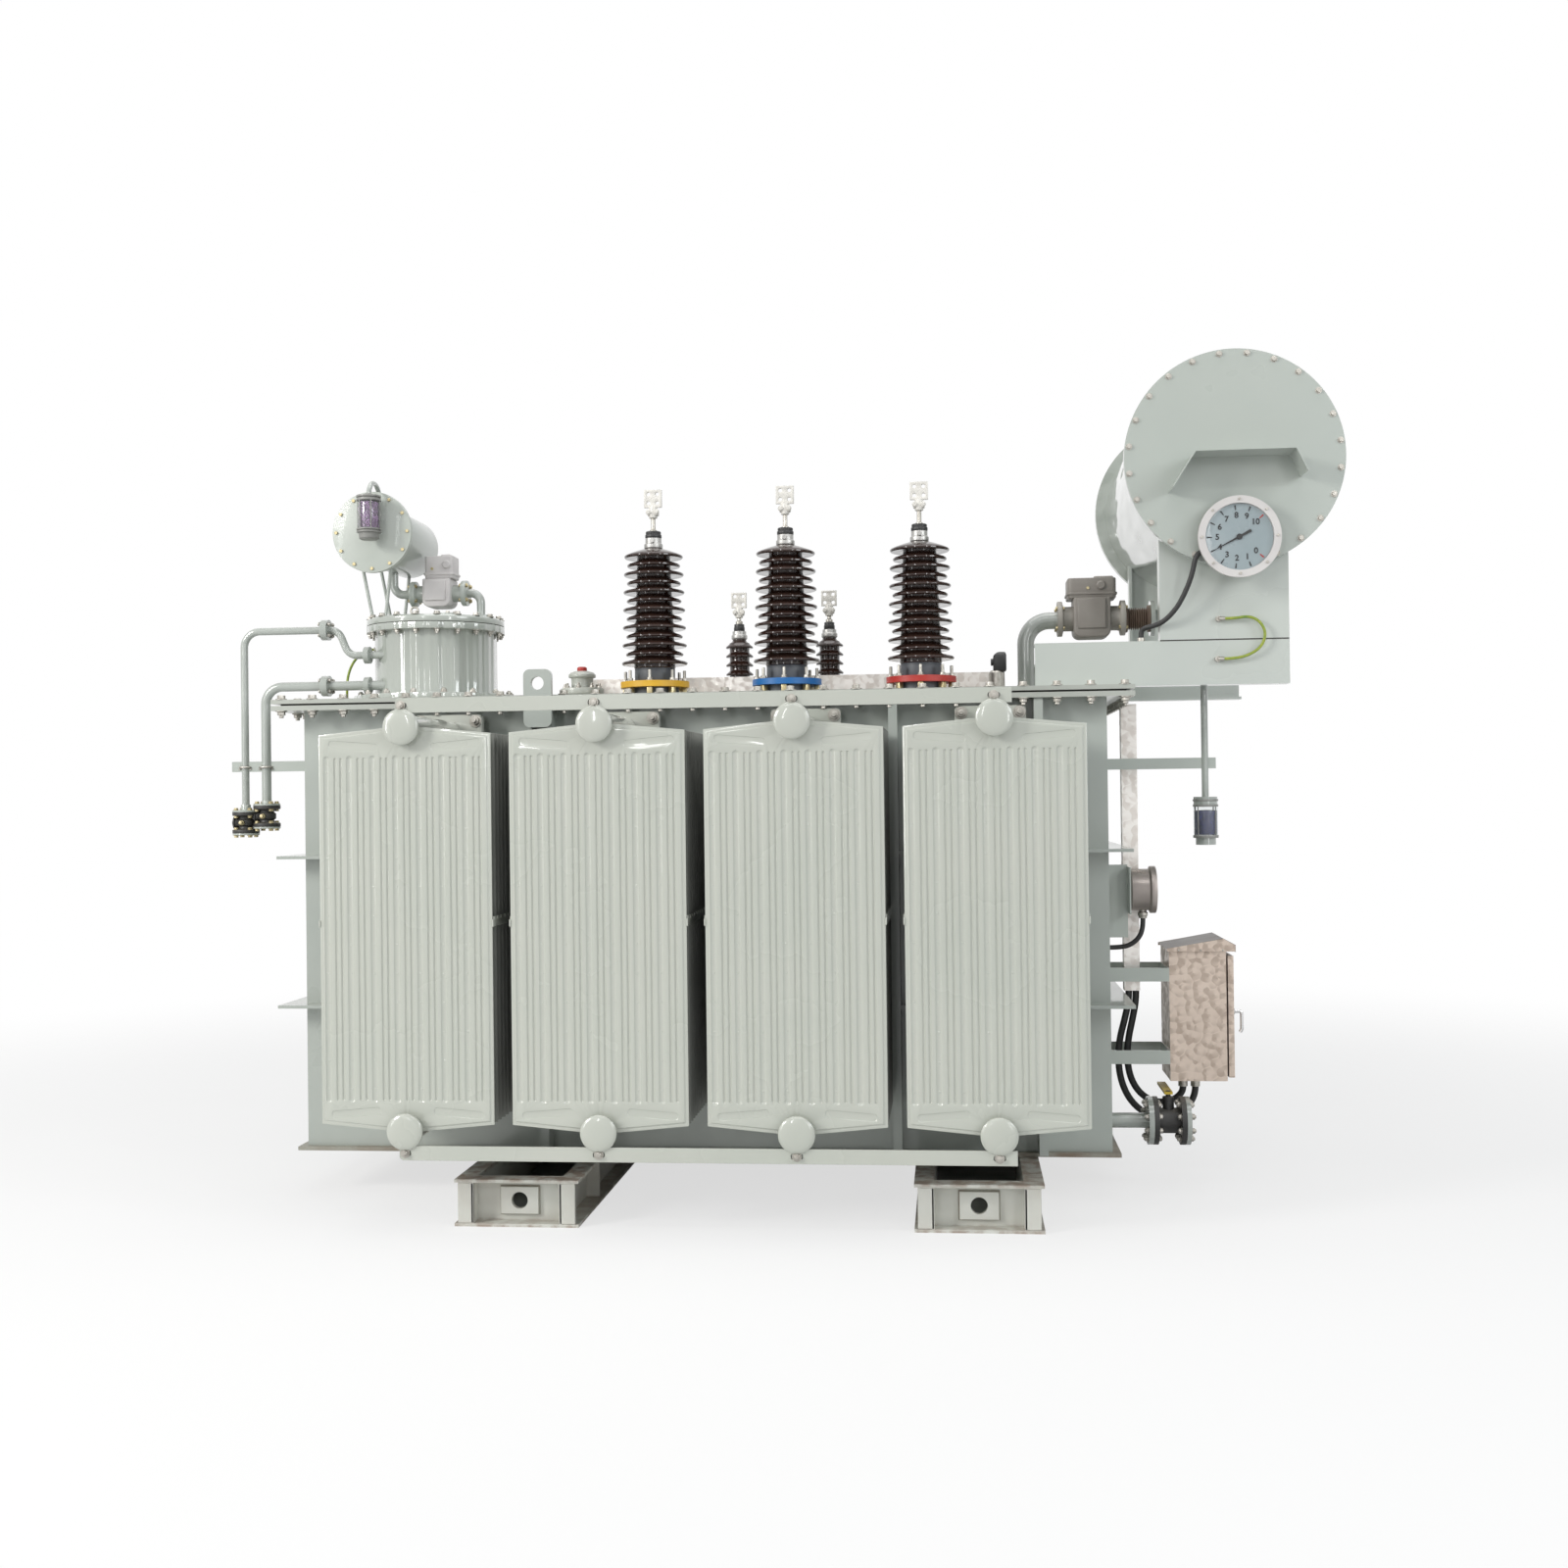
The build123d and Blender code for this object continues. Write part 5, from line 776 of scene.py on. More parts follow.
lay_cord("gauge_cord", [
    (1431.9, -547, 2010.0), (1416.8, -547, 2004.5), (1407, -546, 1984), (1400, -541, 1944),
    (1384, -530, 1897), (1357, -514, 1842), (1317, -494, 1800), (1283, -472, 1789),
    (1261, -454, 1786), (1252, -446, 1775), (1252, -446, 1756)],
    8.0, CABLE, "gauge_cable")
lay_cord("thermometer_cord", [
    (1262, -300, 865), (1262, -300, 834), (1249, -299, 800), (1219, -294, 776), (1183, -285, 769),
    (1150, -285, 769)],
    8.0, CABLE, "thermometer_cable")
lay_cord("cabinet_cord_outer", [
    (1224, -200, 622), (1224, -200, 588), (1211, -193, 528), (1193, -181, 455), (1189, -172, 388),
    (1197, -165, 322), (1221, -160, 262), (1261, -157, 218), (1309, -156, 196), (1359, -157, 197),
    (1401, -160, 219), (1429, -164, 254), (1439, -167, 286), (1439, -167, 302)],
    11.0, CABLE, "cabinet_cable_outer")
lay_cord("cabinet_cord_inner", [
    (1247, -200, 622), (1247, -200, 588), (1236, -193, 528), (1221, -183, 455), (1218, -174, 390),
    (1228, -167, 330), (1254, -162, 282), (1293, -159, 252), (1337, -159, 246), (1371, -161, 257),
    (1391, -164, 274), (1399, -167, 291), (1399, -167, 302)],
    11.0, CABLE, "cabinet_cable_inner")
lay_cord("conservator_bond_wire", [
    (1505, -484, 1808), (1537, -484, 1808), (1578, -487, 1814), (1611, -489, 1797), (1628, -490, 1763),
    (1619, -489, 1724), (1589, -488, 1698), (1543, -484, 1683), (1501, -484, 1683)],
    4.5, BOND, "conservator_bond")
lay_cord("head_bond_wire", [
    (-1388, 0, 1813), (-1418, 0, 1813), (-1450, -10, 1786), (-1472, -15, 1750), (-1483, -18, 1708),
    (-1484, -20, 1664), (-1484, -20, 1618)],
    4.5, BOND, "head_bond")


# Radiators. One plate is two pressed sheets welded round a thin lip, and its outer face is fluted:
# wide weld channels with two narrow grooves beside each. It is pressed once, then copied.
RADIATOR_X = (-949.5, -374.5, 200.5, 775.5)
PLATE_WIDTH = 520.0
CORNER_LOW = 322.0
CORNER_HIGH = 1469.0
PEAK = 25.0
LIP_HALF = 1.6
PLATE_HALF = 5.0
OUTER_Y = -1000.0
PLATE_PITCH = 40.0
PLATE_COUNT = 11
FLUTE_PITCH = 70.0
FLUTE_LOW = 384.0
FLUTE_HIGH = 1407.0
FLUTE_COUNT = 7
FIRST_FLUTE = -236.25
FIRST_GROOVE = -210.0
GROOVE_GAP = 17.5
FLUTE_DEPTH = 4.2
POCKET_X = 155.0
POCKET_HALF = 78.0
POCKET_TALL = 13.0


def blank_plate(name):
    """A thin lip of the plate's outline with a thicker body raised on both faces."""
    plate = start_box(
        name, (-PLATE_WIDTH / 2, -LIP_HALF, CORNER_LOW), (PLATE_WIDTH / 2, LIP_HALF, CORNER_HIGH))
    edit(plate)
    bpy.ops.mesh.bisect(plane_co=(0, 0, 1), plane_no=(1, 0, 0))
    leave_edit()
    pick_edges(plate, lambda a, b: abs(a.x) < 1 and abs(b.x) < 1 and a.z > 1400 and b.z > 1400)
    bpy.ops.transform.translate(value=(0, 0, PEAK * MM))
    leave_edit()
    pick_edges(plate, lambda a, b: abs(a.x) < 1 and abs(b.x) < 1 and a.z < 400 and b.z < 400)
    bpy.ops.transform.translate(value=(0, 0, -PEAK * MM))
    leave_edit()
    for side in (-1, 1):
        pick_faces(plate, lambda centre, normal: normal.y * side > 0.9)
        bpy.ops.mesh.inset(thickness=0.009, depth=0.0)
        bpy.ops.mesh.inset(thickness=0.004, depth=(PLATE_HALF - LIP_HALF) * MM)
        leave_edit()
    return plate


def channel(name, x, half_width, depth, low, high):
    """The shape that presses one round-ended channel into a face that looks towards -Y."""
    radius = (half_width * half_width + depth * depth) / (2 * depth)
    clear_selection()
    bpy.ops.mesh.primitive_uv_sphere_add(
        segments=48, ring_count=32, radius=radius * MM, rotation=(pi / 2, 0, 0))
    tool = bpy.context.object
    tool.name = name
    freeze(tool)
    edit(tool)
    bpy.ops.mesh.bisect(plane_co=(0, 0, 0), plane_no=(0, 0, 1))
    leave_edit()
    keep = radius - depth - 1.0
    edit(tool)
    bpy.ops.mesh.bisect(plane_co=(0, keep * MM, 0), plane_no=(0, 1, 0), use_fill=True, clear_inner=True)
    leave_edit()
    edit(tool, "DESELECT")
    bpy.ops.mesh.select_mode(type="VERT")
    leave_edit()
    for point in tool.data.vertices:
        point.select = point.co.z > 0.00001
    bpy.ops.object.mode_set(mode="EDIT")
    bpy.ops.transform.translate(value=(0, 0, (high - low - 2 * half_width) * MM))
    leave_edit()
    tool.location = Vector((x, -PLATE_HALF - radius + depth, low + half_width)) * MM
    freeze(tool)
    return tool


plate = blank_plate("radiator_plates_outer")
inner_plate = copy_of(plate, "radiator_plates_inner")
round_edges(inner_plate, 1.4, 2)
smooth(inner_plate, 30)

wide = channel("wide channel", FIRST_FLUTE, 10.0, FLUTE_DEPTH, FLUTE_LOW, FLUTE_HIGH)
row(wide, FLUTE_COUNT, (FLUTE_PITCH, 0, 0))
narrow = channel("narrow groove", FIRST_GROOVE, 4.4, 3.2, FLUTE_LOW + 6, FLUTE_HIGH - 6)
edit(narrow)
bpy.ops.mesh.duplicate_move(TRANSFORM_OT_translate={"value": (GROOVE_GAP * MM, 0, 0)})
leave_edit()
row(narrow, FLUTE_COUNT, (FLUTE_PITCH, 0, 0))
cut(plate, wide)
cut(plate, narrow)

# Shallow pockets pressed in the flat bands beside the headers, above and below.
for side in (-1, 1):
    for end, level in ((1, 1436.0), (-1, 355.0)):
        pocket = start_box(
            "pocket", (side * POCKET_X - POCKET_HALF, -8, level - POCKET_TALL),
            (side * POCKET_X + POCKET_HALF, -PLATE_HALF + 1.6, level + POCKET_TALL))
        edit(pocket)
        bpy.ops.transform.rotate(
            value=side * end * atan2(PEAK, PLATE_WIDTH / 2), orient_axis="Y", orient_type="GLOBAL",
            center_override=Vector((side * POCKET_X, 0, level)) * MM)
        leave_edit()
        pick_edges(pocket, lambda a, b: abs(a.y - b.y) > 1)
        bpy.ops.mesh.bevel(offset=0.010, segments=4)
        leave_edit()
        pick_faces(pocket, lambda c, n: n.y > 0.9)
        bpy.ops.transform.resize(value=(0.94, 1, 0.8))
        leave_edit()
        cut(plate, pocket)
round_edges(plate, 1.0, 2, 22)
smooth(plate, 30)

# Spot welds: one low button in the bottom of a wide channel, copied down it and across the plate.
weld = turned("weld", [(0, 0.9), (2.4, 0.7), (4.0, 0.0), (0, 0.0)], axis="Z", steps=8)
weld.rotation_euler = (pi / 2, 0, 0)
weld.location = Vector((FIRST_FLUTE, -PLATE_HALF + FLUTE_DEPTH, FLUTE_LOW + 40)) * MM
freeze(weld)
row(weld, 12, (0, 0, 85.0))
row(weld, FLUTE_COUNT, (FLUTE_PITCH, 0, 0))
plate = joined("radiator_plates_outer", [plate, weld])

plate.location = (0, OUTER_Y * MM, 0)
freeze(plate)
inner_plate.location = (0, (OUTER_Y + PLATE_PITCH) * MM, 0)
freeze(inner_plate)
row(inner_plate, PLATE_COUNT - 1, (0, PLATE_PITCH, 0))


def stand(piece, name):
    """Copies a plate or a stack of plates to the four radiators of the front and the four of the back."""
    front = [copy_of(piece, name, (x, 0, 0)) for x in RADIATOR_X]
    back = [copy_of(other, name, turn=pi, about=(x, 0, 0)) for other, x in zip(front, RADIATOR_X)]
    bpy.data.objects.remove(piece)
    return joined(name + "_front", front), joined(name + "_back", back)


outer_front, outer_back = stand(plate, "radiator_plates_outer")
inner_front, inner_back = stand(inner_plate, "radiator_plates_inner")
done(outer_front, RADIATOR, hides=["radiator_plates_front"])
done(outer_back, RADIATOR, hides=["radiator_plates_back"])
# The inner plates carry painted shade.
done(inner_front, INNER_PLATES_SHADE)
done(inner_back, INNER_PLATES_SHADE)


# Fixings: a nut on a washer with the end of its stud, and a bolt head, both standing on a face along an axis.

def fixing(name, size, place, axis, stud=0.0, washer=True):
    """One hexagon with its washer and stud end; size is the hexagon's width over its corners."""
    parts = []
    base = 0.0
    if washer:
        ring_piece = turned(
            "washer", [(0, 0), (size * 0.68, 0), (size * 0.68, size * 0.12), (0, size * 0.12)], steps=14)
        round_edges(ring_piece, size * 0.03, 1)
        parts.append(ring_piece)
        base = size * 0.12
    head = start_disc("head", (0, 0, base + size * 0.21), size * 0.5, size * 0.42, sides=6)
    round_edges(head, size * 0.045, 1)
    parts.append(head)
    if stud:
        end = start_disc("stud", (0, 0, base + stud / 2), size * 0.27, stud, sides=12)
        round_edges(end, size * 0.05, 1)
        parts.append(end)
    whole = joined(name, parts)
    turns = {
        "X": (0, pi / 2, 0), "-X": (0, -pi / 2, 0), "Y": (-pi / 2, 0, 0), "-Y": (pi / 2, 0, 0),
        "Z": (0, 0, 0), "-Z": (pi, 0, 0)}
    whole.rotation_euler = turns[axis]
    whole.location = Vector(place) * MM
    freeze(whole)
    smooth(whole, 30)
    return whole


# High-voltage bushings: porcelain of large and small sheds in turn under a domed top shed.
HV_X = (-332.0, 113.0, 558.0)
HV_Y = -250.0
COVER_TOP = 1604.0
FOOT_TOP = 1640.0
RING_TOP = 1660.0


def in_turn(piece, places, name):
    """Copies a piece from the origin to each place and joins the copies."""
    copies = [copy_of(piece, name, place) for place in places]
    bpy.data.objects.remove(piece)
    return joined(name, copies)


HV_PLACES = [(x, HV_Y, 0) for x in HV_X]
outline = [(0, FOOT_TOP), (66, FOOT_TOP), (66, 1704), (70, 1708)]
shed_count = 13
for index in range(shed_count):
    share = index / (shed_count - 1)
    shed_z = 1723.0 + 29.75 * index
    core = 68.0 - 13.0 * share
    large = 110.0 - 12.0 * share
    small = 97.0 - 9.0 * share
    reach = large if index % 2 == 0 else small
    outline += [
        (core, shed_z - 4), (reach - 14, shed_z - 6), (reach - 3, shed_z - 6.5), (reach, shed_z - 3)]
    if index < shed_count - 1:
        outline += [
            (reach, shed_z + 1), (reach - 3, shed_z + 4), (core + 8, shed_z + 11), (core, shed_z + 16)]
    else:
        outline += [
            (reach, shed_z + 1), (reach - 3, shed_z + 4), (84, shed_z + 9), (60, shed_z + 18),
            (40, shed_z + 24), (32, shed_z + 27), (0, shed_z + 27)]
porcelain = turned("hv_porcelain_turned", outline, steps=44, rounding=1.2, angle=50)
smooth(porcelain, 60)
hv_bodies = in_turn(porcelain, HV_PLACES, "hv_porcelain_turned")
done(hv_bodies, PORCELAIN, hides=["hv_porcelain"])

neck = turned(
    "hv_neck_sleeves", [(66.4, RING_TOP), (67.4, RING_TOP), (67.4, 1706), (66.4, 1706)], steps=44,
    rounding=0.3)
done(in_turn(neck, HV_PLACES, "hv_neck_sleeves"), SLATE)

cap = turned(
    "hv_caps", [(0, 2106), (27, 2106), (31, 2109), (31, 2122), (27, 2125), (27, 2142), (0, 2142)],
    steps=36, rounding=1.2)
cap_bolt = fixing("cap bolt", 17, (0, -27, 2131), "-Y", washer=False)
cap = joined("hv_caps", [cap, cap_bolt])
done(in_turn(cap, HV_PLACES, "hv_caps"), TINNED, hides=["hv_terminals"])

nut = turned(
    "hv_cap_nuts", [(8, 2142), (26.5, 2142), (26.5, 2155), (24.5, 2156), (24.5, 2165), (8, 2165)],
    steps=24, rounding=1.0)
pick_faces(nut, lambda c, n: abs(n.z) < 0.2 and (c.x * c.x + c.y * c.y) > 400)
bpy.ops.mesh.inset(thickness=0.0012, depth=0.0012, use_individual=True)
leave_edit()
done(in_turn(nut, HV_PLACES, "hv_cap_nuts"), BLACK)

rod = turned(
    "hv_rods", [(0, 2160), (12, 2160), (12, 2170), (7.5, 2172), (7.5, 2214), (0, 2214)], steps=20,
    rounding=0.8)
done(in_turn(rod, HV_PLACES, "hv_rods"), ZINC)


def terminal_pad(name, pad_bottom, pad_top, pad_width, hole, pitch):
    """A flat pad with four holes on a split clamp with its two bolts."""
    pad = start_box(name, (-pad_width / 2, -5, pad_bottom), (pad_width / 2, 5, pad_top))
    middle = (pad_bottom + pad_top) / 2
    tool = start_disc("hole", (-pitch / 2, 0, middle - pitch / 2), hole, 30, "Y", 20)
    row(tool, 2, (pitch, 0, 0))
    row(tool, 2, (0, 0, pitch))
    cut(pad, tool)
    round_edges(pad, 1.2, 2)
    clamp = turned(
        "clamp", [(7.6, pad_bottom - 36), (14, pad_bottom - 36), (14, pad_bottom + 2),
        (7.6, pad_bottom + 2)], steps=24, rounding=1.5)
    ear = start_box("ear", (-19, -13, pad_bottom - 28), (19, 13, pad_bottom - 6))
    round_edges(ear, 4, 2)
    bolt = fixing("clamp bolt", 13, (-14, -13, pad_bottom - 17), "-Y")
    row(bolt, 2, (28, 0, 0))
    whole = joined(name, [pad, clamp, ear, bolt])
    smooth(whole, 30)
    return whole


hv_pad = terminal_pad("hv_pads", 2246.0, 2306.0, 60.0, 6.5, 30.0)
done(in_turn(hv_pad, HV_PLACES, "hv_pads"), PALE_PAD)

# Eight studs hold each ring down, with clamps that reach from the ring to the cover.
stud = fixing("hv_ring_studs", 19, (100, 0, RING_TOP), "Z", stud=34)
ring(stud, 8, (0, 0, 0), (0, 0, 1))
done(in_turn(stud, HV_PLACES, "hv_ring_studs"), ZINC)
claw = start_box("hv_ring_claws", (88, -9, COVER_TOP), (108, 9, FOOT_TOP))
pick_faces(claw, lambda c, n: n.x < -0.9)
bpy.ops.mesh.inset(thickness=0.004, depth=0)
bpy.ops.transform.translate(value=(0.006, 0, 0))
leave_edit()
round_edges(claw, 2.5, 2)
smooth(claw)
ring(claw, 8, (0, 0, 0), (0, 0, 1))
done(in_turn(claw, HV_PLACES, "hv_ring_claws"), BRASS)

# Low-voltage bushings stand behind, with four sheds each.
LV_X = (-112.0, 218.0, 548.0)
LV_Y = 280.0
LV_PLACES = [(x, LV_Y, 0) for x in LV_X]
outline = [(0, FOOT_TOP), (37, FOOT_TOP), (37, 1706)]
for index in range(4):
    shed_z = 1720.0 + 33.0 * index
    outline += [
        (36, shed_z - 5), (48, shed_z - 6), (50, shed_z - 3), (49, shed_z + 1), (38, shed_z + 10),
        (36, shed_z + 14)]
outline += [(30, 1836), (25, 1842), (25, 1850), (0, 1850)]
porcelain = turned("lv_porcelain_turned", outline, steps=36, rounding=1.0, angle=50)
smooth(porcelain, 60)
done(
    in_turn(porcelain, LV_PLACES, "lv_porcelain_turned"), PORCELAIN,
    hides=["lv_porcelain"])
cap = turned(
    "lv_caps", [(0, 1846), (25, 1846), (29, 1849), (29, 1861), (25, 1864), (25, 1876), (0, 1876)],
    steps=30, rounding=1.0)
done(in_turn(cap, LV_PLACES, "lv_caps"), TINNED, hides=["lv_terminals"])
nut = turned(
    "lv_cap_nuts", [(8, 1876), (20, 1876), (20, 1890), (18.5, 1892), (18.5, 1902), (8, 1902)], steps=20,
    rounding=0.8)
done(in_turn(nut, LV_PLACES, "lv_cap_nuts"), BLACK)
rod = turned(
    "lv_rods", [(0, 1900), (13, 1900), (13, 1912), (7.5, 1915), (7.5, 1932), (0, 1932)], steps=18,
    rounding=0.7)
done(in_turn(rod, LV_PLACES, "lv_rods"), ZINC)
lv_pad = terminal_pad("lv_pads", 1962.0, 2018.0, 56.0, 6.5, 30.0)
done(in_turn(lv_pad, LV_PLACES, "lv_pads"), PALE_PAD)


# Tank: the cover is bolted to the rim all round, with a nut above and a nut below at each bolt.
RIM_LOW = 1568.0
RIM_BOLT = 27.0
LONG_COUNT = 27
LONG_STEP = 2690.0 / (LONG_COUNT - 1)
LONG_FIRST = -1502.0
SHORT_COUNT = 11
SHORT_STEP = 78.0
SHORT_FIRST = -390.0
rim_bolts = []
for level, axis, end in ((COVER_TOP, "Z", 0.0), (RIM_LOW, "-Z", 20.0)):
    for y in (-566.0, 566.0):
        bolt = fixing("rim bolt", RIM_BOLT, (LONG_FIRST, y, level), axis, stud=end)
        row(bolt, LONG_COUNT, (LONG_STEP, 0, 0))
        rim_bolts.append(bolt)
    for x in (-1518.0, 1204.0):
        bolt = fixing("rim bolt", RIM_BOLT, (x, SHORT_FIRST, level), axis, stud=end)
        row(bolt, SHORT_COUNT, (0, SHORT_STEP, 0))
        rim_bolts.append(bolt)
done(joined("rim_bolts", rim_bolts), ZINC)

# Radiator headers: a tube from its cap to the tank wall, a pair of plate flanges with four bolts, a lug for
# the tie bar, and comb strips over the plate edges. One set is modelled, then copied to each radiator.
LOW_HEADER = 305.0
HIGH_HEADER = 1489.0
HEADERS = ((LOW_HEADER, -1), (HIGH_HEADER, 1))
HEADER_RADIUS = 38.0
HEADER_END = -1034.0
WALL_Y = -500.0
FLANGE_HALF_WIDTH = 110.0
FLANGE_HALF_HEIGHT = 57.0
FLANGE_FACE = -564.0
FLANGE_BOLT_X = 90.0
FLANGE_BOLT_Z = 36.0
TIE_FRONT = -1030.0
TIE_BACK = -1022.0
LUG_BACK = -1014.0
COMB_X = 262.0
parts = []
bolts = []
for z, side in HEADERS:
    outline = [(0, HEADER_END), (HEADER_RADIUS, HEADER_END), (HEADER_RADIUS, WALL_Y), (0, WALL_Y)]
    parts.append(turned("header", outline, (0, 0, z), axis="Y", steps=40))
    for near, far in ((FLANGE_FACE, -551), (-549, -536)):
        flange = start_box(
            "flange", (-FLANGE_HALF_WIDTH, near, z - FLANGE_HALF_HEIGHT),
            (FLANGE_HALF_WIDTH, far, z + FLANGE_HALF_HEIGHT))
        pick_edges(flange, lambda a, b: abs(a.y - b.y) > 1)
        bpy.ops.mesh.bevel(offset=0.012, segments=3)
        leave_edit()
        round_edges(flange, 1.5, 1)
        parts.append(flange)
    root = z + side * 20
    tip = z + side * 84
    lug = start_box("lug", (-20, TIE_BACK, min(root, tip)), (20, LUG_BACK, max(root, tip)))
    pick_edges(lug, lambda a, b: abs(a.y - b.y) > 1)
    bpy.ops.mesh.bevel(offset=0.010, segments=3)
    leave_edit()
    round_edges(lug, 1.0, 1)
    parts.append(lug)
    bolt = fixing("flange bolt", 30, (-FLANGE_BOLT_X, FLANGE_FACE, z - FLANGE_BOLT_Z), "-Y", stud=24)
    row(bolt, 2, (2 * FLANGE_BOLT_X, 0, 0))
    row(bolt, 2, (0, 0, 2 * FLANGE_BOLT_Z))
    bolts.append(bolt)
for side in (-1, 1):
    comb_x = side * COMB_X
    comb = start_box("comb", (comb_x - 2, -1005, 901), (comb_x + 2, -595, 931))
    notch = start_box("notch", (comb_x - 9, -1006, 922), (comb_x + 9, -994, 940))
    row(notch, PLATE_COUNT, (0, PLATE_PITCH, 0))
    cut(comb, notch)
    round_edges(comb, 0.6, 1)
    parts.append(comb)
header_set = joined("radiator_headers", parts)
smooth(header_set, 32)
bolt_set = joined("header_bolts", bolts)
headers_front, headers_back = stand(header_set, "radiator_headers_welded")
bolts_front, bolts_back = stand(bolt_set, "header_flange_bolts")
done(headers_front, RADIATOR, hides=["radiator_headers_front"])
done(headers_back, RADIATOR, hides=["radiator_headers_back"])
done(bolts_front, ZINC)
done(bolts_back, ZINC)

# Tie bars: flat bars with a slot at each lug, and the bolt that holds it there.
TIE_LEFT = -959.5
TIE_RIGHT = 826.0
TIE_HEIGHT = 43.0
SLOT_HALF = 17.0
RADIATOR_STEP = RADIATOR_X[1] - RADIATOR_X[0]
bars = []
tie_bolts = []
for low in (221.0, 1530.0):
    bar = start_box("bar", (TIE_LEFT, TIE_FRONT, low), (TIE_RIGHT, TIE_BACK, low + TIE_HEIGHT))
    slot = start_box(
        "slot", (RADIATOR_X[0] - SLOT_HALF, TIE_FRONT - 10, low + 14),
        (RADIATOR_X[0] + SLOT_HALF, TIE_BACK + 12, low + 29))
    pick_edges(slot, lambda a, b: abs(a.y - b.y) > 1)
    bpy.ops.mesh.bevel(offset=0.006, segments=4)
    leave_edit()
    row(slot, len(RADIATOR_X), (RADIATOR_STEP, 0, 0))
    cut(bar, slot)
    round_edges(bar, 1.5, 2)
    bars.append(bar)
    bolt = fixing("tie bolt", 21, (RADIATOR_X[0], TIE_FRONT, low + TIE_HEIGHT / 2), "-Y", stud=12)
    row(bolt, len(RADIATOR_X), (RADIATOR_STEP, 0, 0))
    tie_bolts.append(bolt)
bars = joined("tie_bars", bars)
tie_bolts = joined("tie_bar_bolts", tie_bolts)
for front, paint, slot_name in ((bars, RADIATOR, "radiator_paint"), (tie_bolts, ZINC, "zinc_steel")):
    back = copy_of(front, front.name + "_back")
    edit(back)
    bpy.ops.transform.mirror(constraint_axis=(False, True, False), center_override=(0, 0, 0))
    leave_edit()
    tidy_mesh(back)
    done(front, paint)
    done(back, paint)
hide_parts("radiator_ties")

# Domed caps on the header ends, pressed from one blank.
cap = turned(
    "header_caps", [(0, 9.5), (26, 8.6), (42, 6.4), (50, 3.0), (53.5, 0.0), (53.5, -9.0), (50, -11.5),
    (40, -12)], steps=36, rounding=1.0, angle=30)
smooth(cap, 60)
cap.rotation_euler = (pi / 2, 0, 0)
freeze(cap)
CAP_SEAT = -1035.4
caps = []
for x in RADIATOR_X:
    for z in (LOW_HEADER, HIGH_HEADER):
        caps.append(copy_of(cap, "header cap", (x, CAP_SEAT, z)))
        caps.append(copy_of(cap, "header cap", (-x, CAP_SEAT, z), turn=0.0))
        edit(caps[-1])
        bpy.ops.transform.rotate(value=pi, orient_axis="Z", center_override=(0, 0, 0))
        leave_edit()
bpy.data.objects.remove(cap)
done(joined("header_caps", caps), RADIATOR)


# Tap changer head: its cover is bolted down through the flange, and the seat ring is studded to the tank.
HEAD_X = -1162.0
HEAD_PLACE = (HEAD_X, 0, 0)
LID_TOP = 1911.0
HATCH_X = -1097.0
HATCH_Y = -100.0
HATCH_PLACE = (HATCH_X, HATCH_Y, 0)
head_bolts = []
bolt = fixing("head bolt", 20, (HEAD_X + 227, 0, LID_TOP), "Z")
ring(bolt, 20, HEAD_PLACE, (0, 0, 1))
head_bolts.append(bolt)
bolt = fixing("head bolt", 20, (HEAD_X + 227, 0, 1862), "-Z", stud=15)
ring(bolt, 20, HEAD_PLACE, (0, 0, 1))
head_bolts.append(bolt)
bolt = fixing("seat bolt", 22, (HEAD_X + 262, 0, 1640), "Z", stud=14)
ring(bolt, 16, HEAD_PLACE, (0, 0, 1))
head_bolts.append(bolt)
hatch_bolt = fixing("hatch bolt", 14, (HATCH_X + 34, HATCH_Y, 1923), "Z", stud=5)
ring(hatch_bolt, 6, HATCH_PLACE, (0, 0, 1))
head_bolts.append(hatch_bolt)
done(joined("head_bolts", head_bolts), ZINC)


def lifting_eye(name, place, size):
    """A ring on a collar, standing on a face."""
    clear_selection()
    bpy.ops.mesh.primitive_torus_add(
        major_segments=28, minor_segments=10, major_radius=size * MM, minor_radius=size * 0.3 * MM,
        location=(0, 0, size * 1.45 * MM), rotation=(pi / 2, 0, 0))
    loop = bpy.context.object
    freeze(loop)
    collar = turned(
        "collar", [(0, 0), (size * 0.8, 0), (size * 0.8, size * 0.25), (size * 0.35, size * 0.4),
        (0, size * 0.4)], steps=20, rounding=size * 0.05)
    eye = joined(name, [loop, collar])
    eye.location = Vector(place) * MM
    freeze(eye)
    smooth(eye, 50)
    return eye


done(lifting_eye("head_eye", (-1191, -150, LID_TOP), 13), ZINC)

# Small conservator: brass bolts round its end flange.
SMALL_X = -1292.0
SMALL_Z = 2185.0
bolt = fixing("small disc bolt", 12, (SMALL_X + 124, -290, SMALL_Z), "-Y", washer=False)
ring(bolt, 12, (SMALL_X, 0, SMALL_Z), (0, 1, 0))
done(joined("small_disc_bolts", [bolt]), BRASS)

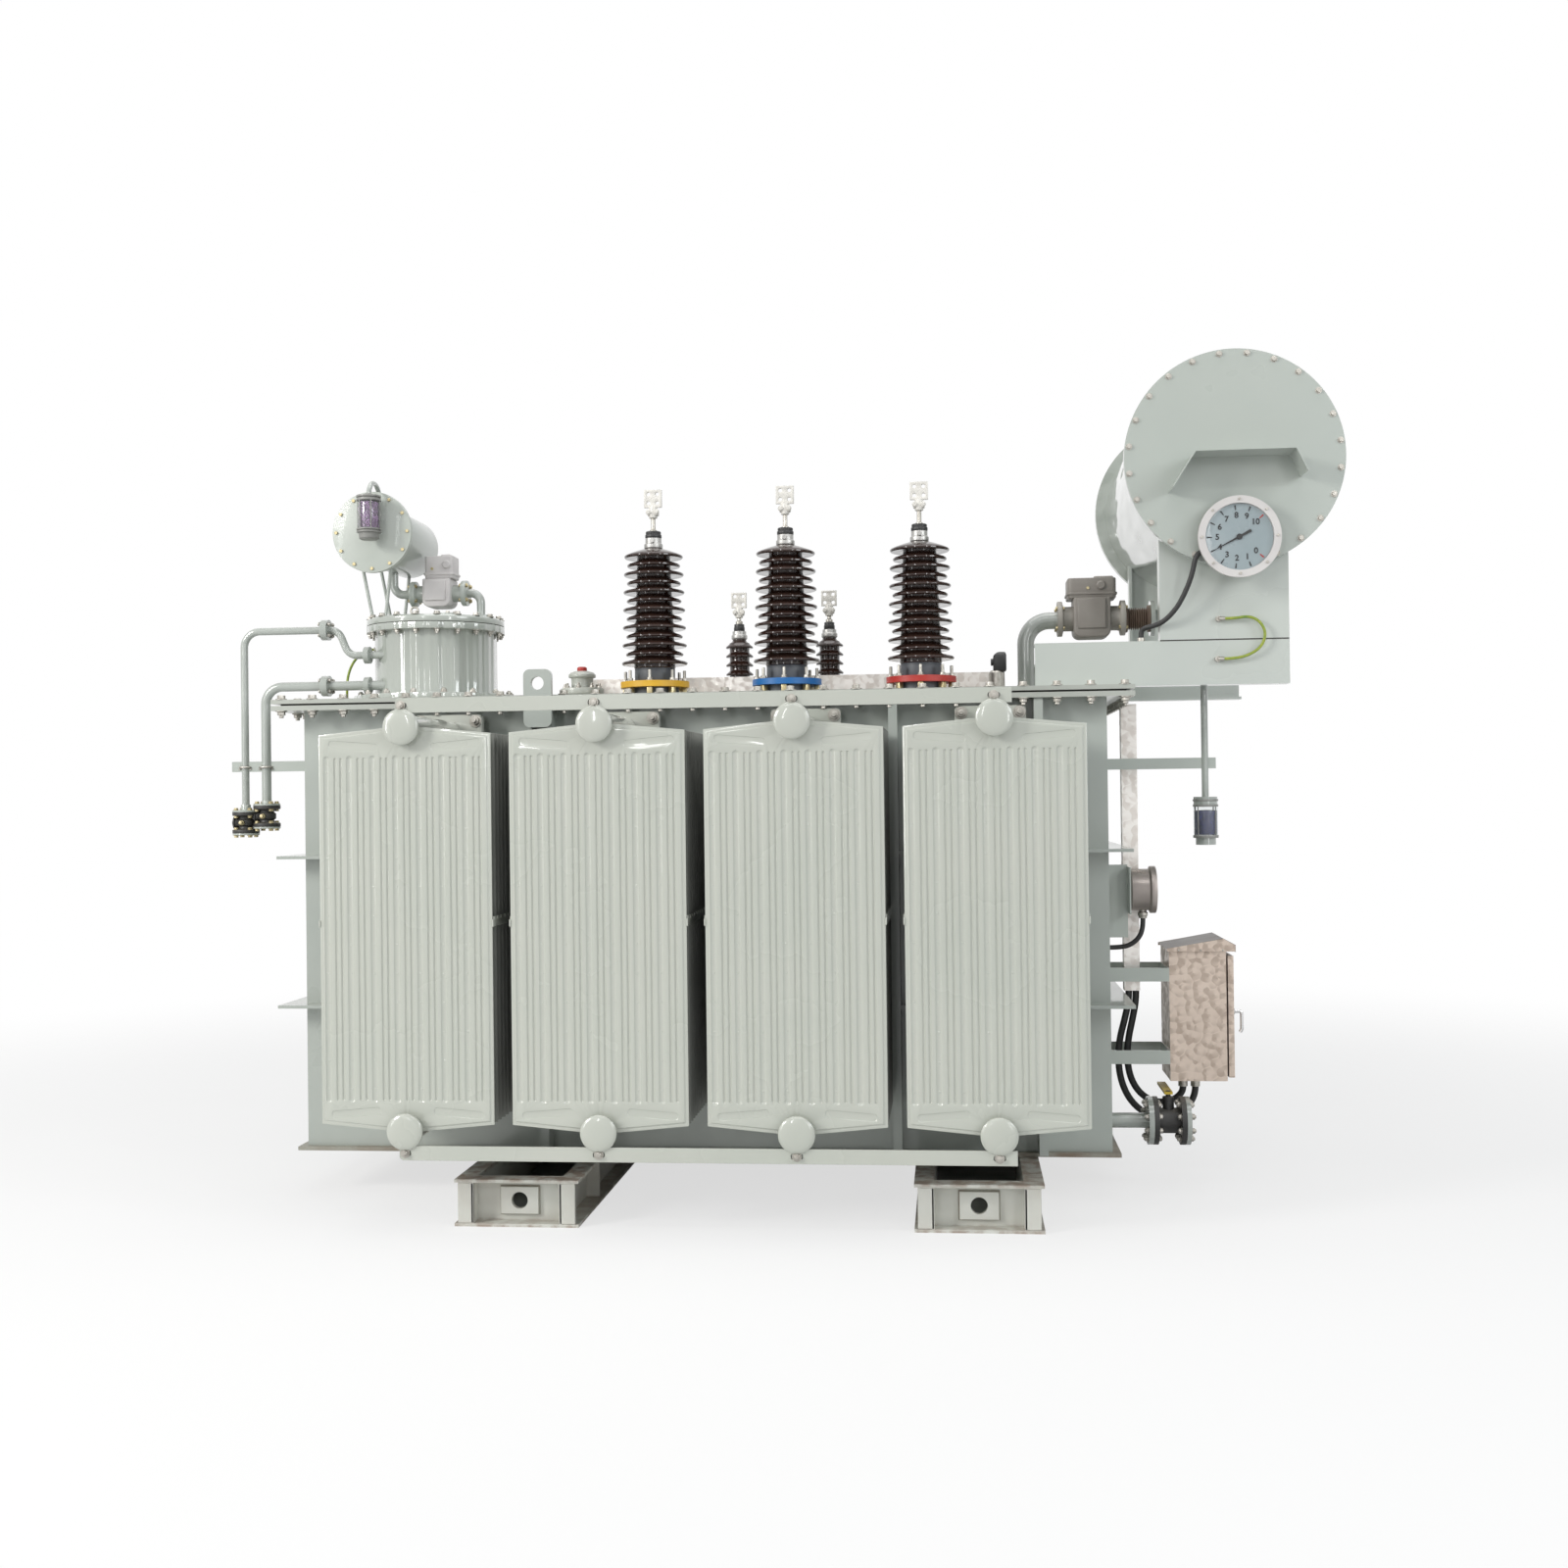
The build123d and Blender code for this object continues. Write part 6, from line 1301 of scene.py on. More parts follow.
# Its shell with two end plates bolted together, on four rods that lean out to the shell's sides.
end_plates = turned(
    "small_end_plates", [(0, -290), (137, -290), (137, -281), (134.5, -280.4), (134.5, -279.6),
    (137, -279), (137, -270), (0, -270)], (SMALL_X, 0, SMALL_Z), axis="Y", steps=64, rounding=1.2)
done(end_plates, DULL)
shell = turned("small_shell", [(0, -271), (105, -271), (105, 116), (101, 120), (0, 120)],
               (SMALL_X, 0, SMALL_Z), axis="Y", steps=64, rounding=1.2)
rods = []
for y in (-130, 70):
    rods.append(tube("rod", 6, [(-1347, y, 1909), (-1398, y, 2168)], 10, 12))
    rods.append(tube("rod", 6, [(-1302, y, 1909), (-1280, y, 2092)], 10, 12))
done(joined("small_shell", [shell] + rods), TANK, hides=["small_conservator"])

# Pipes of the small conservator: down to the relay, on to the head, and a round hook over to the breather.
BREATHER_X = -1282.0
BREATHER_Y = -345.0
BREATHER_PLACE = (BREATHER_X, BREATHER_Y, 0)
HOOK_TOP = 2349.0
HOOK_BACK = -235.0
RELAY_Y = -20.0
RELAY_Z = 2003.0
RISER_X = -1307.0
DROP_X = -992.0
riser_route = [(-1241, RELAY_Y, RELAY_Z), (RISER_X, RELAY_Y, RELAY_Z), (RISER_X, RELAY_Y, 2090)]
drop_route = [(-1039, RELAY_Y, RELAY_Z), (DROP_X, RELAY_Y, RELAY_Z), (DROP_X, RELAY_Y, 1921)]
hook_route = [
    (BREATHER_X, BREATHER_Y, 2292), (BREATHER_X, BREATHER_Y, HOOK_TOP),
    (BREATHER_X, (BREATHER_Y + HOOK_BACK) / 2, HOOK_TOP), (BREATHER_X, HOOK_BACK, HOOK_TOP),
    (BREATHER_X, HOOK_BACK, 2286)]
flange_outline = [(0, LID_TOP), (40, LID_TOP), (40, 1923), (16, 1924), (15, 1930), (0, 1930)]
pipes = [
    tube("pipe", 15, riser_route, 36, 24),
    tube("pipe", 15, drop_route, 36, 24),
    tube("pipe", 8.5, hook_route, 54.5, 16),
    turned("flange", flange_outline, (DROP_X, RELAY_Y, 0), steps=32, rounding=1.0)]
done(joined("small_pipes_bent", pipes), PIPE, hides=["small_pipes"])

# Small breather: grey rings above and below gel in clear glass, tied by six rods.
collars = turned(
    "small_breather_rings", [(0, 2280), (41, 2280), (41, 2287), (35, 2288), (35, 2291), (41, 2292),
    (41, 2298), (14, 2299), (12, 2306), (0, 2306)], BREATHER_PLACE, steps=32, rounding=0.8)
foot = turned(
    "foot", [(0, 2150), (27, 2150), (33, 2155), (33, 2172), (41, 2173), (41, 2178), (35, 2179),
    (35, 2181), (41, 2182), (41, 2187), (0, 2187)], BREATHER_PLACE, steps=32, rounding=0.8)
tie = turned(
    "tie", [(0, 2180), (2.2, 2180), (2.2, 2288), (0, 2288)], (BREATHER_X + 38, BREATHER_Y, 0), steps=8,
    rounding=0.4)
ring(tie, 6, BREATHER_PLACE, (0, 0, 1))
done(joined("small_breather_rings", [collars, foot, tie]), BREATHER)
gel = turned(
    "small_breather_gel", [(0, 2186), (33, 2186), (33, 2276), (0, 2278)], BREATHER_PLACE, steps=32,
    rounding=1.0)
done(gel, PURPLE, hides=["small_breather"])
glass = turned(
    "small_breather_tube", [(33.6, 2185), (35.4, 2185), (35.4, 2282), (33.6, 2282)], BREATHER_PLACE,
    steps=32, rounding=0.4)
done(glass, GLASS)

# Relays: a cast body between two flanged necks, a lid over the terminals and a window plate in front.


def relay(
        name, body_low, body_high, lid_low, lid_high, necks, neck_radius, flange_radius, thick, paints,
        node):
    """A relay in a casting paint with flanges in a second one."""
    middle = (Vector(body_low) + Vector(body_high)) / 2
    body = start_box(name, body_low, body_high)
    pick_edges(body, lambda a, b: abs(a.y - b.y) > 1 and a.z < middle.z)
    bpy.ops.mesh.bevel(offset=0.024, segments=4)
    leave_edit()
    round_edges(body, 6.0, 3)
    lid = start_box("lid", lid_low, lid_high)
    pick_faces(lid, lambda c, n: n.z > 0.9)
    bpy.ops.mesh.extrude_region_move(TRANSFORM_OT_translate={"value": (0, 0, 0)})
    bpy.ops.transform.resize(value=(0.86, 0.8, 1))
    leave_edit()
    pick_edges(lid, lambda a, b: abs(a.z - b.z) > 1)
    bpy.ops.mesh.bevel(offset=0.014, segments=3)
    leave_edit()
    round_edges(lid, 4.0, 2, 25)
    brim = start_box(
        "brim", (lid_low[0] - 4, lid_low[1] - 4, lid_low[2] + 12),
        (lid_high[0] + 4, lid_high[1] + 4, lid_low[2] + 20))
    pick_edges(brim, lambda a, b: abs(a.z - b.z) > 1)
    bpy.ops.mesh.bevel(offset=0.016, segments=3)
    leave_edit()
    round_edges(brim, 1.5, 2)
    half = (lid_low[0] + lid_high[0]) / 2 + 6
    block = start_box(
        "block", (half, lid_low[1] + 6, lid_low[2] + 24),
        (lid_high[0] - 8, lid_high[1] - 12, lid_high[2] + 6))
    round_edges(block, 6.0, 3)
    knob = turned("knob", [(0, 0), (15, 0), (15, 5), (11, 8), (0, 8)], (0, 0, 0), steps=20, rounding=1.0)
    knob.rotation_euler = (pi / 2, 0, 0)
    knob.location = Vector((half + 24, lid_low[1], (lid_low[2] + lid_high[2]) / 2 + 8)) * MM
    freeze(knob)
    parts = [body, lid, brim, block, knob]
    left, right = necks
    flanges = turned(
        name + "_flanges", [(0, left), (flange_radius, left), (flange_radius, left + thick),
        (neck_radius, left + thick + 4), (neck_radius, right - thick - 4),
        (flange_radius, right - thick), (flange_radius, right), (0, right)], (0, middle.y, middle.z),
        axis="X", steps=36, rounding=1.2)
    done(flanges, paints[1])
    width = body_high[0] - body_low[0]
    height = body_high[2] - body_low[2]
    window = start_box(
        "window", (middle.x - 0.4 * width, body_low[1] - 7, body_high[2] - 0.78 * height),
        (middle.x + 0.36 * width, body_low[1] + 1, body_high[2] - 6))
    pick_faces(window, lambda c, n: n.y < -0.9)
    bpy.ops.mesh.inset(thickness=0.006, depth=0.001)
    leave_edit()
    round_edges(window, 1.4, 2)
    parts.append(window)
    whole = joined(name, parts)
    smooth(whole, 32)
    done(whole, paints[0], hides=[node])
    bolts = []
    for face, axis in ((left, "-X"), (left + thick, "X"), (right - thick, "-X"), (right, "X")):
        bolt = fixing(
            "relay bolt", 13, (face, middle.y + flange_radius * 0.56, middle.z + flange_radius * 0.56),
            axis, stud=6)
        ring(bolt, 4, (0, middle.y, middle.z), (1, 0, 0))
        bolts.append(bolt)
    bolts.append(
        fixing("lid screw", 11, (middle.x - 14, lid_low[1], lid_low[2] + 34), "-Y", washer=False))
    done(joined(name + "_bolts", bolts), BRASS)


relay("small_relay_cast", (-1190, -70, 1953), (-1090, 30, 2053), (-1184, -64, 2053), (-1080, 24, 2132),
      (-1241, -1039), 30, 45, 18, (LILAC, TANK), "small_relay")
relay("main_relay_cast", (1072, -62, 1798), (1196, 62, 1934), (1053, -60, 1930), (1215, 60, 1999),
      (1020, 1248), 42, 60, 16, (WARM, PALE_CAST), "main_relay")

# Relief valve: a studded foot, a short body, a domed cap and a red button.
RELIEF_X = -614.0
RELIEF_Y = -100.0
RELIEF = (RELIEF_X, RELIEF_Y, 0)
valve = turned(
    "relief_valve_turned", [(0, COVER_TOP), (60, COVER_TOP), (60, 1630), (75, 1632), (75, 1652),
    (38, 1656), (38, 1688), (47, 1691), (47, 1700), (40, 1708), (20, 1714), (0, 1715)], RELIEF, steps=40,
    rounding=1.5)
done(valve, COVER, hides=["relief_valve"])
button = turned(
    "relief_button", [(0, 1713), (17, 1713), (17, 1724), (13, 1728), (0, 1729)], RELIEF, steps=24,
    rounding=1.5)
done(button, RED)
bolt = fixing("relief bolt", 17, (RELIEF_X + 60, RELIEF_Y, 1652), "Z", stud=16)
ring(bolt, 8, RELIEF, (0, 0, 1))
done(joined("relief_bolts", [bolt]), ZINC)

# Cover pocket: a pot on the cover with a dark socket head.
pot = turned(
    "cover_pocket_pot", [(0, COVER_TOP), (36, COVER_TOP), (36, 1612), (27, 1614), (26, 1680), (20, 1688),
    (0, 1688)], (810, -100, 0), steps=32, rounding=1.5)
done(pot, ZINC, hides=["cover_pocket"])
socket = start_box("cover_pocket_socket", (798, -122, 1684), (842, -78, 1738))
pick_faces(socket, lambda c, n: n.z > 0.9)
bpy.ops.mesh.extrude_region_move(TRANSFORM_OT_translate={"value": (0.006, 0, 0.012)})
bpy.ops.transform.resize(value=(0.6, 0.6, 1))
leave_edit()
round_edges(socket, 5, 2, 25)
smooth(socket)
plug = turned(
    "plug", [(0, 0), (12, 0), (12, 14), (8, 18), (8, 26), (0, 26)], (790, -100, 1716), axis="X", steps=20,
    rounding=1.0)
done(joined("cover_pocket_socket", [socket, plug]), BLACK)

# Tap changer drum and cover, turned in one setting each.
drum = turned(
    "head_drum", [(0, COVER_TOP), (250, COVER_TOP), (250, 1618), (285, 1619), (285, 1640), (213, 1642),
    (212, 1648), (212, 1860), (240, 1862), (240, 1885), (0, 1885)], HEAD_PLACE, steps=96, rounding=1.5)
done(drum, STREAKED, hides=["oltc_drum"])
lid = turned(
    "head_cover", [(0, 1887), (240, 1887), (240, 1904), (233, LID_TOP), (0, LID_TOP)], HEAD_PLACE,
    steps=96, rounding=1.5)
hatch = turned(
    "hatch", [(0, LID_TOP - 1), (45, LID_TOP - 1), (45, 1920), (42, 1923), (0, 1923)], HATCH_PLACE,
    steps=36, rounding=1.0)
done(joined("head_cover", [lid, hatch]), GLOSS, hides=["oltc_cover"])
seal = turned(
    "head_seal", [(200, 1885), (238.5, 1885), (238.5, 1887), (200, 1887)], HEAD_PLACE, steps=64,
    rounding=0.3)
done(seal, RUBBER)


# Main conservator: bolts round both end plates.
CONSERVATOR_X = 1533.0
CONSERVATOR_Z = 2300.0
END_FACE = 532.0
END_RING = 322.0
END_BOLTS = 24
FIRST_TURN = pi / END_BOLTS
bolts = []
for y, axis in ((-END_FACE, "-Y"), (END_FACE, "Y")):
    bolt_x = CONSERVATOR_X + END_RING * cos(FIRST_TURN)
    bolt_z = CONSERVATOR_Z + END_RING * sin(FIRST_TURN)
    bolt = fixing("end bolt", 15, (bolt_x, y, bolt_z), axis)
    ring(bolt, END_BOLTS, (CONSERVATOR_X, 0, CONSERVATOR_Z), (0, 1, 0))
    bolts.append(bolt)
done(joined("end_plate_bolts", bolts), ZINC)

# Saddle plates stand on the beams with an open joint between; a thin black strip in the joint is painted
# shade.
for y in (-470.6, 470.6):
    shadow_strip = start_box("saddle_shadow_gap", (1308, min(y, y * 0.998), 1742), (1702, max(y, y * 0.998), 1746))
    round_edges(shadow_strip, 0.2, 1)
    done(shadow_strip, RUBBER)
    shadow_strip.name = "saddle_joint_front" if y < 0 else "saddle_shadow_gap_back"

# Oil gauge: a pale dial with ticks and plain numbers, a pointer, and a bezel with eight screws.
GAUGE_X = 1539.0
GAUGE_Z = 2049.0
DIAL_Y = -566.0
GAUGE_MIDDLE = Vector((GAUGE_X, DIAL_Y, GAUGE_Z)) * MM
SCALE_START = -42.0
SCALE_STEP = 27.6
SHOWN_FIGURE = 4.0
NUMBER_RING = 66.0


def dial_turn(piece, angle):
    """Turns a piece about the dial's middle; a positive angle is anticlockwise seen from the front."""
    edit(piece)
    bpy.ops.transform.rotate(
        value=angle, orient_axis="Y", orient_type="GLOBAL", center_override=GAUGE_MIDDLE)
    leave_edit()


dial = turned("gauge_dial", [(0, 0), (102, 0), (102, 1.6), (98, 0.6), (0, 0.6)], steps=48)
dial.rotation_euler = (pi / 2, 0, 0)
dial.location = Vector((GAUGE_X, DIAL_Y + 1, GAUGE_Z)) * MM
freeze(dial)
done(dial, DIAL)

# The scale runs clockwise from 0 at the lower right, past 5 at the left, to 10 at the upper right.
marks = []
ends = []
numbers = []
for figure in range(11):
    angle = radians(SCALE_START - SCALE_STEP * figure)
    tick = start_box(
        "tick", (GAUGE_X + 82, DIAL_Y - 1.0, GAUGE_Z - 2.2), (GAUGE_X + 97, DIAL_Y + 0.2, GAUGE_Z + 2.2))
    pick_faces(tick, lambda c, n: n.x < -0.9)
    bpy.ops.transform.resize(value=(1, 1, 0.55))
    leave_edit()
    dial_turn(tick, angle)
    (ends if figure in (0, 10) else marks).append(tick)
    clear_selection()
    bpy.ops.object.text_add()
    text = bpy.context.object
    text.data.body = str(figure)
    text.data.size = 25.0 * MM
    text.data.offset = 0.5 * MM
    text.data.align_x = "CENTER"
    text.data.align_y = "CENTER"
    text.data.extrude = 0.3 * MM
    bpy.ops.object.convert(target="MESH")
    text = bpy.context.object
    text.rotation_euler = (pi / 2, 0, 0)
    text.location = GAUGE_MIDDLE + Vector((NUMBER_RING * cos(angle), -0.5, NUMBER_RING * sin(angle))) * MM
    freeze(text)
    numbers.append(text)
done(joined("gauge_ticks", marks), BLACK)
done(joined("gauge_end_marks", ends), RED)
done(joined("gauge_numbers", numbers), BLACK)
pointer = start_box(
    "gauge_pointer", (GAUGE_X - 40, DIAL_Y - 3.4, GAUGE_Z - 4.5),
    (GAUGE_X + 88, DIAL_Y - 2.2, GAUGE_Z + 4.5))
pick_faces(pointer, lambda c, n: n.x > 0.9)
bpy.ops.transform.resize(value=(1, 1, 0.15))
leave_edit()
hub = start_disc("hub", (GAUGE_X, DIAL_Y - 2.6, GAUGE_Z), 9, 4, "Y", 20)
round_edges(hub, 1.0, 1)
pointer = joined("gauge_pointer", [pointer, hub])
dial_turn(pointer, radians(SCALE_START - SCALE_STEP * SHOWN_FIGURE))
done(pointer, BLACK)
screw = fixing("gauge screw", 9, (GAUGE_X + 114, -577, GAUGE_Z), "-Y", washer=False)
ring(screw, 8, (GAUGE_X, 0, GAUGE_Z), (0, 1, 0))
done(joined("gauge_screws", [screw]), ZINC)

# Bellows: a ribbed brown pipe joint between the relay and the riser, with a flange at each end.
ROOT = 30.0
CREST = 38.0
END_RIM = 46.0
FOLD_PITCH = 7.4
outline = [(0, 0), (END_RIM, 0), (END_RIM, 8), (ROOT, 8)]
for fold in range(9):
    start = 11 + fold * FOLD_PITCH
    outline += [(ROOT, start), (CREST, start + 2.5), (CREST, start + 4), (ROOT, start + 6.5)]
outline += [(ROOT, 75), (END_RIM, 75), (END_RIM, 83), (0, 83)]
bellows = turned("bellows_ribbed", outline, (1248, 0, 1862), axis="X", steps=36, rounding=0.7)
done(bellows, BELLOWS, hides=["main_bellows"])


# Right side: breather with blue gel in clear glass, held by four tie rods between its rings.
DRY_X = 1465.0
DRY_Y = -300.0
DRY_PLACE = (DRY_X, DRY_Y, 0)
TIE_OUT = 27.6
gel = turned(
    "breather_gel", [(0, 1132), (35.4, 1132), (35.4, 1210), (0, 1212)], DRY_PLACE, steps=32,
    rounding=1.0)
done(gel, DARK_BLUE, hides=["breather_glass"])
glass_tube = turned(
    "breather_tube", [(35.8, 1131), (37.6, 1131), (37.6, 1222), (35.8, 1222)], DRY_PLACE,
    steps=32, rounding=0.5)
done(glass_tube, GLASS)
rings = turned(
    "breather_rings", [(20, 1222), (40, 1222), (40, 1229), (34, 1231), (34, 1238), (40, 1240), (40, 1246),
    (20, 1246)], DRY_PLACE, steps=32, rounding=1.0)
lower = turned(
    "lower ring", [(20, 1122), (40, 1122), (40, 1131), (20, 1131)], DRY_PLACE, steps=32,
    rounding=1.0)
tie_rod = turned(
    "tie rod", [(0, 1124), (2.0, 1124), (2.0, 1226), (0, 1226)], (DRY_X + TIE_OUT, DRY_Y + TIE_OUT, 0),
    steps=8, rounding=0.4)
ring(tie_rod, 4, DRY_PLACE, (0, 0, 1))
done(joined("breather_rings", [rings, lower, tie_rod]), BREATHER)

# Thermometer: a round case with a deep bezel; its dial looks to the right.
CASE_BACK = 1218.0
CASE_Y = -300.0
CASE_Z = 957.0
case = turned("thermometer_case", [
    (0, 0), (58, 0), (67, 6), (67, 62), (72, 64), (76, 66), (76, 84), (70, 84), (70, 80), (0, 80)],
    (CASE_BACK, CASE_Y, CASE_Z), axis="X", steps=40, rounding=1.6)
done(case, CASE, hides=["thermometer"])
face = turned(
    "thermometer_face", [(0, 0), (69, 0), (69, 1.2), (0, 1.2)], (CASE_BACK + 80.6, CASE_Y, CASE_Z),
    axis="X", steps=40, rounding=0.4)
done(face, DIAL)
gland = turned(
    "thermometer_gland", [(0, 865), (13, 865), (13, 872), (16, 873), (16, 884), (12, 886), (12, 894),
    (0, 894)], (CASE_BACK + 44, CASE_Y, 0), steps=12, rounding=0.8)
done(gland, ZINC)

# Drain: bolts through both pairs of flanges.
DRAIN_Y = -350.0
DRAIN_Z = 223.0
DRAIN_RING = 58.0
DRAIN_TURN = 0.4
bolt_y = DRAIN_Y + DRAIN_RING * cos(DRAIN_TURN)
bolt_z = DRAIN_Z + DRAIN_RING * sin(DRAIN_TURN)
bolts = []
for face_x, axis, end in ((1261, "-X", 12), (1293, "X", 10), (1363, "-X", 10), (1393, "X", 12)):
    bolt = fixing("drain bolt", 19, (face_x, bolt_y, bolt_z), axis, stud=end)
    ring(bolt, 8, (0, DRAIN_Y, DRAIN_Z), (1, 0, 0))
    bolts.append(bolt)
done(joined("drain_bolts", bolts), ZINC)

# Tap changer valves: bolted flanges above and below a dark body, on a short neck.


def tap_valve(name, x, y, top, low, neck_top):
    """A valve whose flanged body hangs under its pipe, from the neck's top down to low."""
    parts = []
    dark = turned(
        name, [(0, low + 6), (46, low + 6), (46, low + 18), (26, low + 22), (24, low + 30),
        (31, low + 34), (31, top - 34), (24, top - 30), (26, top - 22), (46, top - 18), (46, top - 6),
        (0, top - 6)], (x, y, 0), steps=32, rounding=1.2)
    side = turned("side", [(0, 0), (19, 0), (19, 8), (24, 8), (24, 14), (10, 15), (10, 21), (0, 21)],
                  (x - 26, y, (top + low) / 2), axis="X", steps=20, rounding=0.8)
    edit(side)
    bpy.ops.transform.rotate(value=pi, orient_axis="Z", center_override=Vector((x - 26, y, low)) * MM)
    leave_edit()
    done(joined(name, [dark, side]), IRON)
    for level, thick in ((top - 6, 6), (low, 6)):
        plate = turned(
            "plate", [(12, level), (46, level), (46, level + thick), (12, level + thick)], (x, y, 0),
            steps=32, rounding=0.8)
        parts.append(plate)
    parts.append(
        turned("neck", [(10, top), (20, top), (17, top + 8), (17, neck_top), (10, neck_top)], (x, y, 0),
        steps=24, rounding=0.6))
    done(joined(name + "_plates", parts), TANK)
    bolts = []
    for level, axis in ((top, "Z"), (top - 18, "-Z"), (low + 18, "Z"), (low, "-Z")):
        bolt = fixing("valve bolt", 16, (x + 25, y - 25, level), axis, stud=6)
        ring(bolt, 4, (x, y, 0), (0, 0, 1))
        bolts.append(bolt)
    gland = turned(
        "gland", [(0, 0), (9, 0), (9, 10), (6, 12), (6, 20), (0, 20)], (x, y - 30, (top + low) / 2),
        axis="Y", steps=14, rounding=0.6)
    edit(gland)
    bpy.ops.transform.rotate(value=pi, orient_axis="Z", center_override=Vector((x, y - 30, low)) * MM)
    leave_edit()
    bolts.append(gland)
    done(joined(name + "_bolts", bolts), BRASS)


FEED_X = -1805.0
RETURN_X = -1729.0
OIL_Y = -150.0
tap_valve("feed_valve", FEED_X, OIL_Y, 1246, 1160, 1266)
tap_valve("return_valve", RETURN_X, OIL_Y, 1268, 1182, 1280)
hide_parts("oil_valves")

# Pipe flanges of the tap changer: four bolts through each pair.
bolts = []
for z in (1870.0, 1675.0):
    for face_x, axis in ((-1524, "-X"), (-1494, "X")):
        bolt = fixing("pipe bolt", 12, (face_x, OIL_Y + 19, z + 19), axis, stud=6)
        ring(bolt, 4, (0, OIL_Y, z), (1, 0, 0))
        bolts.append(bolt)
done(joined("pipe_flange_bolts", bolts), ZINC)

# U-bolts hold the two tap changer pipes to their bar.


def u_bolt(name, x, y, z, reach):
    """A hoop round a pipe with a nut under each leg; reach is the hoop's radius."""
    clear_selection()
    bpy.ops.mesh.primitive_torus_add(
        major_segments=32, minor_segments=8, major_radius=reach * MM, minor_radius=4 * MM,
        location=Vector((x, y, z)) * MM)
    hoop = bpy.context.object
    hoop.name = name
    freeze(hoop)
    nut = fixing("u nut", 13, (x - reach, y, z - 4), "-Z", washer=False)
    row(nut, 2, (2 * reach, 0, 0))
    hoop = joined(name, [hoop, nut])
    smooth(hoop, 50)
    return hoop


HOOP_Z = 1396.0
hoops = [u_bolt("u bolt", FEED_X, OIL_Y, HOOP_Z, 19), u_bolt("u bolt", RETURN_X, OIL_Y, HOOP_Z, 22)]
done(joined("pipe_u_bolts", hoops), ZINC)

# Skids: upright stiffeners close the ends of the outer channels and stand again farther in.
SKID_X = (-652.0, 718.0)
SKID_WEB = 130.5
STIFFENER_EDGE = 178.0
stiffeners = []
for skid_x in SKID_X:
    for side in (-1, 1):
        near = skid_x + side * SKID_WEB
        far = skid_x + side * STIFFENER_EDGE
        for y in (-905.0, -560.0, 560.0, 905.0):
            web = start_box("stiffener", (min(near, far), y - 5, 10), (max(near, far), y + 5, 130))
            round_edges(web, 1.5, 1)
            stiffeners.append(web)
done(joined("skid_stiffeners", stiffeners), SKID)

# Plain bottom plates between the webs, in a darker paint that is painted shade inside the skids.
FLOOR_HALF = 130.0
FLOOR_END = 896.0
floors = []
for skid_x in SKID_X:
    bottom = start_box(
        "bottom", (skid_x - FLOOR_HALF, -FLOOR_END, 3), (skid_x + FLOOR_HALF, FLOOR_END, 9))
    round_edges(bottom, 1.0, 1)
    floors.append(bottom)
done(joined("skid_bottoms", floors), SKID_INSIDE_SHADE)

# A weld bead frames the foot of each plate round a tow hole; its dark rusty paint is painted shadow round the
# plate.
BEAD_FRONT = -861.0
BEAD_BACK = -858.0
BEAD_HALF_WIDTH = 61.0
BEAD_HALF_HEIGHT = 44.0
TOW_Z = 70.0
TOW_RADIUS = 25.0
bead_shadows = []
for skid_x in SKID_X:
    bead = start_box(
        "bead", (skid_x - BEAD_HALF_WIDTH, BEAD_FRONT, TOW_Z - BEAD_HALF_HEIGHT),
        (skid_x + BEAD_HALF_WIDTH, BEAD_BACK, TOW_Z + BEAD_HALF_HEIGHT))
    round_edges(bead, 1.2, 2)
    hole = start_disc("hole", (skid_x, -859, TOW_Z), TOW_RADIUS, 20, "Y", 40)
    cut(bead, hole)
    row(bead, 2, (0, -BEAD_FRONT - BEAD_BACK, 0))
    bead_shadows.append(bead)
done(joined("skid_pad_weld_shadows", bead_shadows), RUSTY)

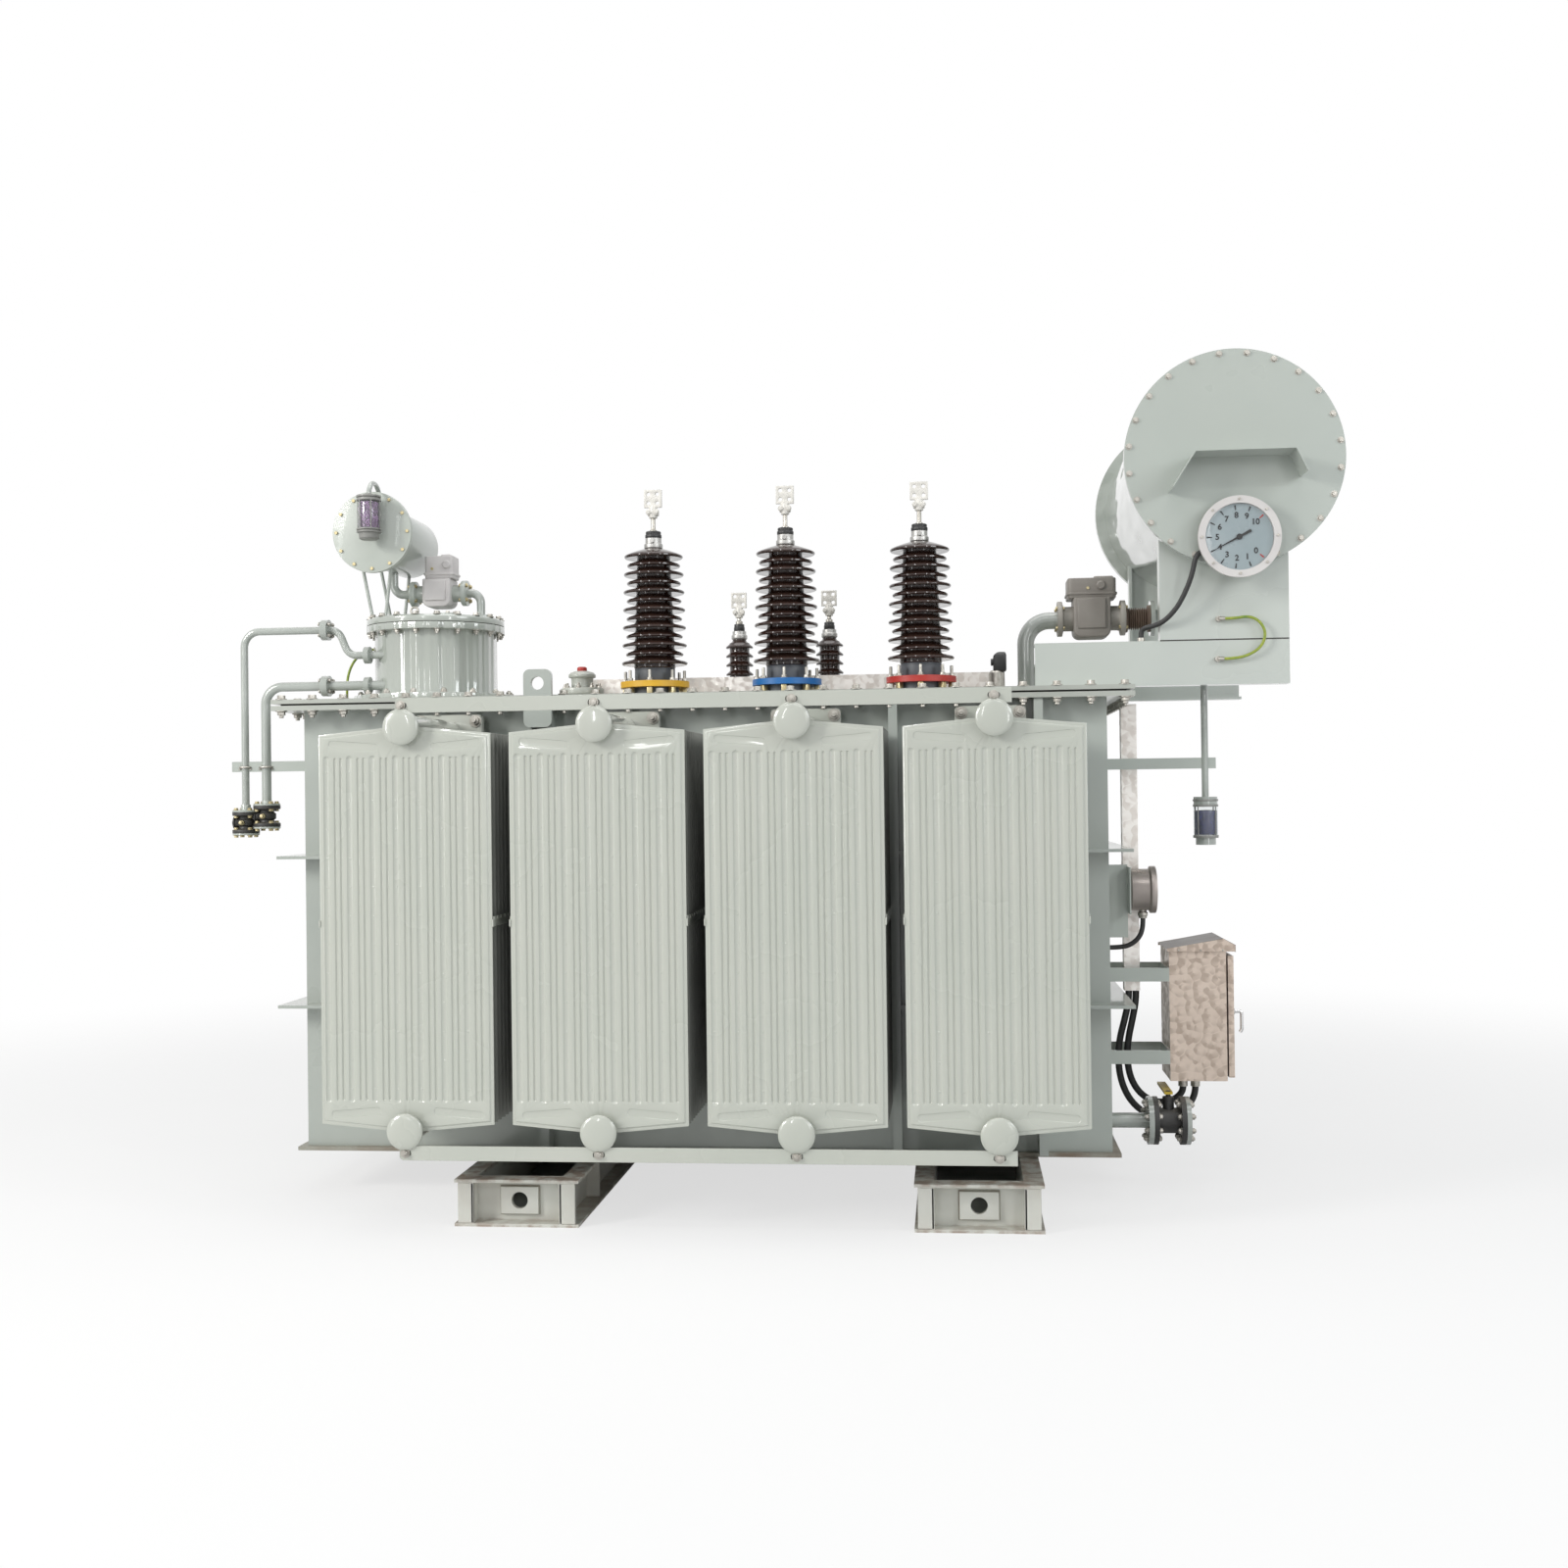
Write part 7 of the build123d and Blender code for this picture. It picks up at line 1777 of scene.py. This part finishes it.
# Cabinet: folded end sheets close the roof over the body, and the door has a bent lever on a rosette.
ROOF_LEFT = 1336.0
ROOF_RIGHT = 1551.0
ROOF_END = -310.0
GABLE_FACE = -311.2
GABLE_LOW = 757.0
EAVE_Z = 767.0
RIDGE_SHIFT = 70.5
RIDGE_RISE = 31.0
RIGHT_RISE = 10.0
GABLE_APART = 241.2
gable = start_box("cabinet_gables", (ROOF_LEFT, GABLE_FACE, GABLE_LOW), (ROOF_RIGHT, ROOF_END, EAVE_Z))


def on_top(first, second):
    """Whether an edge lies along the top of the end sheet."""
    return min(first.z, second.z) > EAVE_Z - 1


pick_edges(gable, lambda a, b: on_top(a, b) and abs(a.x - b.x) > 1)
bpy.ops.mesh.subdivide(number_cuts=1)
leave_edit()
pick_edges(
    gable, lambda a, b: on_top(a, b) and min(a.x, b.x) > ROOF_LEFT + 1 and max(a.x, b.x) < ROOF_RIGHT - 1)
bpy.ops.transform.translate(value=(RIDGE_SHIFT * MM, 0, RIDGE_RISE * MM))
leave_edit()
pick_edges(gable, lambda a, b: on_top(a, b) and min(a.x, b.x) > ROOF_RIGHT - 1)
bpy.ops.transform.translate(value=(0, 0, RIGHT_RISE * MM))
leave_edit()
round_edges(gable, 0.3, 1)
screw = turned("cabinet_screws", [(0, 0), (3.2, 0), (3.2, 1.0), (2.0, 2.0), (0, 2.0)], steps=12)
screw.rotation_euler = (pi / 2, 0, 0)
screw.location = Vector((ROOF_LEFT + 36, GABLE_FACE, GABLE_LOW + 4.5)) * MM
freeze(screw)
row(screw, 3, (70, 0, 0))
smooth(screw)
done(screw, ZINC)
row(gable, 2, (0, GABLE_APART, 0))
done(gable, SWIRL)

HANDLE_Y = -262.0
HANDLE_Z = 560.0
DOOR_FACE = 1546.6
GRIP_X = 1576.0
rosette = turned(
    "rosette", [(0, DOOR_FACE), (13, DOOR_FACE), (13, 1550), (9, 1554), (0, 1554)],
    (0, HANDLE_Y, HANDLE_Z), axis="X", steps=32, rounding=0.8)
lever_route = [
    (1530, HANDLE_Y, HANDLE_Z), (GRIP_X, HANDLE_Y, HANDLE_Z), (GRIP_X, HANDLE_Y, 503),
    (GRIP_X - 6, HANDLE_Y, 493)]
bent_lever = tube("bent lever", 5.6, lever_route, 8, 20)
round_edges(bent_lever, 1.5, 2)
door_lever = joined("door_lever", [rosette, bent_lever])
smooth(door_lever, 35)
done(door_lever, CHROME, body="cabinet_handle", hides=["cabinet_handle"])
